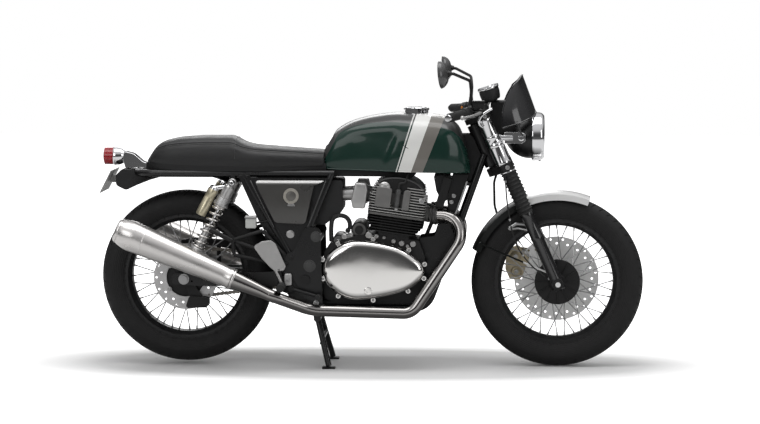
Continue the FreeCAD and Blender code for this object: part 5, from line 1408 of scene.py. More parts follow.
def blade(name, path, heights, depths, paint, steps=16):
    """Sweeps an ellipse that changes along a path. The path lies nearly level."""
    path = [Vector(p) for p in path]
    rings = []
    for index, point in enumerate(path):
        heading = (path[min(index + 1, len(path) - 1)] - path[max(index - 1, 0)]).normalized()
        side = heading.cross(Vector((0, 0, 1))).normalized()
        up = side.cross(heading).normalized()
        rings.append([turned_spot(point, side, up, 2 * math.pi * s / steps, depths[index],
            heights[index]) for s in range(steps)])
    return skin(name, rings, paint)


def clip_on(side):
    name = SIDE_NAMES[side]
    root = at(0.404, 0.972, (leg_y + 0.016) * side)
    end = at(0.296, 0.955, 0.37 * side)
    along = (end - root).normalized()
    length = (end - root).length
    front = Vector((along.y * side, -along.x * side, 0.0)).normalized()
    foot = fork_point(0.696, fork_offset, leg_y * side)
    clamp_profile = [(0.0, 0.0215), (0.0, 0.029), (0.002, 0.031), (0.026, 0.031), (0.028, 0.029),
        (0.028, 0.0215), (0.0, 0.0215)]
    clamp = lathe("clamp", clamp_profile, foot, up_fork, black_coat)
    lug = lathe("lug", [(-0.012, 0.0), (-0.012, 0.015), (0.004, 0.016), (0.01, 0.0135), (0.014, 0.0)], root,
        along, black_coat, steps=40)
    bar = tube("bar", [root, end + along * 0.002], 0.011, frame_enamel, steps=32)
    pinch = bolt("pinch", foot + up_fork * 0.014 - fore_fork * 0.026 + Vector((0, -0.012 * side, 0)),
        (0, -side, 0), 0.01, 0.006, zinc)
    fit(joined("bar " + name, [clamp, lug, bar, pinch]), "steering", "black_frame", "handlebar_" + name)
    grip_start = length - 0.134
    ribs = [(grip_start, 0.0112), (grip_start, 0.0205), (grip_start + 0.004, 0.0205),
        (grip_start + 0.006, 0.0168)]
    rib_count = 22
    first_rib = grip_start + 0.01
    step = (length - 0.012 - first_rib) / rib_count
    for index in range(rib_count):
        base = first_rib + step * index
        ribs += [(base, 0.0152), (base + step * 0.15, 0.0163), (base + step * 0.7, 0.0163),
            (base + step * 0.85, 0.0152)]
    ribs += [(length - 0.01, 0.016), (length - 0.006, 0.0162), (length - 0.006, 0.0112)]
    grip = lathe("grip " + name, ribs, root, along, soft_rubber, steps=48)
    fit(grip, "steering", "rubber")
    weight_profile = [(-0.0055, 0.0), (-0.0055, 0.0125), (-0.003, 0.0132), (0.007, 0.0132), (0.01, 0.0115),
        (0.0105, 0.0)]
    fit(lathe("bar end " + name, weight_profile, end, along, chrome, steps=40), "steering", "chrome")
    switch = end - along * 0.159
    box_profile = [(-0.023, 0.0112), (-0.023, 0.0185), (-0.02, 0.021), (-0.001, 0.021), (-0.001, 0.0202),
        (0.001, 0.0202), (0.001, 0.021), (0.02, 0.021), (0.023, 0.0185), (0.023, 0.0112)]
    housing = lathe("housing", box_profile, switch, along, matt_black, steps=48)
    button = lathe("button", [(0.019, 0.0), (0.019, 0.0048), (0.0235, 0.0048), (0.0245, 0.0035),
        (0.0245, 0.0)], switch, -front, red_lens if side < 0 else amber_lens, steps=24)
    rocker = lathe("rocker", [(0.019, 0.0), (0.019, 0.006), (0.0225, 0.0052), (0.023, 0.0)],
        switch - along * 0.01, Vector((0, 0, 1)) - front * 0.5, matt_black, steps=24)
    fit(joined("switchgear " + name, [housing, button, rocker]), "steering", "matt_plastic")
    perch = end - along * 0.205
    band = lathe("band", [(0.0, 0.0112), (0.0, 0.016), (0.002, 0.0172), (0.018, 0.0172), (0.02, 0.016),
        (0.02, 0.0112)], perch, along, black_coat, steps=48)
    hinge = perch + along * 0.01 + front * 0.042
    neck = tube("neck", [perch + along * 0.01 + front * 0.012, hinge], 0.0085, black_coat, steps=24)
    pin = lathe("pin", [(-0.01, 0.0), (-0.01, 0.0095), (0.01, 0.0095), (0.01, 0.0)], hinge, (0, 0, 1),
        black_coat, steps=32)
    screw = bolt("screw", hinge + Vector((0, 0, 0.01)), (0, 0, 1), 0.01, 0.004, zinc)
    fit(joined("perch " + name, [band, neck, pin, screw]), "steering", "black_casting")
    points = [hinge, hinge + along * 0.03 + front * 0.006]
    points += [end - along * back + front * ahead
        for back, ahead in ((0.11, 0.054), (0.07, 0.058), (0.03, 0.054), (0.01, 0.05))]
    path = curve_3d(points, 30)
    heights = [0.0058 - 0.0018 * min(1.0, i / 12) for i in range(31)]
    depths = [0.0085 - 0.003 * min(1.0, i / 14) for i in range(31)]
    lever = blade("lever", path, heights, depths, aluminium)
    ball_centre = points[-1]
    ball_profile = [(-0.0078, 0.0)] + arc_points((-0.0076, 0.0015), (0.0, 0.0078), (0.0076, 0.0015),
        12) + [(0.0078, 0.0)]
    ball = lathe("ball", ball_profile, ball_centre, along, aluminium, steps=32)
    fit(joined("lever " + name, [lever, ball]), "steering", "steel")
    if side < 0:
        pot = perch + along * 0.002 + front * 0.026 + Vector((0.003, 0.0, 0.012))
        pot_outline = round_outline([(pot.x - 0.021, pot.z), (pot.x + 0.021, pot.z),
            (pot.x + 0.023, pot.z + 0.024), (pot.x - 0.023, pot.z + 0.024)], 0.004)
        tub = slab("tub", pot_outline, pot.y - 0.018, pot.y + 0.018, black_coat, bevel=0.003)
        cover = slab("cover", round_outline([(pot.x - 0.0245, pot.z + 0.024),
            (pot.x + 0.0245, pot.z + 0.024), (pot.x + 0.0245, pot.z + 0.03),
            (pot.x - 0.0245, pot.z + 0.03)], 0.002), pot.y - 0.02, pot.y + 0.02, black_coat)
        screws = [bolt("screw", Vector((pot.x + 0.018 * s, pot.y + 0.012 * t, pot.z + 0.03)), (0, 0, 1),
            0.005, 0.0016, zinc, sides=12) for s, t in ((-1, -1), (1, 1))]
        fit(joined("front reservoir", [tub, cover] + screws), "steering", "black_casting")


for side in SIDES:
    clip_on(side)
print("bars done")

# %% [markdown]
# ## Mirrors
# Each mirror is a round shell on a bent stalk. The shell is a shallow dish with a rolled lip, and the glass
# sits just inside it. A ball joint and a lock nut hold it to the stalk.

# %% Mirrors


mirror_shell = finish("mirror shell lacquer", (0.055, 0.055, 0.056), 0.26, mottle=0.05, smear=0.04,
    Coat_Weight=0.4)


def mirror(side):
    name = SIDE_NAMES[side]
    stalk = [at(0.372, 0.974, 0.196 * side), at(0.376, 1.046, 0.204 * side), at(0.372, 1.084, 0.232 * side),
        at(0.312, 1.112, 0.306 * side), at(0.286, 1.112, 0.322 * side)]
    path = bend(stalk, [0.02, 0.024, 0.014])
    arm = tube("arm", path, 0.0055, black_coat, steps=24)
    nut = lathe("nut", [(0.01, 0.0055), (0.01, 0.0095), (0.018, 0.0095), (0.018, 0.0055)], stalk[0],
        (0.02, 0, 1), zinc, steps=6, sharp=20.0)
    boot = lathe("boot", [(0.018, 0.0058), (0.018, 0.0085), (0.03, 0.0075), (0.036, 0.0058)], stalk[0],
        (0.02, 0, 1), soft_rubber, steps=24)
    centre = at(0.272, 1.11, 0.336 * side)
    facing = Vector((-0.95, -0.14 * side, -0.1)).normalized()
    shell_profile = [(-0.022, 0.0), (-0.022, 0.012)]
    shell_profile += arc_points((-0.022, 0.014), (-0.014, 0.036), (0.0, 0.0485), 12)
    shell_profile += [(0.004, 0.05), (0.0065, 0.0502), (0.008, 0.0495), (0.008, 0.047), (0.006, 0.0465),
        (0.006, 0.0)]
    shell = lathe("shell", shell_profile, centre, facing, mirror_shell, steps=96)
    ball = lathe("ball", [(-0.034, 0.0), (-0.034, 0.007), (-0.024, 0.011), (-0.021, 0.012), (-0.021, 0.0)],
        centre, facing, black_coat, steps=32)
    fit(joined("mirror " + name, [arm, nut, boot, shell, ball]), "steering", "black_casting",
        *only(side, 1, "mirrors"))
    face = lathe("mirror glass " + name, [(0.006, 0.0464), (0.0068, 0.0462), (0.0074, 0.03), (0.0076, 0.0)],
        centre, facing, mirror_glass, steps=72)
    fit(face, "steering", "chrome")


for side in SIDES:
    mirror(side)
print("mirrors done")

# %% [markdown]
# ## Behind the lamp
# A moulded cowl hides the wiring between the lamp and the instruments, and a bright loop guides the cables
# past the right fork tube. A thin sensor cable runs down the same leg to the hub, held by clips.

# %% Cowl and cables
cowl_outline = round_outline([(0.448, 1.002), (0.514, 1.002), (0.548, 0.925), (0.54, 0.85), (0.505, 0.862),
    (0.47, 0.885), (0.446, 0.93)], 0.01)
fit(slab("wiring cowl", cowl_outline, -0.05, 0.05, matt_black, bevel=0.006), "steering", "matt_plastic")
loop_path = curve_3d([(0.452, -0.128, 0.977), (0.435, -0.134, 0.967), (0.414, -0.137, 0.951),
    (0.405, -0.137, 0.934), (0.408, -0.134, 0.917), (0.418, -0.128, 0.908)], 24)
fit(tube("cable guide", loop_path, 0.005, chrome, steps=16), "steering", "chrome")
cable_path = curve_3d([(0.502, -0.124, 0.735), (0.505, -0.127, 0.69), (0.509, -0.127, 0.64),
    (0.516, -0.127, 0.594), (0.528, -0.127, 0.527), (0.552, -0.126, 0.46), (0.596, -0.124, 0.4),
    (0.652, -0.122, 0.352)], 60)
cable = tube("cable", cable_path, 0.0026, soft_rubber, steps=10)
clips = [lathe("clip", [(-0.004, 0.0027), (-0.004, 0.0044), (0.004, 0.0044), (0.004, 0.0027),
    (-0.004, 0.0027)], cable_path[spot], (cable_path[spot + 1] - cable_path[spot]), zinc,
    steps=20) for spot in (4, 24, 44)]
fit(joined("sensor cable", [cable] + clips), "steering", "rubber")
print("cowl and cables done")

# %% [markdown]
# ## Fork legs
# A leg is made of turned parts: an alloy cap with a hexagon, a polished cover between the yokes, a rubber
# bellows that keeps grit off the seal, and a cast slider with the axle's foot and a drain screw. The
# bellows is a profile of folds written as a loop.

# %% Fork legs


def fork_leg(side):
    name = SIDE_NAMES[side]
    foot = fork_point(0.0, fork_offset, leg_y * side)
    slider_profile = [(-0.024, 0.0), (-0.024, 0.019), (-0.021, 0.0225), (0.045, 0.0225), (0.055, 0.0235),
        (0.18, 0.0235), (0.184, 0.0245), (0.192, 0.0245), (0.196, 0.0235), (0.27, 0.0235), (0.274, 0.0252),
        (0.292, 0.0252), (0.296, 0.0235), (0.296, 0.0)]
    slider = lathe("slider", slider_profile, foot, up_fork, slider_coat)
    boss = lathe("boss", [(-0.021, 0.0), (-0.021, 0.017), (-0.018, 0.02), (0.018, 0.02), (0.021, 0.017),
        (0.021, 0.0)], foot, Y_AXIS, black_coat, steps=48)
    drain = bolt("drain", foot + up_fork * 0.03 - fore_fork * 0.0225, -fore_fork, 0.008, 0.004, zinc)
    fit(joined("fork slider " + name, [slider, boss, drain]), "steering", "black_casting",
        "fork_leg_" + name)
    first, last, folds = 0.296, 0.458, 11
    step = (last - first) / folds
    folds_profile = [(first - 0.006, 0.0), (first - 0.006, 0.0262), (first + 0.001, 0.0262)]
    for index in range(folds):
        base = first + index * step
        folds_profile += [(base + 0.002, 0.0246), (base + 0.0045, 0.0258), (base + 0.0068, 0.029),
            (base + 0.0079, 0.0296), (base + 0.009, 0.029), (base + 0.0115, 0.0258)]
    folds_profile += [(last - 0.001, 0.0246), (last, 0.0246), (last, 0.0)]
    fit(lathe("fork bellows " + name, folds_profile, foot, up_fork, soft_rubber, sharp=75.0), "steering",
        "rubber")
    cover_profile = [(0.4895, 0.0212), (0.4895, 0.0272), (0.492, 0.0282), (0.5, 0.0282), (0.503, 0.027),
        (0.662, 0.027), (0.665, 0.0282), (0.672, 0.0282), (0.6745, 0.0272), (0.6745, 0.0212),
        (0.4895, 0.0212)]
    fit(lathe("fork cover " + name, cover_profile, foot, up_fork, chrome), "steering", "chrome")
    inner = lathe("stanchion", [(0.455, 0.0), (0.455, 0.0208), (0.7265, 0.0208), (0.7265, 0.0)], foot,
        up_fork, chrome, steps=48)
    cap = lathe("cap", [(0.7262, 0.0), (0.7262, 0.0185), (0.7285, 0.0185), (0.73, 0.015), (0.73, 0.0)],
        foot, up_fork, aluminium, steps=48)
    hexagon = lathe("hexagon", [(0.7298, 0.0), (0.7298, 0.0105), (0.7325, 0.01), (0.7325, 0.0)], foot,
        up_fork, zinc, steps=6, sharp=20.0)
    ring = lathe("ring", [(0.457, 0.0), (0.457, 0.0285), (0.459, 0.03), (0.466, 0.03), (0.468, 0.0285),
        (0.468, 0.0)], foot, up_fork, chrome, steps=56)
    fit(joined("fork top " + name, [inner, cap, hexagon, ring]), "steering", "chrome")


for side in SIDES:
    fork_leg(side)
print("fork legs done")

# %% [markdown]
# ## Headlamp brackets and the yokes' bolts
# Polished brackets clamp the covers and hold the lamp's ears. Each is a ring round the cover, an arm and a
# plate with a bolt. The yokes keep their solids and get the pinch bolts and the big stem nut.

# %% Brackets and bolts


def lamp_bracket(side):
    name = SIDE_NAMES[side]
    low = fork_point(0.56, fork_offset, leg_y * side)
    ring_profile = [(0.0, 0.028), (0.0, 0.03), (0.002, 0.0312), (0.012, 0.0312), (0.014, 0.03),
        (0.032, 0.03), (0.034, 0.0312), (0.044, 0.0312), (0.046, 0.03), (0.046, 0.028), (0.0, 0.028)]
    ring = lathe("ring", ring_profile, low, up_fork, chrome)
    inner_y = min(0.088 * side, 0.094 * side)
    ear_outline = round_outline([(0.5, 0.846), (0.498, 0.888), (0.562, 0.888), (0.578, 0.88),
        (0.578, 0.856), (0.562, 0.846)], [0.004, 0.004, 0.01, 0.01, 0.01, 0.01])
    ear = slab("ear", ear_outline, inner_y, inner_y + 0.006, chrome, bevel=0.0012)
    arm = tube("arm", [fork_point(0.59, fork_offset + 0.02, leg_y * side), at(0.51, 0.867, 0.092 * side),
        at(0.53, 0.867, 0.091 * side)], 0.01, chrome, steps=28)
    outer = at(0.562, 0.867, 0.094 * side)
    head = bolt("bolt", outer, (0, side, 0), 0.017, 0.007, chrome)
    spacer = lathe("spacer", [(0.0, 0.0), (0.0, 0.009), (0.012, 0.009), (0.012, 0.0)],
        at(0.562, 0.867, 0.0765 * side), (0, side, 0), chrome, steps=32)
    fit(joined("lamp bracket " + name, [ring, ear, arm, head, spacer]), "steering", "chrome",
        *only(side, 1, "headlamp_brackets"))


for side in SIDES:
    lamp_bracket(side)
yoke_bolts = []
for side in SIDES:
    for level in (0.476, 0.684):
        spot = fork_point(level, fork_offset + 0.006, (leg_y + 0.034) * side)
        yoke_bolts.append(bolt("bolt", spot, (0, side, 0), 0.012, 0.006, zinc))
stem_foot = fork_point(0.0)
stem_nut = lathe("nut", [(0.7055, 0.0), (0.7055, 0.0205), (0.7075, 0.0215), (0.7175, 0.0205),
    (0.7185, 0.0185), (0.7185, 0.0)], stem_foot, up_fork, chrome, steps=6, sharp=20.0)
fit(joined("yoke bolts", yoke_bolts + [stem_nut]), "steering", "steel")
print("brackets and bolts done")

# %% [markdown]
# ## Front mudguard, caliper and axle
# The mudguard is brushed bright metal. Its rear half, behind a line at the fork brace, is painted near
# black: a painted dark reflection of the shaded ground under the machine. The caliper is a gold casting
# with two piston housings and its bolts. Each end of the axle has a washer, a nut and a cap.

# %% Mudguard finish and caliper
guard_metal = finish("mudguard metal", (0.8, 0.8, 0.795), 0.32, metallic=0.55, mottle=0.06, mottle_size=0.1,
    smear=0.06)


def guard_painted_reflection_mask(w):
    x = place_nodes(w)[1]
    return w.calc("LESS_THAN", x, 0.572)


# Painted dark reflection: behind x 0.572 the metal is painted near black, where it faces the shaded ground.
recolour(guard_metal, guard_painted_reflection_mask, (0.006, 0.007, 0.0065), rough=0.34, metallic=0.0)
shader_of(guard_metal).inputs["Specular IOR Level"].default_value = 0.12
nodes["front_mudguard"].data.materials[0] = guard_metal
disc_y = 0.0655
caliper_parts = []
for x, z in ((0.545, 0.408), (0.548, 0.35)):
    housing_profile = [(0.0, 0.0), (0.0, 0.0205), (0.005, 0.0205), (0.008, 0.019), (0.01, 0.015),
        (0.01, 0.0)]
    caliper_parts.append(lathe("piston", housing_profile, at(x, z, disc_y - 0.0085), (0, -1, 0), gold,
        steps=48))
    caliper_parts.append(lathe("piston", housing_profile, at(x, z, disc_y + 0.014), (0, 1, 0), gold,
        steps=48))
    caliper_parts.append(lathe("centre", [(0.0098, 0.0), (0.0098, 0.0085), (0.0112, 0.008), (0.0112, 0.0)],
        at(x, z, disc_y - 0.0085), (0, -1, 0), zinc, steps=24))
for x, z in ((0.528, 0.436), (0.515, 0.38), (0.532, 0.326), (0.572, 0.428)):
    caliper_parts.append(bolt("bolt", at(x, z, disc_y - 0.0095), (0, -1, 0), 0.01, 0.005, zinc))
fit(joined("front caliper details", caliper_parts), "steering", "gold")
nipple = tube("bleed nipple", [at(0.552, 0.446, disc_y + 0.008), at(0.546, 0.462, disc_y + 0.008)], 0.0032,
    zinc, steps=12)
fit(nipple, "steering", "steel")
bright_nut = finish("bright nut", (0.8, 0.8, 0.8), 0.3, metallic=0.4, mottle=0.05)
axle_parts = []
for side in SIDES:
    end_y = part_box("front_axle")[(side + 1) // 2][1]
    axle_parts.append(lathe("cap", [(-0.001, 0.0), (-0.001, 0.009), (0.001, 0.0098), (0.003, 0.009),
        (0.004, 0.006), (0.004, 0.0)], at(0.7005, 0.323, end_y), (0, side, 0), bright_nut, steps=32))
    axle_parts.append(lathe("nut", [(0.0, 0.0), (0.0, 0.0105), (0.002, 0.0112), (0.01, 0.0108),
        (0.0125, 0.009), (0.0125, 0.0)], at(0.7005, 0.323, 0.119 * side), (0, side, 0), zinc, steps=6,
        sharp=20.0))
    axle_parts.append(lathe("washer", [(0.0, 0.0), (0.0, 0.0215), (0.0055, 0.021), (0.0062, 0.0195),
        (0.0062, 0.0)], at(0.7005, 0.323, 0.1175 * side), (0, side, 0), black_coat, steps=40))
fit(joined("front axle nuts", axle_parts), "steering", "steel")
print("front end done")

# %% [markdown]
# ## Shock absorbers
# A coil spring is a bar wound on a mandrel, so it is a circle swept along a helix whose end coils close up.
# It sits between two seats on a polished damper, and a gold gas reservoir hangs beside it on a short
# bridge. The eyes are rubber bushed.

# %% Shock absorbers
shock_top = at(-0.513, 0.7)
shock_foot = at(-0.672, 0.4)
spring_coils = 7
spring_wire_radius = 0.0044


def spring_path(start, axis, first, last, coils, radius, points_per_turn=28):
    """A helix whose first and last turns lie nearly flat."""
    side, other = square_to(axis)
    total = coils + 2.0
    count = int(total * points_per_turn)
    path = []
    for index in range(count + 1):
        turn = total * index / count
        if turn < 1.0:
            climb = 0.1 * turn
        elif turn > total - 1.0:
            climb = coils - 0.1 * (total - turn)
        else:
            climb = 0.1 + (turn - 1.0) * (coils - 0.2) / coils
        distance = first + (last - first) * climb / coils
        path.append(turned_spot(start + axis * distance, side, other, 2 * math.pi * turn, radius))
    return path


champagne = finish("champagne anodising", (0.56, 0.51, 0.37), 0.3, metallic=0.75, mottle=0.05,
    mottle_size=0.03)


def shock(side):
    name = SIDE_NAMES[side]
    y = 0.13 * side
    top = at(shock_top.x, shock_top.z, y)
    foot = at(shock_foot.x, shock_foot.z, y)
    along = (foot - top).normalized()
    length = (foot - top).length
    back = Vector((along.z, 0.0, -along.x))
    if back.x > 0:
        back = -back
    eye_profile = [(-0.012, 0.0082), (-0.012, 0.013), (-0.01, 0.015), (0.01, 0.015), (0.012, 0.013),
        (0.012, 0.0082), (-0.012, 0.0082)]
    eyes = [lathe("eye", eye_profile, spot, Y_AXIS, aluminium, steps=48) for spot in (top, foot)]
    head = lathe("head", [(0.01, 0.0), (0.01, 0.011), (0.018, 0.015), (0.022, 0.021), (0.06, 0.021),
        (0.062, 0.025), (0.088, 0.0255), (0.09, 0.029), (0.096, 0.029), (0.096, 0.0)], top, along,
        aluminium)
    collar_turns = [(0.062 + 0.003 * i, 0.0235 if i % 2 else 0.0262) for i in range(9)]
    collar = lathe("collar", [(0.0615, 0.02)] + collar_turns + [(0.0875, 0.02)], top, along, zinc)
    rod = lathe("rod", [(0.092, 0.0), (0.092, 0.0075), (length - 0.05, 0.0075), (length - 0.05, 0.0)], top,
        along, chrome, steps=32)
    damper = lathe("damper", [(-0.15, 0.0), (-0.15, 0.0125), (-0.146, 0.015), (-0.06, 0.015), (-0.06, 0.0)],
        foot, along, aluminium, steps=40)
    seat_low = lathe("seat", [(-0.064, 0.0), (-0.064, 0.027), (-0.062, 0.029), (-0.053, 0.029),
        (-0.05, 0.025), (-0.044, 0.015), (-0.012, 0.0135), (-0.012, 0.0)], foot, along, aluminium)
    fit(joined("shock body " + name, eyes + [head, collar, rod, damper, seat_low]), "chassis", "chrome",
        *only(side, 1, "shocks"))
    wire = tube("shock spring " + name, spring_path(top, along, 0.1, length - 0.067, spring_coils, 0.0225),
        spring_wire_radius, spring_steel, steps=14)
    fit(wire, "chassis", "chrome")
    canister_top = top + along * 0.056 + back * 0.05
    canister_profile = [(-0.001, 0.0), (-0.001, 0.0175), (0.0, 0.019), (0.002, 0.0197), (0.03, 0.0197),
        (0.031, 0.019), (0.033, 0.019), (0.034, 0.0197), (0.096, 0.0197), (0.0965, 0.019), (0.099, 0.019),
        (0.0995, 0.0197), (0.106, 0.019), (0.108, 0.016), (0.108, 0.0)]
    canister = lathe("gas reservoir " + name, canister_profile, canister_top, along, champagne)
    fit(canister, "chassis", "gold")
    lid_profile = [(-0.013, 0.0), (-0.013, 0.013), (-0.01, 0.0168), (-0.001, 0.0172), (-0.001, 0.0)]
    lid = lathe("lid", lid_profile, canister_top, along, chrome, steps=48)
    bridge = tube("bridge", [top + along * 0.034, top + along * 0.03 + back * 0.02,
        canister_top - along * 0.005], 0.009, chrome, steps=28)
    cap = lathe("valve", [(0.1075, 0.0), (0.1075, 0.006), (0.113, 0.0055), (0.114, 0.0)], canister_top,
        along, black_coat, steps=24)
    fit(joined("reservoir bridge " + name, [lid, bridge, cap]), "chassis", "chrome")
    bushes = []
    for spot in (top, foot):
        outer = spot + Vector((0, 0.0125 * side, 0))
        bushes.append(lathe("bush", [(0.0, 0.0085), (0.0, 0.012), (0.0012, 0.012), (0.0012, 0.0085)], outer,
            (0, side, 0), soft_rubber, steps=32))
    fit(joined("shock bushes " + name, bushes), "chassis", "rubber")
    nuts = [bolt("nut", at(shock_top.x, shock_top.z, 0.146 * side), (0, side, 0), 0.014, 0.009, chrome),
        bolt("nut", at(shock_foot.x, shock_foot.z, 0.1425 * side), (0, side, 0), 0.014, 0.007, chrome)]
    fit(joined("shock nuts " + name, nuts), "chassis", "steel")


for side in SIDES:
    shock(side)
print("shocks done")

# %% [markdown]
# ## Tail lamp and plate
# The lamp is a chrome shell that tapers forwards to its bracket, with a thick red lens behind a bright
# ring. The lens is moulded in rings and has a shallow dome. The plate stays blank and gets two small bolts.

# %% Tail lamp and plate
tail_centre = at(-0.966, 0.789)
BACK = (-1.0, 0.0, 0.0)
lens_steps = []
for index in range(7):
    base = 0.012 + index * 0.0048
    lens_steps += [(base, 0.0312), (base + 0.001, 0.0325), (base + 0.0036, 0.0325), (base + 0.0046, 0.0312)]
tail_lens_profile = [(0.008, 0.0), (0.008, 0.0315)] + lens_steps + arc_points((0.0458, 0.03),
    (0.049, 0.018), (0.05, 0.001), 8) + [(0.05, 0.0)]
fit(lathe("tail lens", tail_lens_profile, tail_centre, BACK, red_lens, steps=72, sharp=50.0), "chassis",
    "red_lens", "tail_lamp")
shell_profile = [(0.0105, 0.03), (0.0105, 0.034), (0.008, 0.035), (0.0, 0.035)]
shell_profile += arc_points((-0.001, 0.0348), (-0.02, 0.03), (-0.034, 0.02), 10)
shell_profile += [(-0.037, 0.014), (-0.037, 0.0)]
shell = lathe("shell", shell_profile, tail_centre, BACK, chrome, steps=72)
bracket_outline = round_outline([(-0.94, 0.774), (-0.936, 0.808), (-0.899, 0.799), (-0.862, 0.767),
    (-0.797, 0.757), (-0.797, 0.748), (-0.88, 0.748), (-0.93, 0.744)],
    [0.004, 0.01, 0.03, 0.03, 0.002, 0.002, 0.01, 0.01], steps=10)
bracket = slab("bracket", bracket_outline, -0.024, 0.024, chrome, bevel=0.003)
fit(joined("tail lamp shell", [shell, bracket]), "chassis", "chrome")
plate_top = at(-0.972, 0.738)
plate_foot = at(-1.014, 0.656)
plate_down = (plate_foot - plate_top).normalized()
plate_out = Vector((plate_down.z, 0.0, -plate_down.x))
plate_bolts = [bolt("bolt", plate_top + plate_down * 0.02 + plate_out * 0.0002 + Vector((0, 0.03 * s, 0)),
    plate_out, 0.007, 0.003, zinc) for s in SIDES]
fit(joined("plate bolts", plate_bolts), "chassis", "steel")
print("tail done")

# %% [markdown]
# ## Mudguard stays and undertray
# The front mudguard hangs from two bright stays on each leg, and a black undertray curves forward from the
# plate below the seat rails.

# %% Stays and undertray
stays = []
for side in SIDES:
    y = 0.078 * side
    stays.append(tube("stay", bend([(0.52, y, 0.53), (0.545, y, 0.545), (0.59, y, 0.542)], [0.012]), 0.0065,
        zinc, steps=16))
    stays.append(tube("stay", bend([(0.523, y, 0.524), (0.55, y, 0.528), (0.6, 0.09 * side, 0.52)], [0.01]),
        0.0045, zinc, steps=14))
    stays.append(bolt("bolt", (0.522, y + 0.006 * side, 0.528), (0, side, 0), 0.01, 0.005, zinc))
fit(joined("mudguard stays", stays), "steering", "steel")
tray_outline = round_outline([(-0.872, 0.736), (-0.702, 0.744), (-0.702, 0.729), (-0.775, 0.719),
    (-0.831, 0.703), (-0.879, 0.684), (-0.9, 0.7)], [0.004, 0.003, 0.003, 0.03, 0.03, 0.008, 0.006])
fit(slab("undertray", tray_outline, -0.06, 0.06, matt_black, bevel=0.002), "chassis", "matt_plastic")
print("stays and undertray done")

# %% [markdown]
# ## Seat
# A seat cover is stretched over shaped foam and stapled under a base. Cloth simulation gives what a formula
# doesn't: a start shape a little smaller than the foam is blown out by a light pressure until the cover is
# taut, so the hump and the dip keep soft, slightly uneven skin. Seams and stitches are laid on the settled
# surface afterwards.

# %% Seat cover
welt_paint = finish("welt piping", (0.04, 0.04, 0.041), 0.42, mottle=0.05)
thread = finish("seat thread", (0.06, 0.06, 0.058), 0.7, mottle=0.05)
seat_stations = ((-0.844, 0.77, 0.78, 0.062), (-0.826, 0.764, 0.81, 0.086), (-0.8, 0.76, 0.84, 0.1),
    (-0.762, 0.757, 0.857, 0.11), (-0.705, 0.754, 0.867, 0.116), (-0.61, 0.752, 0.871, 0.12),
    (-0.528, 0.751, 0.871, 0.122), (-0.471, 0.75, 0.847, 0.124), (-0.43, 0.75, 0.838, 0.124),
    (-0.35, 0.75, 0.832, 0.118), (-0.26, 0.75, 0.826, 0.108), (-0.17, 0.75, 0.821, 0.092),)
seat_x = [row[0] for row in seat_stations]


def seat_ring(x, shrink, steps=14):
    low, high, half = section_at(seat_stations, x)
    low += shrink * 0.3
    high -= shrink
    half -= shrink
    height = high - low
    outline = [(half - 0.008, low), (half, low + 0.26 * height), (half - 0.001, low + 0.5 * height),
        (half - 0.007, low + 0.68 * height), (half * 0.7, high - 0.0065), (0.0, high)]
    right = through(outline, steps)
    ring = [Vector((x, y, z)) for y, z in right]
    return ring + [Vector((x, -y, z)) for y, z in reversed(right[:-1])]


def seat_form(name, shrink, rows):
    rings = []
    first, last = seat_x[0] + shrink, seat_x[-1] - shrink
    for index in range(rows + 1):
        rings.append(seat_ring(first + (last - first) * index / rows, shrink))
    return skin(name, rings, leather, sharp=180.0)


def blow_up(cover):
    """Remeshes the start shape evenly, and lets a light pressure stretch it."""
    mesh = cover.modifiers.new("even", "REMESH")
    mesh.mode = "VOXEL"
    mesh.voxel_size = 0.006
    settle(cover)
    pinned = cover.vertex_groups.new(name="base")
    low = min(v.co.z for v in cover.data.vertices)
    pinned.add([v.index for v in cover.data.vertices], 0.3, "REPLACE")
    pinned.add([v.index for v in cover.data.vertices if v.co.z < low + 0.012], 1.0, "REPLACE")
    cloth = cover.modifiers.new("cover", "CLOTH")
    settings = cloth.settings
    settings.quality = 6
    settings.mass = 0.3
    settings.tension_stiffness = 60
    settings.compression_stiffness = 60
    settings.shear_stiffness = 30
    settings.bending_stiffness = 12.0
    settings.vertex_group_mass = "base"
    settings.use_pressure = True
    settings.uniform_pressure_force = 3.0
    settings.effector_weights.gravity = 0.0
    cloth.collision_settings.use_collision = False
    cloth.point_cache.frame_start = 1
    cloth.point_cache.frame_end = 20
    for frame_number in range(1, 21):
        scene.frame_set(frame_number)
    settle(cover)
    scene.frame_set(1)
    return cover


cover = seat_form("seat cover", 0.003, 90)
rest_verts = len(cover.data.vertices)
cover = blow_up(cover)
smoother = cover.modifiers.new("smooth", "SUBSURF")
smoother.levels = 1
smoother.render_levels = 1
settle(cover)
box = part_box("seat")
for vert in cover.data.vertices:
    vert.co.x = min(max(vert.co.x, box[0][0]), box[1][0] + 0.001)
    vert.co.y = min(max(vert.co.y, box[0][1] - 0.004), box[1][1] + 0.004)
    vert.co.z = min(max(vert.co.z, box[0][2]), box[1][2] + 0.006)
cover.data.polygons.foreach_set("use_smooth", [True] * len(cover.data.polygons))
fit(cover, "chassis", "seat_cover", "seat")
print("seat vertices", rest_verts, "to", len(cover.data.vertices))

# %% [markdown]
# ## Seams, welt and base
# The cover is sewn from a top panel and two side panels, so a welt runs along each shoulder, with a row of
# stitches under it. One cross seam parts the rider's pad from the hump. They follow the settled cover: each
# point is dropped onto it along a ray, and the thread lies just outside. Below, a moulded base closes the
# gap to the frame rails.

# %% Welts and stitches
from mathutils.bvhtree import BVHTree

cover_tree = BVHTree.FromObject(cover, bpy.context.evaluated_depsgraph_get())


def onto_cover(spot, way, lift):
    """The first hit of a ray on the cover, moved out by a little."""
    hit, normal, _, _ = cover_tree.ray_cast(spot, way)
    if hit is None:
        return None
    if normal.dot(way) > 0:
        normal = -normal
    return hit + normal * lift


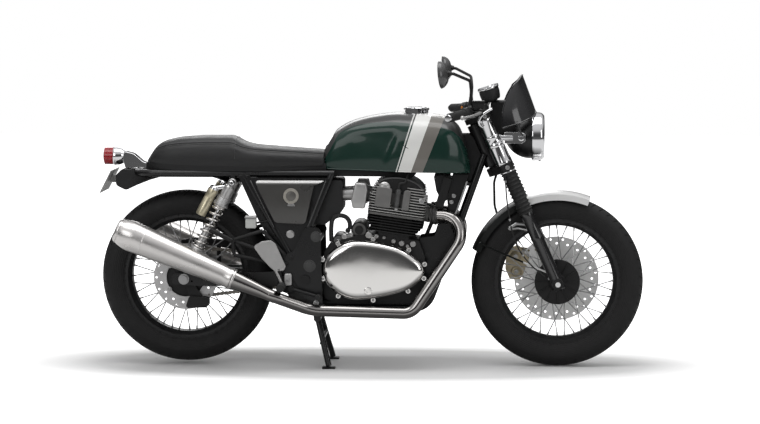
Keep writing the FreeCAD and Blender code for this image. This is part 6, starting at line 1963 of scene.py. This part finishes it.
def shoulder_spot(x, side, lift):
    low, high, half = section_at(seat_stations, x)
    aim = Vector((x, side * (half - 0.007) * 0.5, low + 0.7 * (high - low) - 0.012))
    way = Vector((0.0, side * 0.86, 0.5)).normalized()
    return onto_cover(aim + way * 0.2, -way, lift)


cross_welt_x = -0.505
welts = []
stitch_spots = []
for side in SIDES:
    line = [shoulder_spot(-0.8 + 0.625 * i / 60, side, 0.0006) for i in range(61)]
    line = [spot for spot in line if spot is not None]
    welts.append(tube("welt", line, 0.0021, welt_paint, steps=8))
    for index in range(len(line) - 1):
        for share in (0.25, 0.75):
            spot = line[index].lerp(line[index + 1], share) - Vector((0.0, 0.0, 0.0065))
            heading = (line[index + 1] - line[index]).normalized()
            hit = onto_cover(spot + Vector((0.0, side * 0.05, 0.0)), Vector((0.0, -side, 0.0)), 0.0006)
            if hit is not None:
                stitch_spots.append((hit, heading))


def cross_line(x, lift):
    spots = []
    for index in range(33):
        angle = math.pi * index / 32
        way = Vector((0.0, math.cos(angle), math.sin(angle)))
        spot = onto_cover(Vector((x, 0.0, 0.775)) + way * 0.3, -way, lift)
        if spot is not None and spot.z > 0.775:
            spots.append(spot)
    return spots


welts.append(tube("welt", cross_line(cross_welt_x, 0.0004), 0.0015, welt_paint, steps=8))
fit(joined("seat welts", welts), "chassis", "seat_cover")
verts = []
faces = []
for spot, heading in stitch_spots:
    base = len(verts)
    up = Vector((0.0, 0.0, 1.0))
    for along in (-0.0021, 0.0021):
        for a in range(5):
            angle = 2 * math.pi * a / 5
            offset = up * (0.0007 * math.sin(angle)) + Vector((0.0, 0.0007 * math.cos(angle), 0.0))
            verts.append(tuple(spot + heading * along + offset))
    faces += [(base + a, base + (a + 1) % 5, base + 5 + (a + 1) % 5, base + 5 + a) for a in range(5)]
    faces += [tuple(range(base + 4, base - 1, -1)), tuple(range(base + 5, base + 10))]
fit(make_piece("seat stitches", verts, faces, thread, sharp=60.0), "chassis", "seat_cover")
base_rings = []
for index in range(31):
    x = -0.846 + 0.68 * index / 30
    half = section_at(seat_stations, x)[2] - 0.008
    base_rings.append([Vector((x, half, 0.769)), Vector((x, half - 0.002, 0.74)),
        Vector((x, -half + 0.002, 0.74)), Vector((x, -half, 0.769))])
fit(skin("seat base", base_rings, matt_black, sharp=30.0), "chassis", "matt_plastic")
print("stitches", len(stitch_spots))

# %% [markdown]
# ## Engine covers
# The two big side covers are die cast, then ground and buffed to a mirror. A reflection shows every ripple,
# so the cover is laid as rings of one smooth closed curve: a straight wall, a rounded rim and a face that
# is nearly flat. Screws go round it on little bosses that stand out of its wall.

# %% Engine covers
cover_centre = at(0.018, 0.376)
cover_reach = [(-0.192, 0.002), (-0.166, 0.066), (-0.08, 0.11), (0.07, 0.092), (0.156, 0.044),
    (0.186, -0.004), (0.152, -0.056), (0.07, -0.092), (-0.08, -0.112), (-0.164, -0.068)]


def middle_value(p0, p1, p2, p3, t):
    """A smooth value between the middle two of four numbers, at a share t of the way."""
    line = (p2 - p0) * t
    square = (2 * p0 - 5 * p1 + 4 * p2 - p3) * t ** 2
    cube = (3 * p1 - p0 - 3 * p2 + p3) * t ** 3
    return 0.5 * (2 * p1 + line + square + cube)


def closed_curve(points, steps):
    """A smooth closed curve through 2-D points."""
    count = len(points)
    result = []
    for index in range(steps):
        place = count * index / steps
        k = int(place)
        four = [points[(k + shift) % count] for shift in (-1, 0, 1, 2)]
        result.append([middle_value(*(point[axis] for point in four), place - k) for axis in (0, 1)])
    return result


cover_curve = closed_curve(cover_reach, 160)
face_y = 0.105


def cover_ring(scale, depth):
    y = -face_y - depth
    return [Vector((cover_centre.x + x * scale, y, cover_centre.z + z * scale)) for x, z in cover_curve]


rim_steps = [(1.0, 0.0), (1.0, 0.034), (0.999, 0.037)]
for index in range(1, 17):
    angle = math.pi / 2 * index / 18
    rim_steps.append((1.0 - 0.19 * (1 - math.cos(angle)), 0.037 + 0.0255 * math.sin(angle)))
rim_steps += [(0.8, 0.0632), (0.72, 0.0643), (0.6, 0.0653), (0.45, 0.066), (0.25, 0.0664), (0.04, 0.0665)]
right_cover = skin("engine cover right", [cover_ring(s, d) for s, d in rim_steps], mirror_alloy, sharp=60.0)
screws = []
for index in range(10):
    x, z = cover_curve[int((index + 0.5) * 16) % 160]
    length = math.hypot(x, z)
    spot = Vector((cover_centre.x + x * (1 + 0.008 / length), -face_y,
        cover_centre.z + z * (1 + 0.008 / length)))
    screws.append(lathe("boss", [(0.0, 0.0), (0.0, 0.0105), (0.024, 0.0095), (0.026, 0.0085), (0.026, 0.0)],
        spot, (0, -1, 0), mirror_alloy, steps=28))
    screws.append(lathe("screw", [(0.0258, 0.0), (0.0258, 0.0055), (0.0305, 0.0052), (0.031, 0.0045),
        (0.031, 0.0028), (0.0285, 0.0026), (0.0285, 0.0)], spot, (0, -1, 0), zinc, steps=20))
plug_profile = [(0.06, 0.0), (0.06, 0.016), (0.067, 0.0155), (0.068, 0.014), (0.068, 0.0128),
    (0.0664, 0.0122), (0.0664, 0.0095), (0.069, 0.009), (0.069, 0.0065), (0.066, 0.006), (0.066, 0.0)]
plug = lathe("plug", plug_profile, at(-0.004, 0.3, -face_y), (0, -1, 0), mirror_alloy, steps=48)
right_details = joined("cover details right", screws + [plug])
left_cover = mirrored(right_cover, "engine cover left")
left_details = mirrored(right_details, "cover details left")
fit(right_cover, "chassis", "polished_alloy", "clutch_cover")
fit(left_cover, "chassis", "polished_alloy", "generator_cover")
fit(right_details, "chassis", "polished_alloy")
fit(left_details, "chassis", "polished_alloy")
print("cover rings", len(rim_steps))

# %% [markdown]
# ## Engine details
# The starter and its clutch show above the gearbox as bare alloy drums with ribbed ends. The head has two
# spark plugs with black caps and leads that dip behind the cover, banjo bolts, upright columns between its
# fins, and domes over the cam ends. The cam cover has black bolts and low ribs over its arch, painted
# lighter grey as a painted highlight along its curve.

# %% Starter, caps and bolts
nodes["crankcase"].data.materials[0] = black_coat
drum_metal = finish("starter drum", (0.15, 0.148, 0.145), 0.36, metallic=0.7, mottle=0.15, mottle_size=0.02)
drums = []
for x, z, low, high, radius in ((-0.042, 0.52, -0.0885, 0.06, 0.0306),
        (-0.118, 0.478, -0.0925, 0.05, 0.0246)):
    profile = [(low, 0.0), (low, radius - 0.006), (low + 0.003, radius - 0.002), (low + 0.006, radius)]
    for index in range(6):
        base = low + 0.01 + index * 0.005
        profile += [(base, radius), (base + 0.001, radius - 0.0016), (base + 0.003, radius - 0.0016),
            (base + 0.004, radius)]
    profile += [(high, radius), (high, 0.0)]
    drums.append(lathe("drum", profile, at(x, z), Y_AXIS, drum_metal, steps=56))
    drums.append(bolt("bolt", at(x, z, low), (0, -1, 0), 0.013, 0.006, zinc))
fit(joined("starter drums", drums), "chassis", "cast_alloy")

plug_cap = finish("plug cap", (0.055, 0.055, 0.055), 0.32)
head_low = 0.078
head_details = []
caps = []
for side in SIDES:
    cap_foot = engine_point(-0.002, head_low + 0.034, 0.125 * side)
    cap_way = (engine_up + Vector((0.0, 0.16 * side, 0.0))).normalized()
    caps.append(lathe("cap", [(0.0, 0.0), (0.0, 0.0085), (0.004, 0.0105), (0.018, 0.0112), (0.02, 0.0098),
        (0.052, 0.0092), (0.054, 0.0104), (0.066, 0.01), (0.072, 0.006), (0.072, 0.0)], cap_foot, cap_way,
        plug_cap, steps=32))
    head_details.append(lathe("hexagon", [(-0.01, 0.0), (-0.01, 0.0105), (0.001, 0.0105), (0.001, 0.0)],
        cap_foot, cap_way, zinc, steps=6, sharp=20.0))
    lead_root = cap_foot + cap_way * 0.07
    lead = curve_3d([lead_root, lead_root + engine_up * 0.022,
        engine_point(0.016, head_low + 0.132, 0.131 * side),
        engine_point(0.022, head_low + 0.152, 0.11 * side),
        engine_point(0.022, head_low + 0.16, 0.06 * side)], 30)
    caps.append(tube("lead", lead, 0.004, soft_rubber, steps=12))
    dome_spot = engine_point(-0.056, head_low + 0.103, 0.12 * side)
    dome = [(0.0, 0.0), (0.0, 0.0215), (0.01, 0.0215)] + arc_points((0.01, 0.021), (0.015, 0.014),
        (0.017, 0.0008), 8) + [(0.017, 0.0)]
    head_details.append(lathe("dome", dome, dome_spot, (0, side, 0), aluminium, steps=40))
    for fore in (-0.078, -0.03, 0.04, 0.08):
        spot = engine_point(fore, 0.164 + 0.006 + 0.04 * (1 - (fore / 0.092) ** 2), 0.1215 * side)
        head_details.append(bolt("bolt", spot, (0, side, 0), 0.008, 0.004, black_coat))
    head_details.append(bolt("banjo", engine_point(0.088, head_low + 0.074, 0.1365 * side), (0, side, 0),
        0.015, 0.008, zinc))
    for low_fore, high_fore, top in ((-0.084, -0.026, 0.104), (0.018, 0.044, 0.104)):
        corner = [engine_point(f, u) for f, u in ((low_fore, head_low + 0.03), (high_fore, head_low + 0.03),
            (high_fore, head_low + top), (low_fore, head_low + top))]
        outline = round_outline([(c.x, c.z) for c in corner], [0.004, 0.004, 0.01, 0.01])
        head_details.append(side_slab("column", outline, side, 0.118, 0.1397, fin_alloy))
fit(joined("head details", head_details), "chassis", "cast_alloy")
fit(joined("plug caps and leads", caps), "chassis", "rubber")


# The ribs are painted lighter grey than the black cover: a painted highlight along its curve.
cam_rib_highlight_paint = finish("worn cover edge", (0.085, 0.085, 0.085), 0.35, metallic=0.3)


def cam_rib(fore):
    """A low rib over the arched cam cover, painted lighter grey as a painted highlight."""
    spots = ((-0.092, 0.0), (-0.086, 0.026), (-0.052, 0.05), (0.0, 0.058), (0.052, 0.05), (0.086, 0.026),
        (0.092, 0.0))
    outer = through([(f, u + 0.164 + 0.0006) for f, u in spots], 30)
    return tube("rib", [engine_point(f, u, fore) for f, u in outer], 0.0024, cam_rib_highlight_paint, steps=8)


fit(joined("cam cover ribs", [cam_rib(y) for y in (-0.1215, -0.06, 0.06, 0.1215)]), "chassis",
    "black_casting")
print("starter, plugs and cam cover done")

# %% [markdown]
# ## Head fins
# A head's fins are cast black and their edges are machined bright afterwards, which draws the thin silver
# lines of the photograph. A narrow strip follows the edge of every fin, so the lines stay bright from any
# side.

# %% Bright fin edges


def fin_loop(reach, half, level, corner, thickness, out):
    """The edge of one fin as a closed band of quads, standing a hair outside the solid fin."""
    outline = round_outline([(-reach, -half), (reach, -half), (reach, half), (-reach, half)], corner)
    count = len(outline)
    verts = []
    for rise, grow in ((0.0004, 0.0), (0.0004, out), (thickness - 0.0004, out), (thickness - 0.0004, 0.0)):
        for fore, y in outline:
            scale_f = (reach + grow) / reach
            scale_y = (half + grow) / half
            verts.append(engine_point(fore * scale_f, level + rise, y * scale_y))
    last = 3 * count
    faces = ring_quads(4, count)
    faces += [(i, (i + 1) % count, last + (i + 1) % count, last + i) for i in range(count)]
    return make_piece("fin", verts, faces, fin_edge, sharp=25.0)


fin_edge = finish("machined fin edge", (0.42, 0.415, 0.405), 0.38, metallic=0.35, mottle=0.12,
    mottle_size=0.02, smear=0.08)
bright_fins = []
for index in range(1, 12):
    above = max(0, index - 7)
    reach = 0.106 - above * 0.0035
    rise = 0.002 + index * 0.01
    band = fin_loop(reach, 0.136, head_low + rise, 0.024, 0.0036, 0.0009)
    shell = bmesh.new()
    shell.from_mesh(band.data)
    share = (rise - 0.034) / 0.06
    if share > -0.1:
        low_fore = -0.022 - 0.012 * share
        high_fore = 0.016 + 0.01 * share
        for cut_fore in (low_fore, high_fore):
            bmesh.ops.bisect_plane(shell, geom=shell.verts[:] + shell.edges[:] + shell.faces[:],
                plane_co=engine_point(cut_fore, 0.1, 0.0), plane_no=engine_fore, dist=1e-7)
        inside = []
        for face in shell.faces:
            middle = face.calc_center_median() - barrel_foot
            fore = middle.dot(engine_fore)
            if low_fore < fore < high_fore and abs(middle.y) > 0.12:
                inside.append(face)
        bmesh.ops.delete(shell, geom=inside, context="FACES")
        bmesh.ops.holes_fill(shell, edges=[e for e in shell.edges if e.is_boundary], sides=4)
        bmesh.ops.recalc_face_normals(shell, faces=shell.faces)
    shell.to_mesh(band.data)
    shell.free()
    bright_fins.append(band)
fit(joined("bright fin edges", bright_fins), "chassis", "cast_alloy")
nodes["cylinder_head"].data.materials[0] = finish("head casting", (0.12, 0.118, 0.115), 0.45, metallic=0.3,
    mottle=0.2, grain=0.4, grain_size=0.0025)
print("engine details done")

# %% [markdown]
# ## Oil cooler
# The cooler is a stack of flat tubes with folded fins between them, in a black frame. One thin louvre is
# repeated up the front of the solid core.

# %% Oil cooler louvres
cooler_low = at(0.243, 0.612)
cooler_up = (at(0.276, 0.72) - cooler_low).normalized()
cooler_out = Vector((cooler_up.z, 0.0, -cooler_up.x))
cooler_face = finish("cooler fins", (0.2, 0.2, 0.2), 0.45, metallic=0.8, mottle=0.1)
louvres = []
louvre_gap = 0.006
louvre_half = 0.084
for index in range(18):
    foot = cooler_low + cooler_up * (louvre_gap * (1 + index)) + cooler_out * 0.0004
    corners = []
    for out, up in ((0.0, 0.0), (0.0022, 0.0008), (0.0022, 0.002), (0.0, 0.0028)):
        for y in (-louvre_half, louvre_half):
            spot = foot + cooler_out * out + cooler_up * up
            corners.append((spot.x, y, spot.z))
    louvres.append(make_piece("louvre", corners, [(0, 1, 3, 2), (2, 3, 5, 4), (4, 5, 7, 6), (6, 7, 1, 0),
        (0, 2, 4, 6), (1, 3, 5, 7)], cooler_face))
fit(joined("cooler louvres", louvres), "chassis", "cast_alloy")
print("cooler done")

# %% [markdown]
# ## Throttle covers
# A plain pressed cover hides each throttle body. It is a shallow pod: a satin face with a wide rounded
# edge.

# %% Throttle pods
pod_outline = [(-0.055, 0.7005), (-0.0155, 0.6985), (-0.0095, 0.672), (-0.0195, 0.6035), (-0.0645, 0.6055),
    (-0.0705, 0.636)]
pod_middle = (-0.038, 0.653)


def pod_ring(grow, y):
    outline = round_outline(pod_outline, [0.008, 0.008, 0.01, 0.008, 0.008, 0.012])
    return [Vector((pod_middle[0] + (p[0] - pod_middle[0]) * grow, y,
        pod_middle[1] + (p[1] - pod_middle[1]) * grow)) for p in outline]


pods = []
for side in SIDES:
    steps = [(1.01, 0.1), (1.01, 0.1175), (0.99, 0.1205), (0.95, 0.1228), (0.9, 0.1242), (0.82, 0.125),
        (0.6, 0.1256), (0.3, 0.1258), (0.02, 0.1259)]
    pods.append(skin("pod", [pod_ring(grow, y * side) for grow, y in steps], aluminium, sharp=60.0))
fit(joined("throttle pods", pods), "chassis", "cast_alloy")
print("throttle pods done")

# %% [markdown]
# ## Side panels and their webs
# The panel is a shallow pressing: its top edge rolls out and catches the light, and the paint along that
# edge is lighter as a painted highlight. A plain badge sits near its top. Behind it a black web fills the V
# of the frame, with a bead along its edge and two bolts.

# %% Side panels
panel_outline = [(-0.426, 0.709), (-0.16, 0.709), (-0.206, 0.696), (-0.24, 0.546), (-0.352, 0.552),
    (-0.412, 0.672)]


def panel_depth(x, z):
    """The panel's face. Its top edge rolls inward, and its front corner turns away from the knee."""
    roll = max(0.0, (z - 0.695) / 0.014)
    turn = max(0.0, (x - (-0.246 + (z - 0.552) * 0.36)) / 0.04)
    bulge = 0.0022 * math.sin(math.pi * min(1.0, max(0.0, (z - 0.552) / 0.15)))
    return -(0.149 + bulge - 0.011 * roll ** 2 - 0.007 * min(1.0, turn))


def panel_ring(grow, y=None):
    outline = round_outline(panel_outline, [0.01, 0.008, 0.016, 0.02, 0.02, 0.016], steps=8)
    middle_x, middle_z = -0.31, 0.64
    ring = []
    for index in range(len(outline)):
        here, following = outline[index], outline[(index + 1) % len(outline)]
        parts = max(1, round(math.dist(here, following) / 0.008))
        for part in range(parts):
            share = part / parts
            x = middle_x + (here[0] + (following[0] - here[0]) * share - middle_x) * grow
            z = middle_z + (here[1] + (following[1] - here[1]) * share - middle_z) * grow
            ring.append(Vector((x, panel_depth(x, z) if y is None else y, z)))
    return ring


panel_rings = [panel_ring(1.0, -0.131), panel_ring(1.0, -0.134)]
panel_rings += [panel_ring(grow) for grow in (0.999, 0.99, 0.975, 0.955, 0.93, 0.9, 0.86, 0.81, 0.74, 0.65,
    0.55, 0.45, 0.35, 0.25, 0.15, 0.02)]
right_panel = skin("side panel right", panel_rings, panel_paint, sharp=60.0)
post_parts = []
for x, z in ((-0.38, 0.69), (-0.22, 0.69), (-0.3, 0.56)):
    post_parts.append(lathe("post", [(0.0, 0.0), (0.0, 0.006), (0.018, 0.006), (0.018, 0.0)],
        at(x, z, -0.1255), (0, -1, 0), soft_rubber, steps=24))
posts = joined("panel posts right", post_parts)
left_posts = mirrored(posts, "panel posts left")
left_panel = mirrored(right_panel, "side panel left")
fit(right_panel, "chassis", "panel_paint", "side_panels")
fit(left_panel, "chassis", "panel_paint")
fit(joined("panel posts", [posts, left_posts]), "chassis", "rubber")
badge_pewter = finish("pewter badge", (0.4, 0.38, 0.34), 0.35, metallic=0.5, mottle=0.1, mottle_size=0.01)
panel_badge = badge("side badge right", -0.292, 0.652, -0.151, 0.0, 0.029, badge_pewter, badge_dark)
left_panel_badge = mirrored(panel_badge, "side badge left")
bars = [side_slab("bar", round_outline([(-0.306, 0.6135), (-0.278, 0.6135), (-0.28, 0.6235),
    (-0.304, 0.6235)], 0.002), side, 0.1495, 0.1535, badge_silver, bevel=0.0008) for side in SIDES]
fit(joined("side badges", [panel_badge, left_panel_badge] + bars), "chassis", "chrome")
plate_outline = [(-0.494, 0.727), (-0.45, 0.727), (-0.385, 0.6), (-0.338, 0.52), (-0.29, 0.44),
    (-0.27, 0.404), (-0.3, 0.372), (-0.373, 0.479), (-0.418, 0.558)]
for side in SIDES:
    outline = round_outline(plate_outline, 0.006)
    fit(side_slab("frame gusset " + SIDE_NAMES[side], outline, side, 0.106, 0.116, frame_enamel,
        bevel=0.002), "chassis", "black_frame")
web_outline = [(-0.446, 0.708), (-0.352, 0.52), (-0.312, 0.436), (-0.297, 0.424), (-0.281, 0.436),
    (-0.242, 0.512), (-0.164, 0.708)]
web_bead = []
bead_paint = finish("web edge", (0.1, 0.1, 0.1), 0.3, metallic=0.4)
for side in SIDES:
    path = [Vector((x, 0.1262 * side, z)) for x, z in through(web_outline, 60)]
    web_bead.append(tube("bead", path, 0.0026, bead_paint, steps=10))
    web_bead.append(bolt("bolt", at(-0.297, 0.507, 0.125 * side), (0, side, 0), 0.022, 0.008, aluminium,
        sides=24))
    web_bead.append(bolt("bolt", at(-0.393, 0.513, 0.116 * side), (0, side, 0), 0.011, 0.006, zinc))
fit(joined("web beads", web_bead), "chassis", "black_frame")
cap_black = finish("moulded bolt cap", (0.042, 0.042, 0.042), 0.5)
nodes["pivot_bolts"].data.materials[0] = black_coat
plate_bolts_list = []
for side in SIDES:
    for x, z, across_head, paint in ((-0.2, 0.5, 0.03, cap_black), (-0.224, 0.39, 0.034, cap_black),
            (-0.2, 0.25, 0.016, zinc), (-0.292, 0.42, 0.012, black_coat)):
        plate_bolts_list.append(bolt("bolt", at(x, z, 0.143 * side), (0, side, 0), across_head, 0.007,
            paint))
fit(joined("pivot plate bolts", plate_bolts_list), "chassis", "black_frame")
print("side panels done")

# %% [markdown]
# ## Footrests, heel plates and reservoirs
# The rider's footrest has a ribbed rubber, the pedal a small one, and a light alloy heel plate keeps the
# boot off the swingarm. The rear brake's reservoir is milky plastic with an alloy lid.

# %% Footrests and heel plates
heel_outline = [(-0.433, 0.464), (-0.402, 0.483), (-0.367, 0.487), (-0.35, 0.475), (-0.312, 0.391),
    (-0.318, 0.374), (-0.352, 0.369), (-0.4, 0.417)]
for side in SIDES:
    name = SIDE_NAMES[side]
    outer = 0.1614 * side
    outline = round_outline(heel_outline, [0.012, 0.014, 0.01, 0.014, 0.008, 0.01, 0.012, 0.016], steps=8)
    heel = side_slab("heel plate " + name, outline, side, 0.1566, 0.1614, aluminium, bevel=0.0012)
    smaller = [(x * 0.88 - 0.0445, z * 0.88 + 0.0515) for x, z in heel_outline + heel_outline[:1]]
    rim_path = [Vector((x, outer, z)) for x, z in through(smaller, 60)]
    edge = tube("edge", rim_path, 0.0012, aluminium, steps=8)
    arm = tube("arm", bend([(-0.352, 0.158 * side, 0.378), (-0.338, 0.158 * side, 0.35),
        (-0.326, 0.158 * side, 0.322)], [0.01]), 0.0055, aluminium, steps=14)
    fit(joined("heel plate with arm " + name, [heel, edge, arm]), "chassis", "cast_alloy")
    clevis = side_slab("clevis", round_outline([(-0.316, 0.318), (-0.29, 0.318), (-0.29, 0.362),
        (-0.316, 0.362)], 0.006), side, 0.15, 0.164, aluminium, bevel=0.002)
    fit(joined("footrest clevis " + name, [clevis, bolt("bolt", at(-0.303, 0.34, 0.164 * side),
        (0, side, 0), 0.01, 0.005, zinc)]), "chassis", "cast_alloy")
    peg = at(-0.325, 0.318, 0.172 * side)
    ribs = [(0.0, 0.0), (0.0, 0.0145)]
    for index in range(9):
        base = 0.004 + index * 0.0086
        ribs += [(base, 0.0138), (base + 0.0012, 0.0152), (base + 0.006, 0.0152), (base + 0.0072, 0.0138)]
    ribs += [(0.0835, 0.015), (0.0845, 0.012), (0.0845, 0.0)]
    fit(lathe("footrest rubber " + name, ribs, peg, (0, side, 0), soft_rubber, steps=40), "chassis",
        "rubber")
    toe = at(-0.19, 0.278, 0.17 * side)
    toe_profile = [(0.0, 0.0), (0.0, 0.0095), (0.004, 0.0102), (0.03, 0.0102), (0.033, 0.0088),
        (0.033, 0.0)]
    fit(lathe("pedal rubber " + name, toe_profile, toe, (0, side, 0), soft_rubber, steps=32), "chassis",
        "rubber")
tub = slab("tub", round_outline([(-0.464, 0.529), (-0.424, 0.529), (-0.424, 0.5665), (-0.464, 0.5665)],
    0.005), -0.141, -0.111, reservoir_white, bevel=0.003)
lid = slab("lid", round_outline([(-0.466, 0.5662), (-0.422, 0.5662), (-0.422, 0.575), (-0.466, 0.575)],
    0.003), -0.143, -0.109, aluminium)
fit(joined("rear reservoir", [tub, lid]), "chassis", "matt_plastic")
print("footrests done")

# %% [markdown]
# ## Drive chain
# A roller chain alternates pairs of inner and outer plates, waisted between their two pins, with a roller
# at every pin. One link of each kind is drawn as an outline and copied along the loop that the two
# sprockets set.

# %% Chain
pitch = 0.015875
chain_y = 0.088
output_shaft = at(-0.12, 0.35)
front_teeth = 15
rear_teeth = 38
plate_end_radius = 0.0068
plate_waist = 0.0046


def chain_spot(distance):
    """Point and heading at a distance along the loop, which starts at the top of the rear sprocket."""
    small = pitch / (2 * math.sin(math.pi / front_teeth))
    large = pitch / (2 * math.sin(math.pi / rear_teeth))
    gap = output_shaft - rear_axle
    slope = math.atan2(gap.z, gap.x)
    spread = math.asin((large - small) / gap.length)
    run = gap.length * math.cos(spread)
    top, low = slope + math.pi / 2 - spread, slope - math.pi / 2 + spread
    front_arc = small * (math.pi - 2 * spread)
    rear_arc = large * (math.pi + 2 * spread)
    total = 2 * run + front_arc + rear_arc
    distance = distance % total

    def rim_spot(centre, radius, angle):
        return Vector((centre.x + math.cos(angle) * radius, chain_y, centre.z + math.sin(angle) * radius))

    if distance < run:
        return rim_spot(rear_axle, large, top).lerp(rim_spot(output_shaft, small, top),
            distance / run), total
    distance -= run
    if distance < front_arc:
        return rim_spot(output_shaft, small, top - distance / small), total
    distance -= front_arc
    if distance < run:
        return rim_spot(output_shaft, small, low).lerp(rim_spot(rear_axle, large, low),
            distance / run), total
    return rim_spot(rear_axle, large, low - (distance - run) / large), total


def add_prism(outline, low_y, high_y, verts, faces):
    """Adds an (x, z) outline as a straight-sided piece between two values of Y to shared lists."""
    base, count = len(verts), len(outline)
    for y in (low_y, high_y):
        verts += [(x, y, z) for x, z in outline]
    faces.append(tuple(range(base, base + count)))
    faces.append(tuple(range(base + 2 * count - 1, base + count - 1, -1)))
    for i in range(count):
        following = (i + 1) % count
        faces.append((base + i, base + i + count, base + following + count, base + following))


def link_plate(start, end):
    """The outline of one waisted plate from pin to pin."""
    along = (end - start).normalized()
    square = Vector((-along.z, 0.0, along.x))
    outline = []
    for centre, first, waist in ((end, -90, plate_waist), (start, 90, -plate_waist)):
        outline += [turned_spot(centre, along, square, math.radians(first + step * 30),
            plate_end_radius) for step in range(7)]
        outline.append((start + end) / 2 + square * waist)
    return [(p.x, p.z) for p in outline]


def pin_outline(spot, radius, steps):
    turns = [2 * math.pi * s / steps for s in range(steps)]
    return [(spot.x + radius * math.cos(turn), spot.z + radius * math.sin(turn)) for turn in turns]


total_length = chain_spot(0.0)[1]
link_count = 2 * round(total_length / pitch / 2)
verts = []
faces = []
for index in range(link_count):
    start = chain_spot(total_length * index / link_count)[0]
    end = chain_spot(total_length * (index + 1) / link_count)[0]
    reach = (0.0062, 0.0076) if index % 2 else (0.0044, 0.0058)
    for way in SIDES:
        low, high = sorted((chain_y + way * reach[0], chain_y + way * reach[1]))
        add_prism(link_plate(start, end), low, high, verts, faces)
    add_prism(pin_outline(start, 0.005, 10), chain_y - 0.0043, chain_y + 0.0043, verts, faces)
    add_prism(pin_outline(start, 0.0025, 8), chain_y - 0.0084, chain_y + 0.0084, verts, faces)
fit(make_piece("chain links", verts, faces, chain_steel, sharp=30.0), "chassis", "steel", "chain")
print("links", link_count)

# %% [markdown]
# ## Small parts round the engine
# The gaps between the tank, the frame and the engine are filled with a wiring tray, coils, brackets and
# gussets. Above the cover a row of bright bosses joins the two crankcase halves, and the breather hose
# loops back.

# %% Tray, coils and bosses
tray_half = 0.066
outline = round_outline([(-0.175, 0.719), (0.07, 0.719), (0.15, 0.711), (0.172, 0.73), (0.15, 0.748),
    (-0.175, 0.748)], 0.005)
filler = [slab("tray", outline, -tray_half, tray_half, matt_black, bevel=0.002)]
for side in SIDES:
    outline = round_outline([(0.236, 0.722), (0.262, 0.727), (0.3, 0.724), (0.283, 0.68), (0.3, 0.64),
        (0.268, 0.622), (0.246, 0.668)], 0.006)
    filler.append(side_slab("coil", outline, side, 0.03, 0.074, matt_black, bevel=0.002))
    bracket = round_outline([(0.308, 0.73), (0.367, 0.73), (0.345, 0.661), (0.318, 0.571), (0.291, 0.581),
        (0.286, 0.645)], 0.006)
    filler.append(side_slab("bracket", bracket, side, 0.058, 0.073, frame_enamel, bevel=0.002))
    plate = round_outline([(0.183, 0.49), (0.239, 0.497), (0.254, 0.545), (0.299, 0.545), (0.318, 0.486),
        (0.302, 0.423), (0.257, 0.349), (0.213, 0.282), (0.17, 0.264)], 0.01)
    filler.append(side_slab("engine plate", plate, side, 0.058, 0.066, frame_enamel, bevel=0.002))
    gusset = round_outline([(0.33, 0.878), (0.372, 0.878), (0.386, 0.862), (0.413, 0.8), (0.416, 0.772),
        (0.378, 0.7), (0.36, 0.7), (0.363, 0.752), (0.348, 0.822)], 0.004)
    filler.append(side_slab("gusset", gusset, side, 0.02, 0.027, frame_enamel, bevel=0.002))
fit(joined("tray and coils", filler), "chassis", "matt_plastic")
bright = []
for side in SIDES:
    bright.append(tube("rod", [(0.318, 0.077 * side, 0.58), (0.361, 0.077 * side, 0.703)], 0.004, zinc,
        steps=12))
    bright.append(tube("rod", [(0.275, 0.078 * side, 0.64), (0.292, 0.078 * side, 0.706)], 0.004, zinc,
        steps=12))
    for x, z in ((0.312, 0.649), (0.303, 0.626)):
        bright.append(bolt("bolt", at(x, z, 0.08 * side), (0, side, 0), 0.011, 0.006, zinc))
    for x, z, radius, reach in ((-0.096, 0.498, 0.01, 0.112), (-0.07, 0.506, 0.007, 0.114),
            (-0.005, 0.504, 0.012, 0.113), (0.024, 0.499, 0.008, 0.115), (0.052, 0.494, 0.006, 0.112),
            (0.088, 0.481, 0.008, 0.112), (0.118, 0.473, 0.01, 0.113), (0.14, 0.462, 0.006, 0.114),
            (0.16, 0.47, 0.011, 0.108)):
        profile = [(0.0, 0.0), (0.0, radius), (0.014, radius), (0.016, radius - 0.002),
            (0.016, radius * 0.55), (0.012, radius * 0.5), (0.012, 0.0)]
        bright.append(lathe("boss", profile, at(x, z, (reach - 0.012) * side), (0, side, 0), aluminium,
            steps=24))
fit(joined("bosses and bolts", bright), "chassis", "cast_alloy")
hose_path = curve_3d([(-0.146, -0.09, 0.478), (-0.146, -0.096, 0.53), (-0.14, -0.096, 0.562),
    (-0.118, -0.097, 0.575), (-0.092, -0.096, 0.57), (-0.078, -0.094, 0.552), (-0.076, -0.09, 0.525)], 30)
fit(tube("breather hose", hose_path, 0.0085, soft_rubber, steps=16), "chassis", "rubber")
print("small parts done")
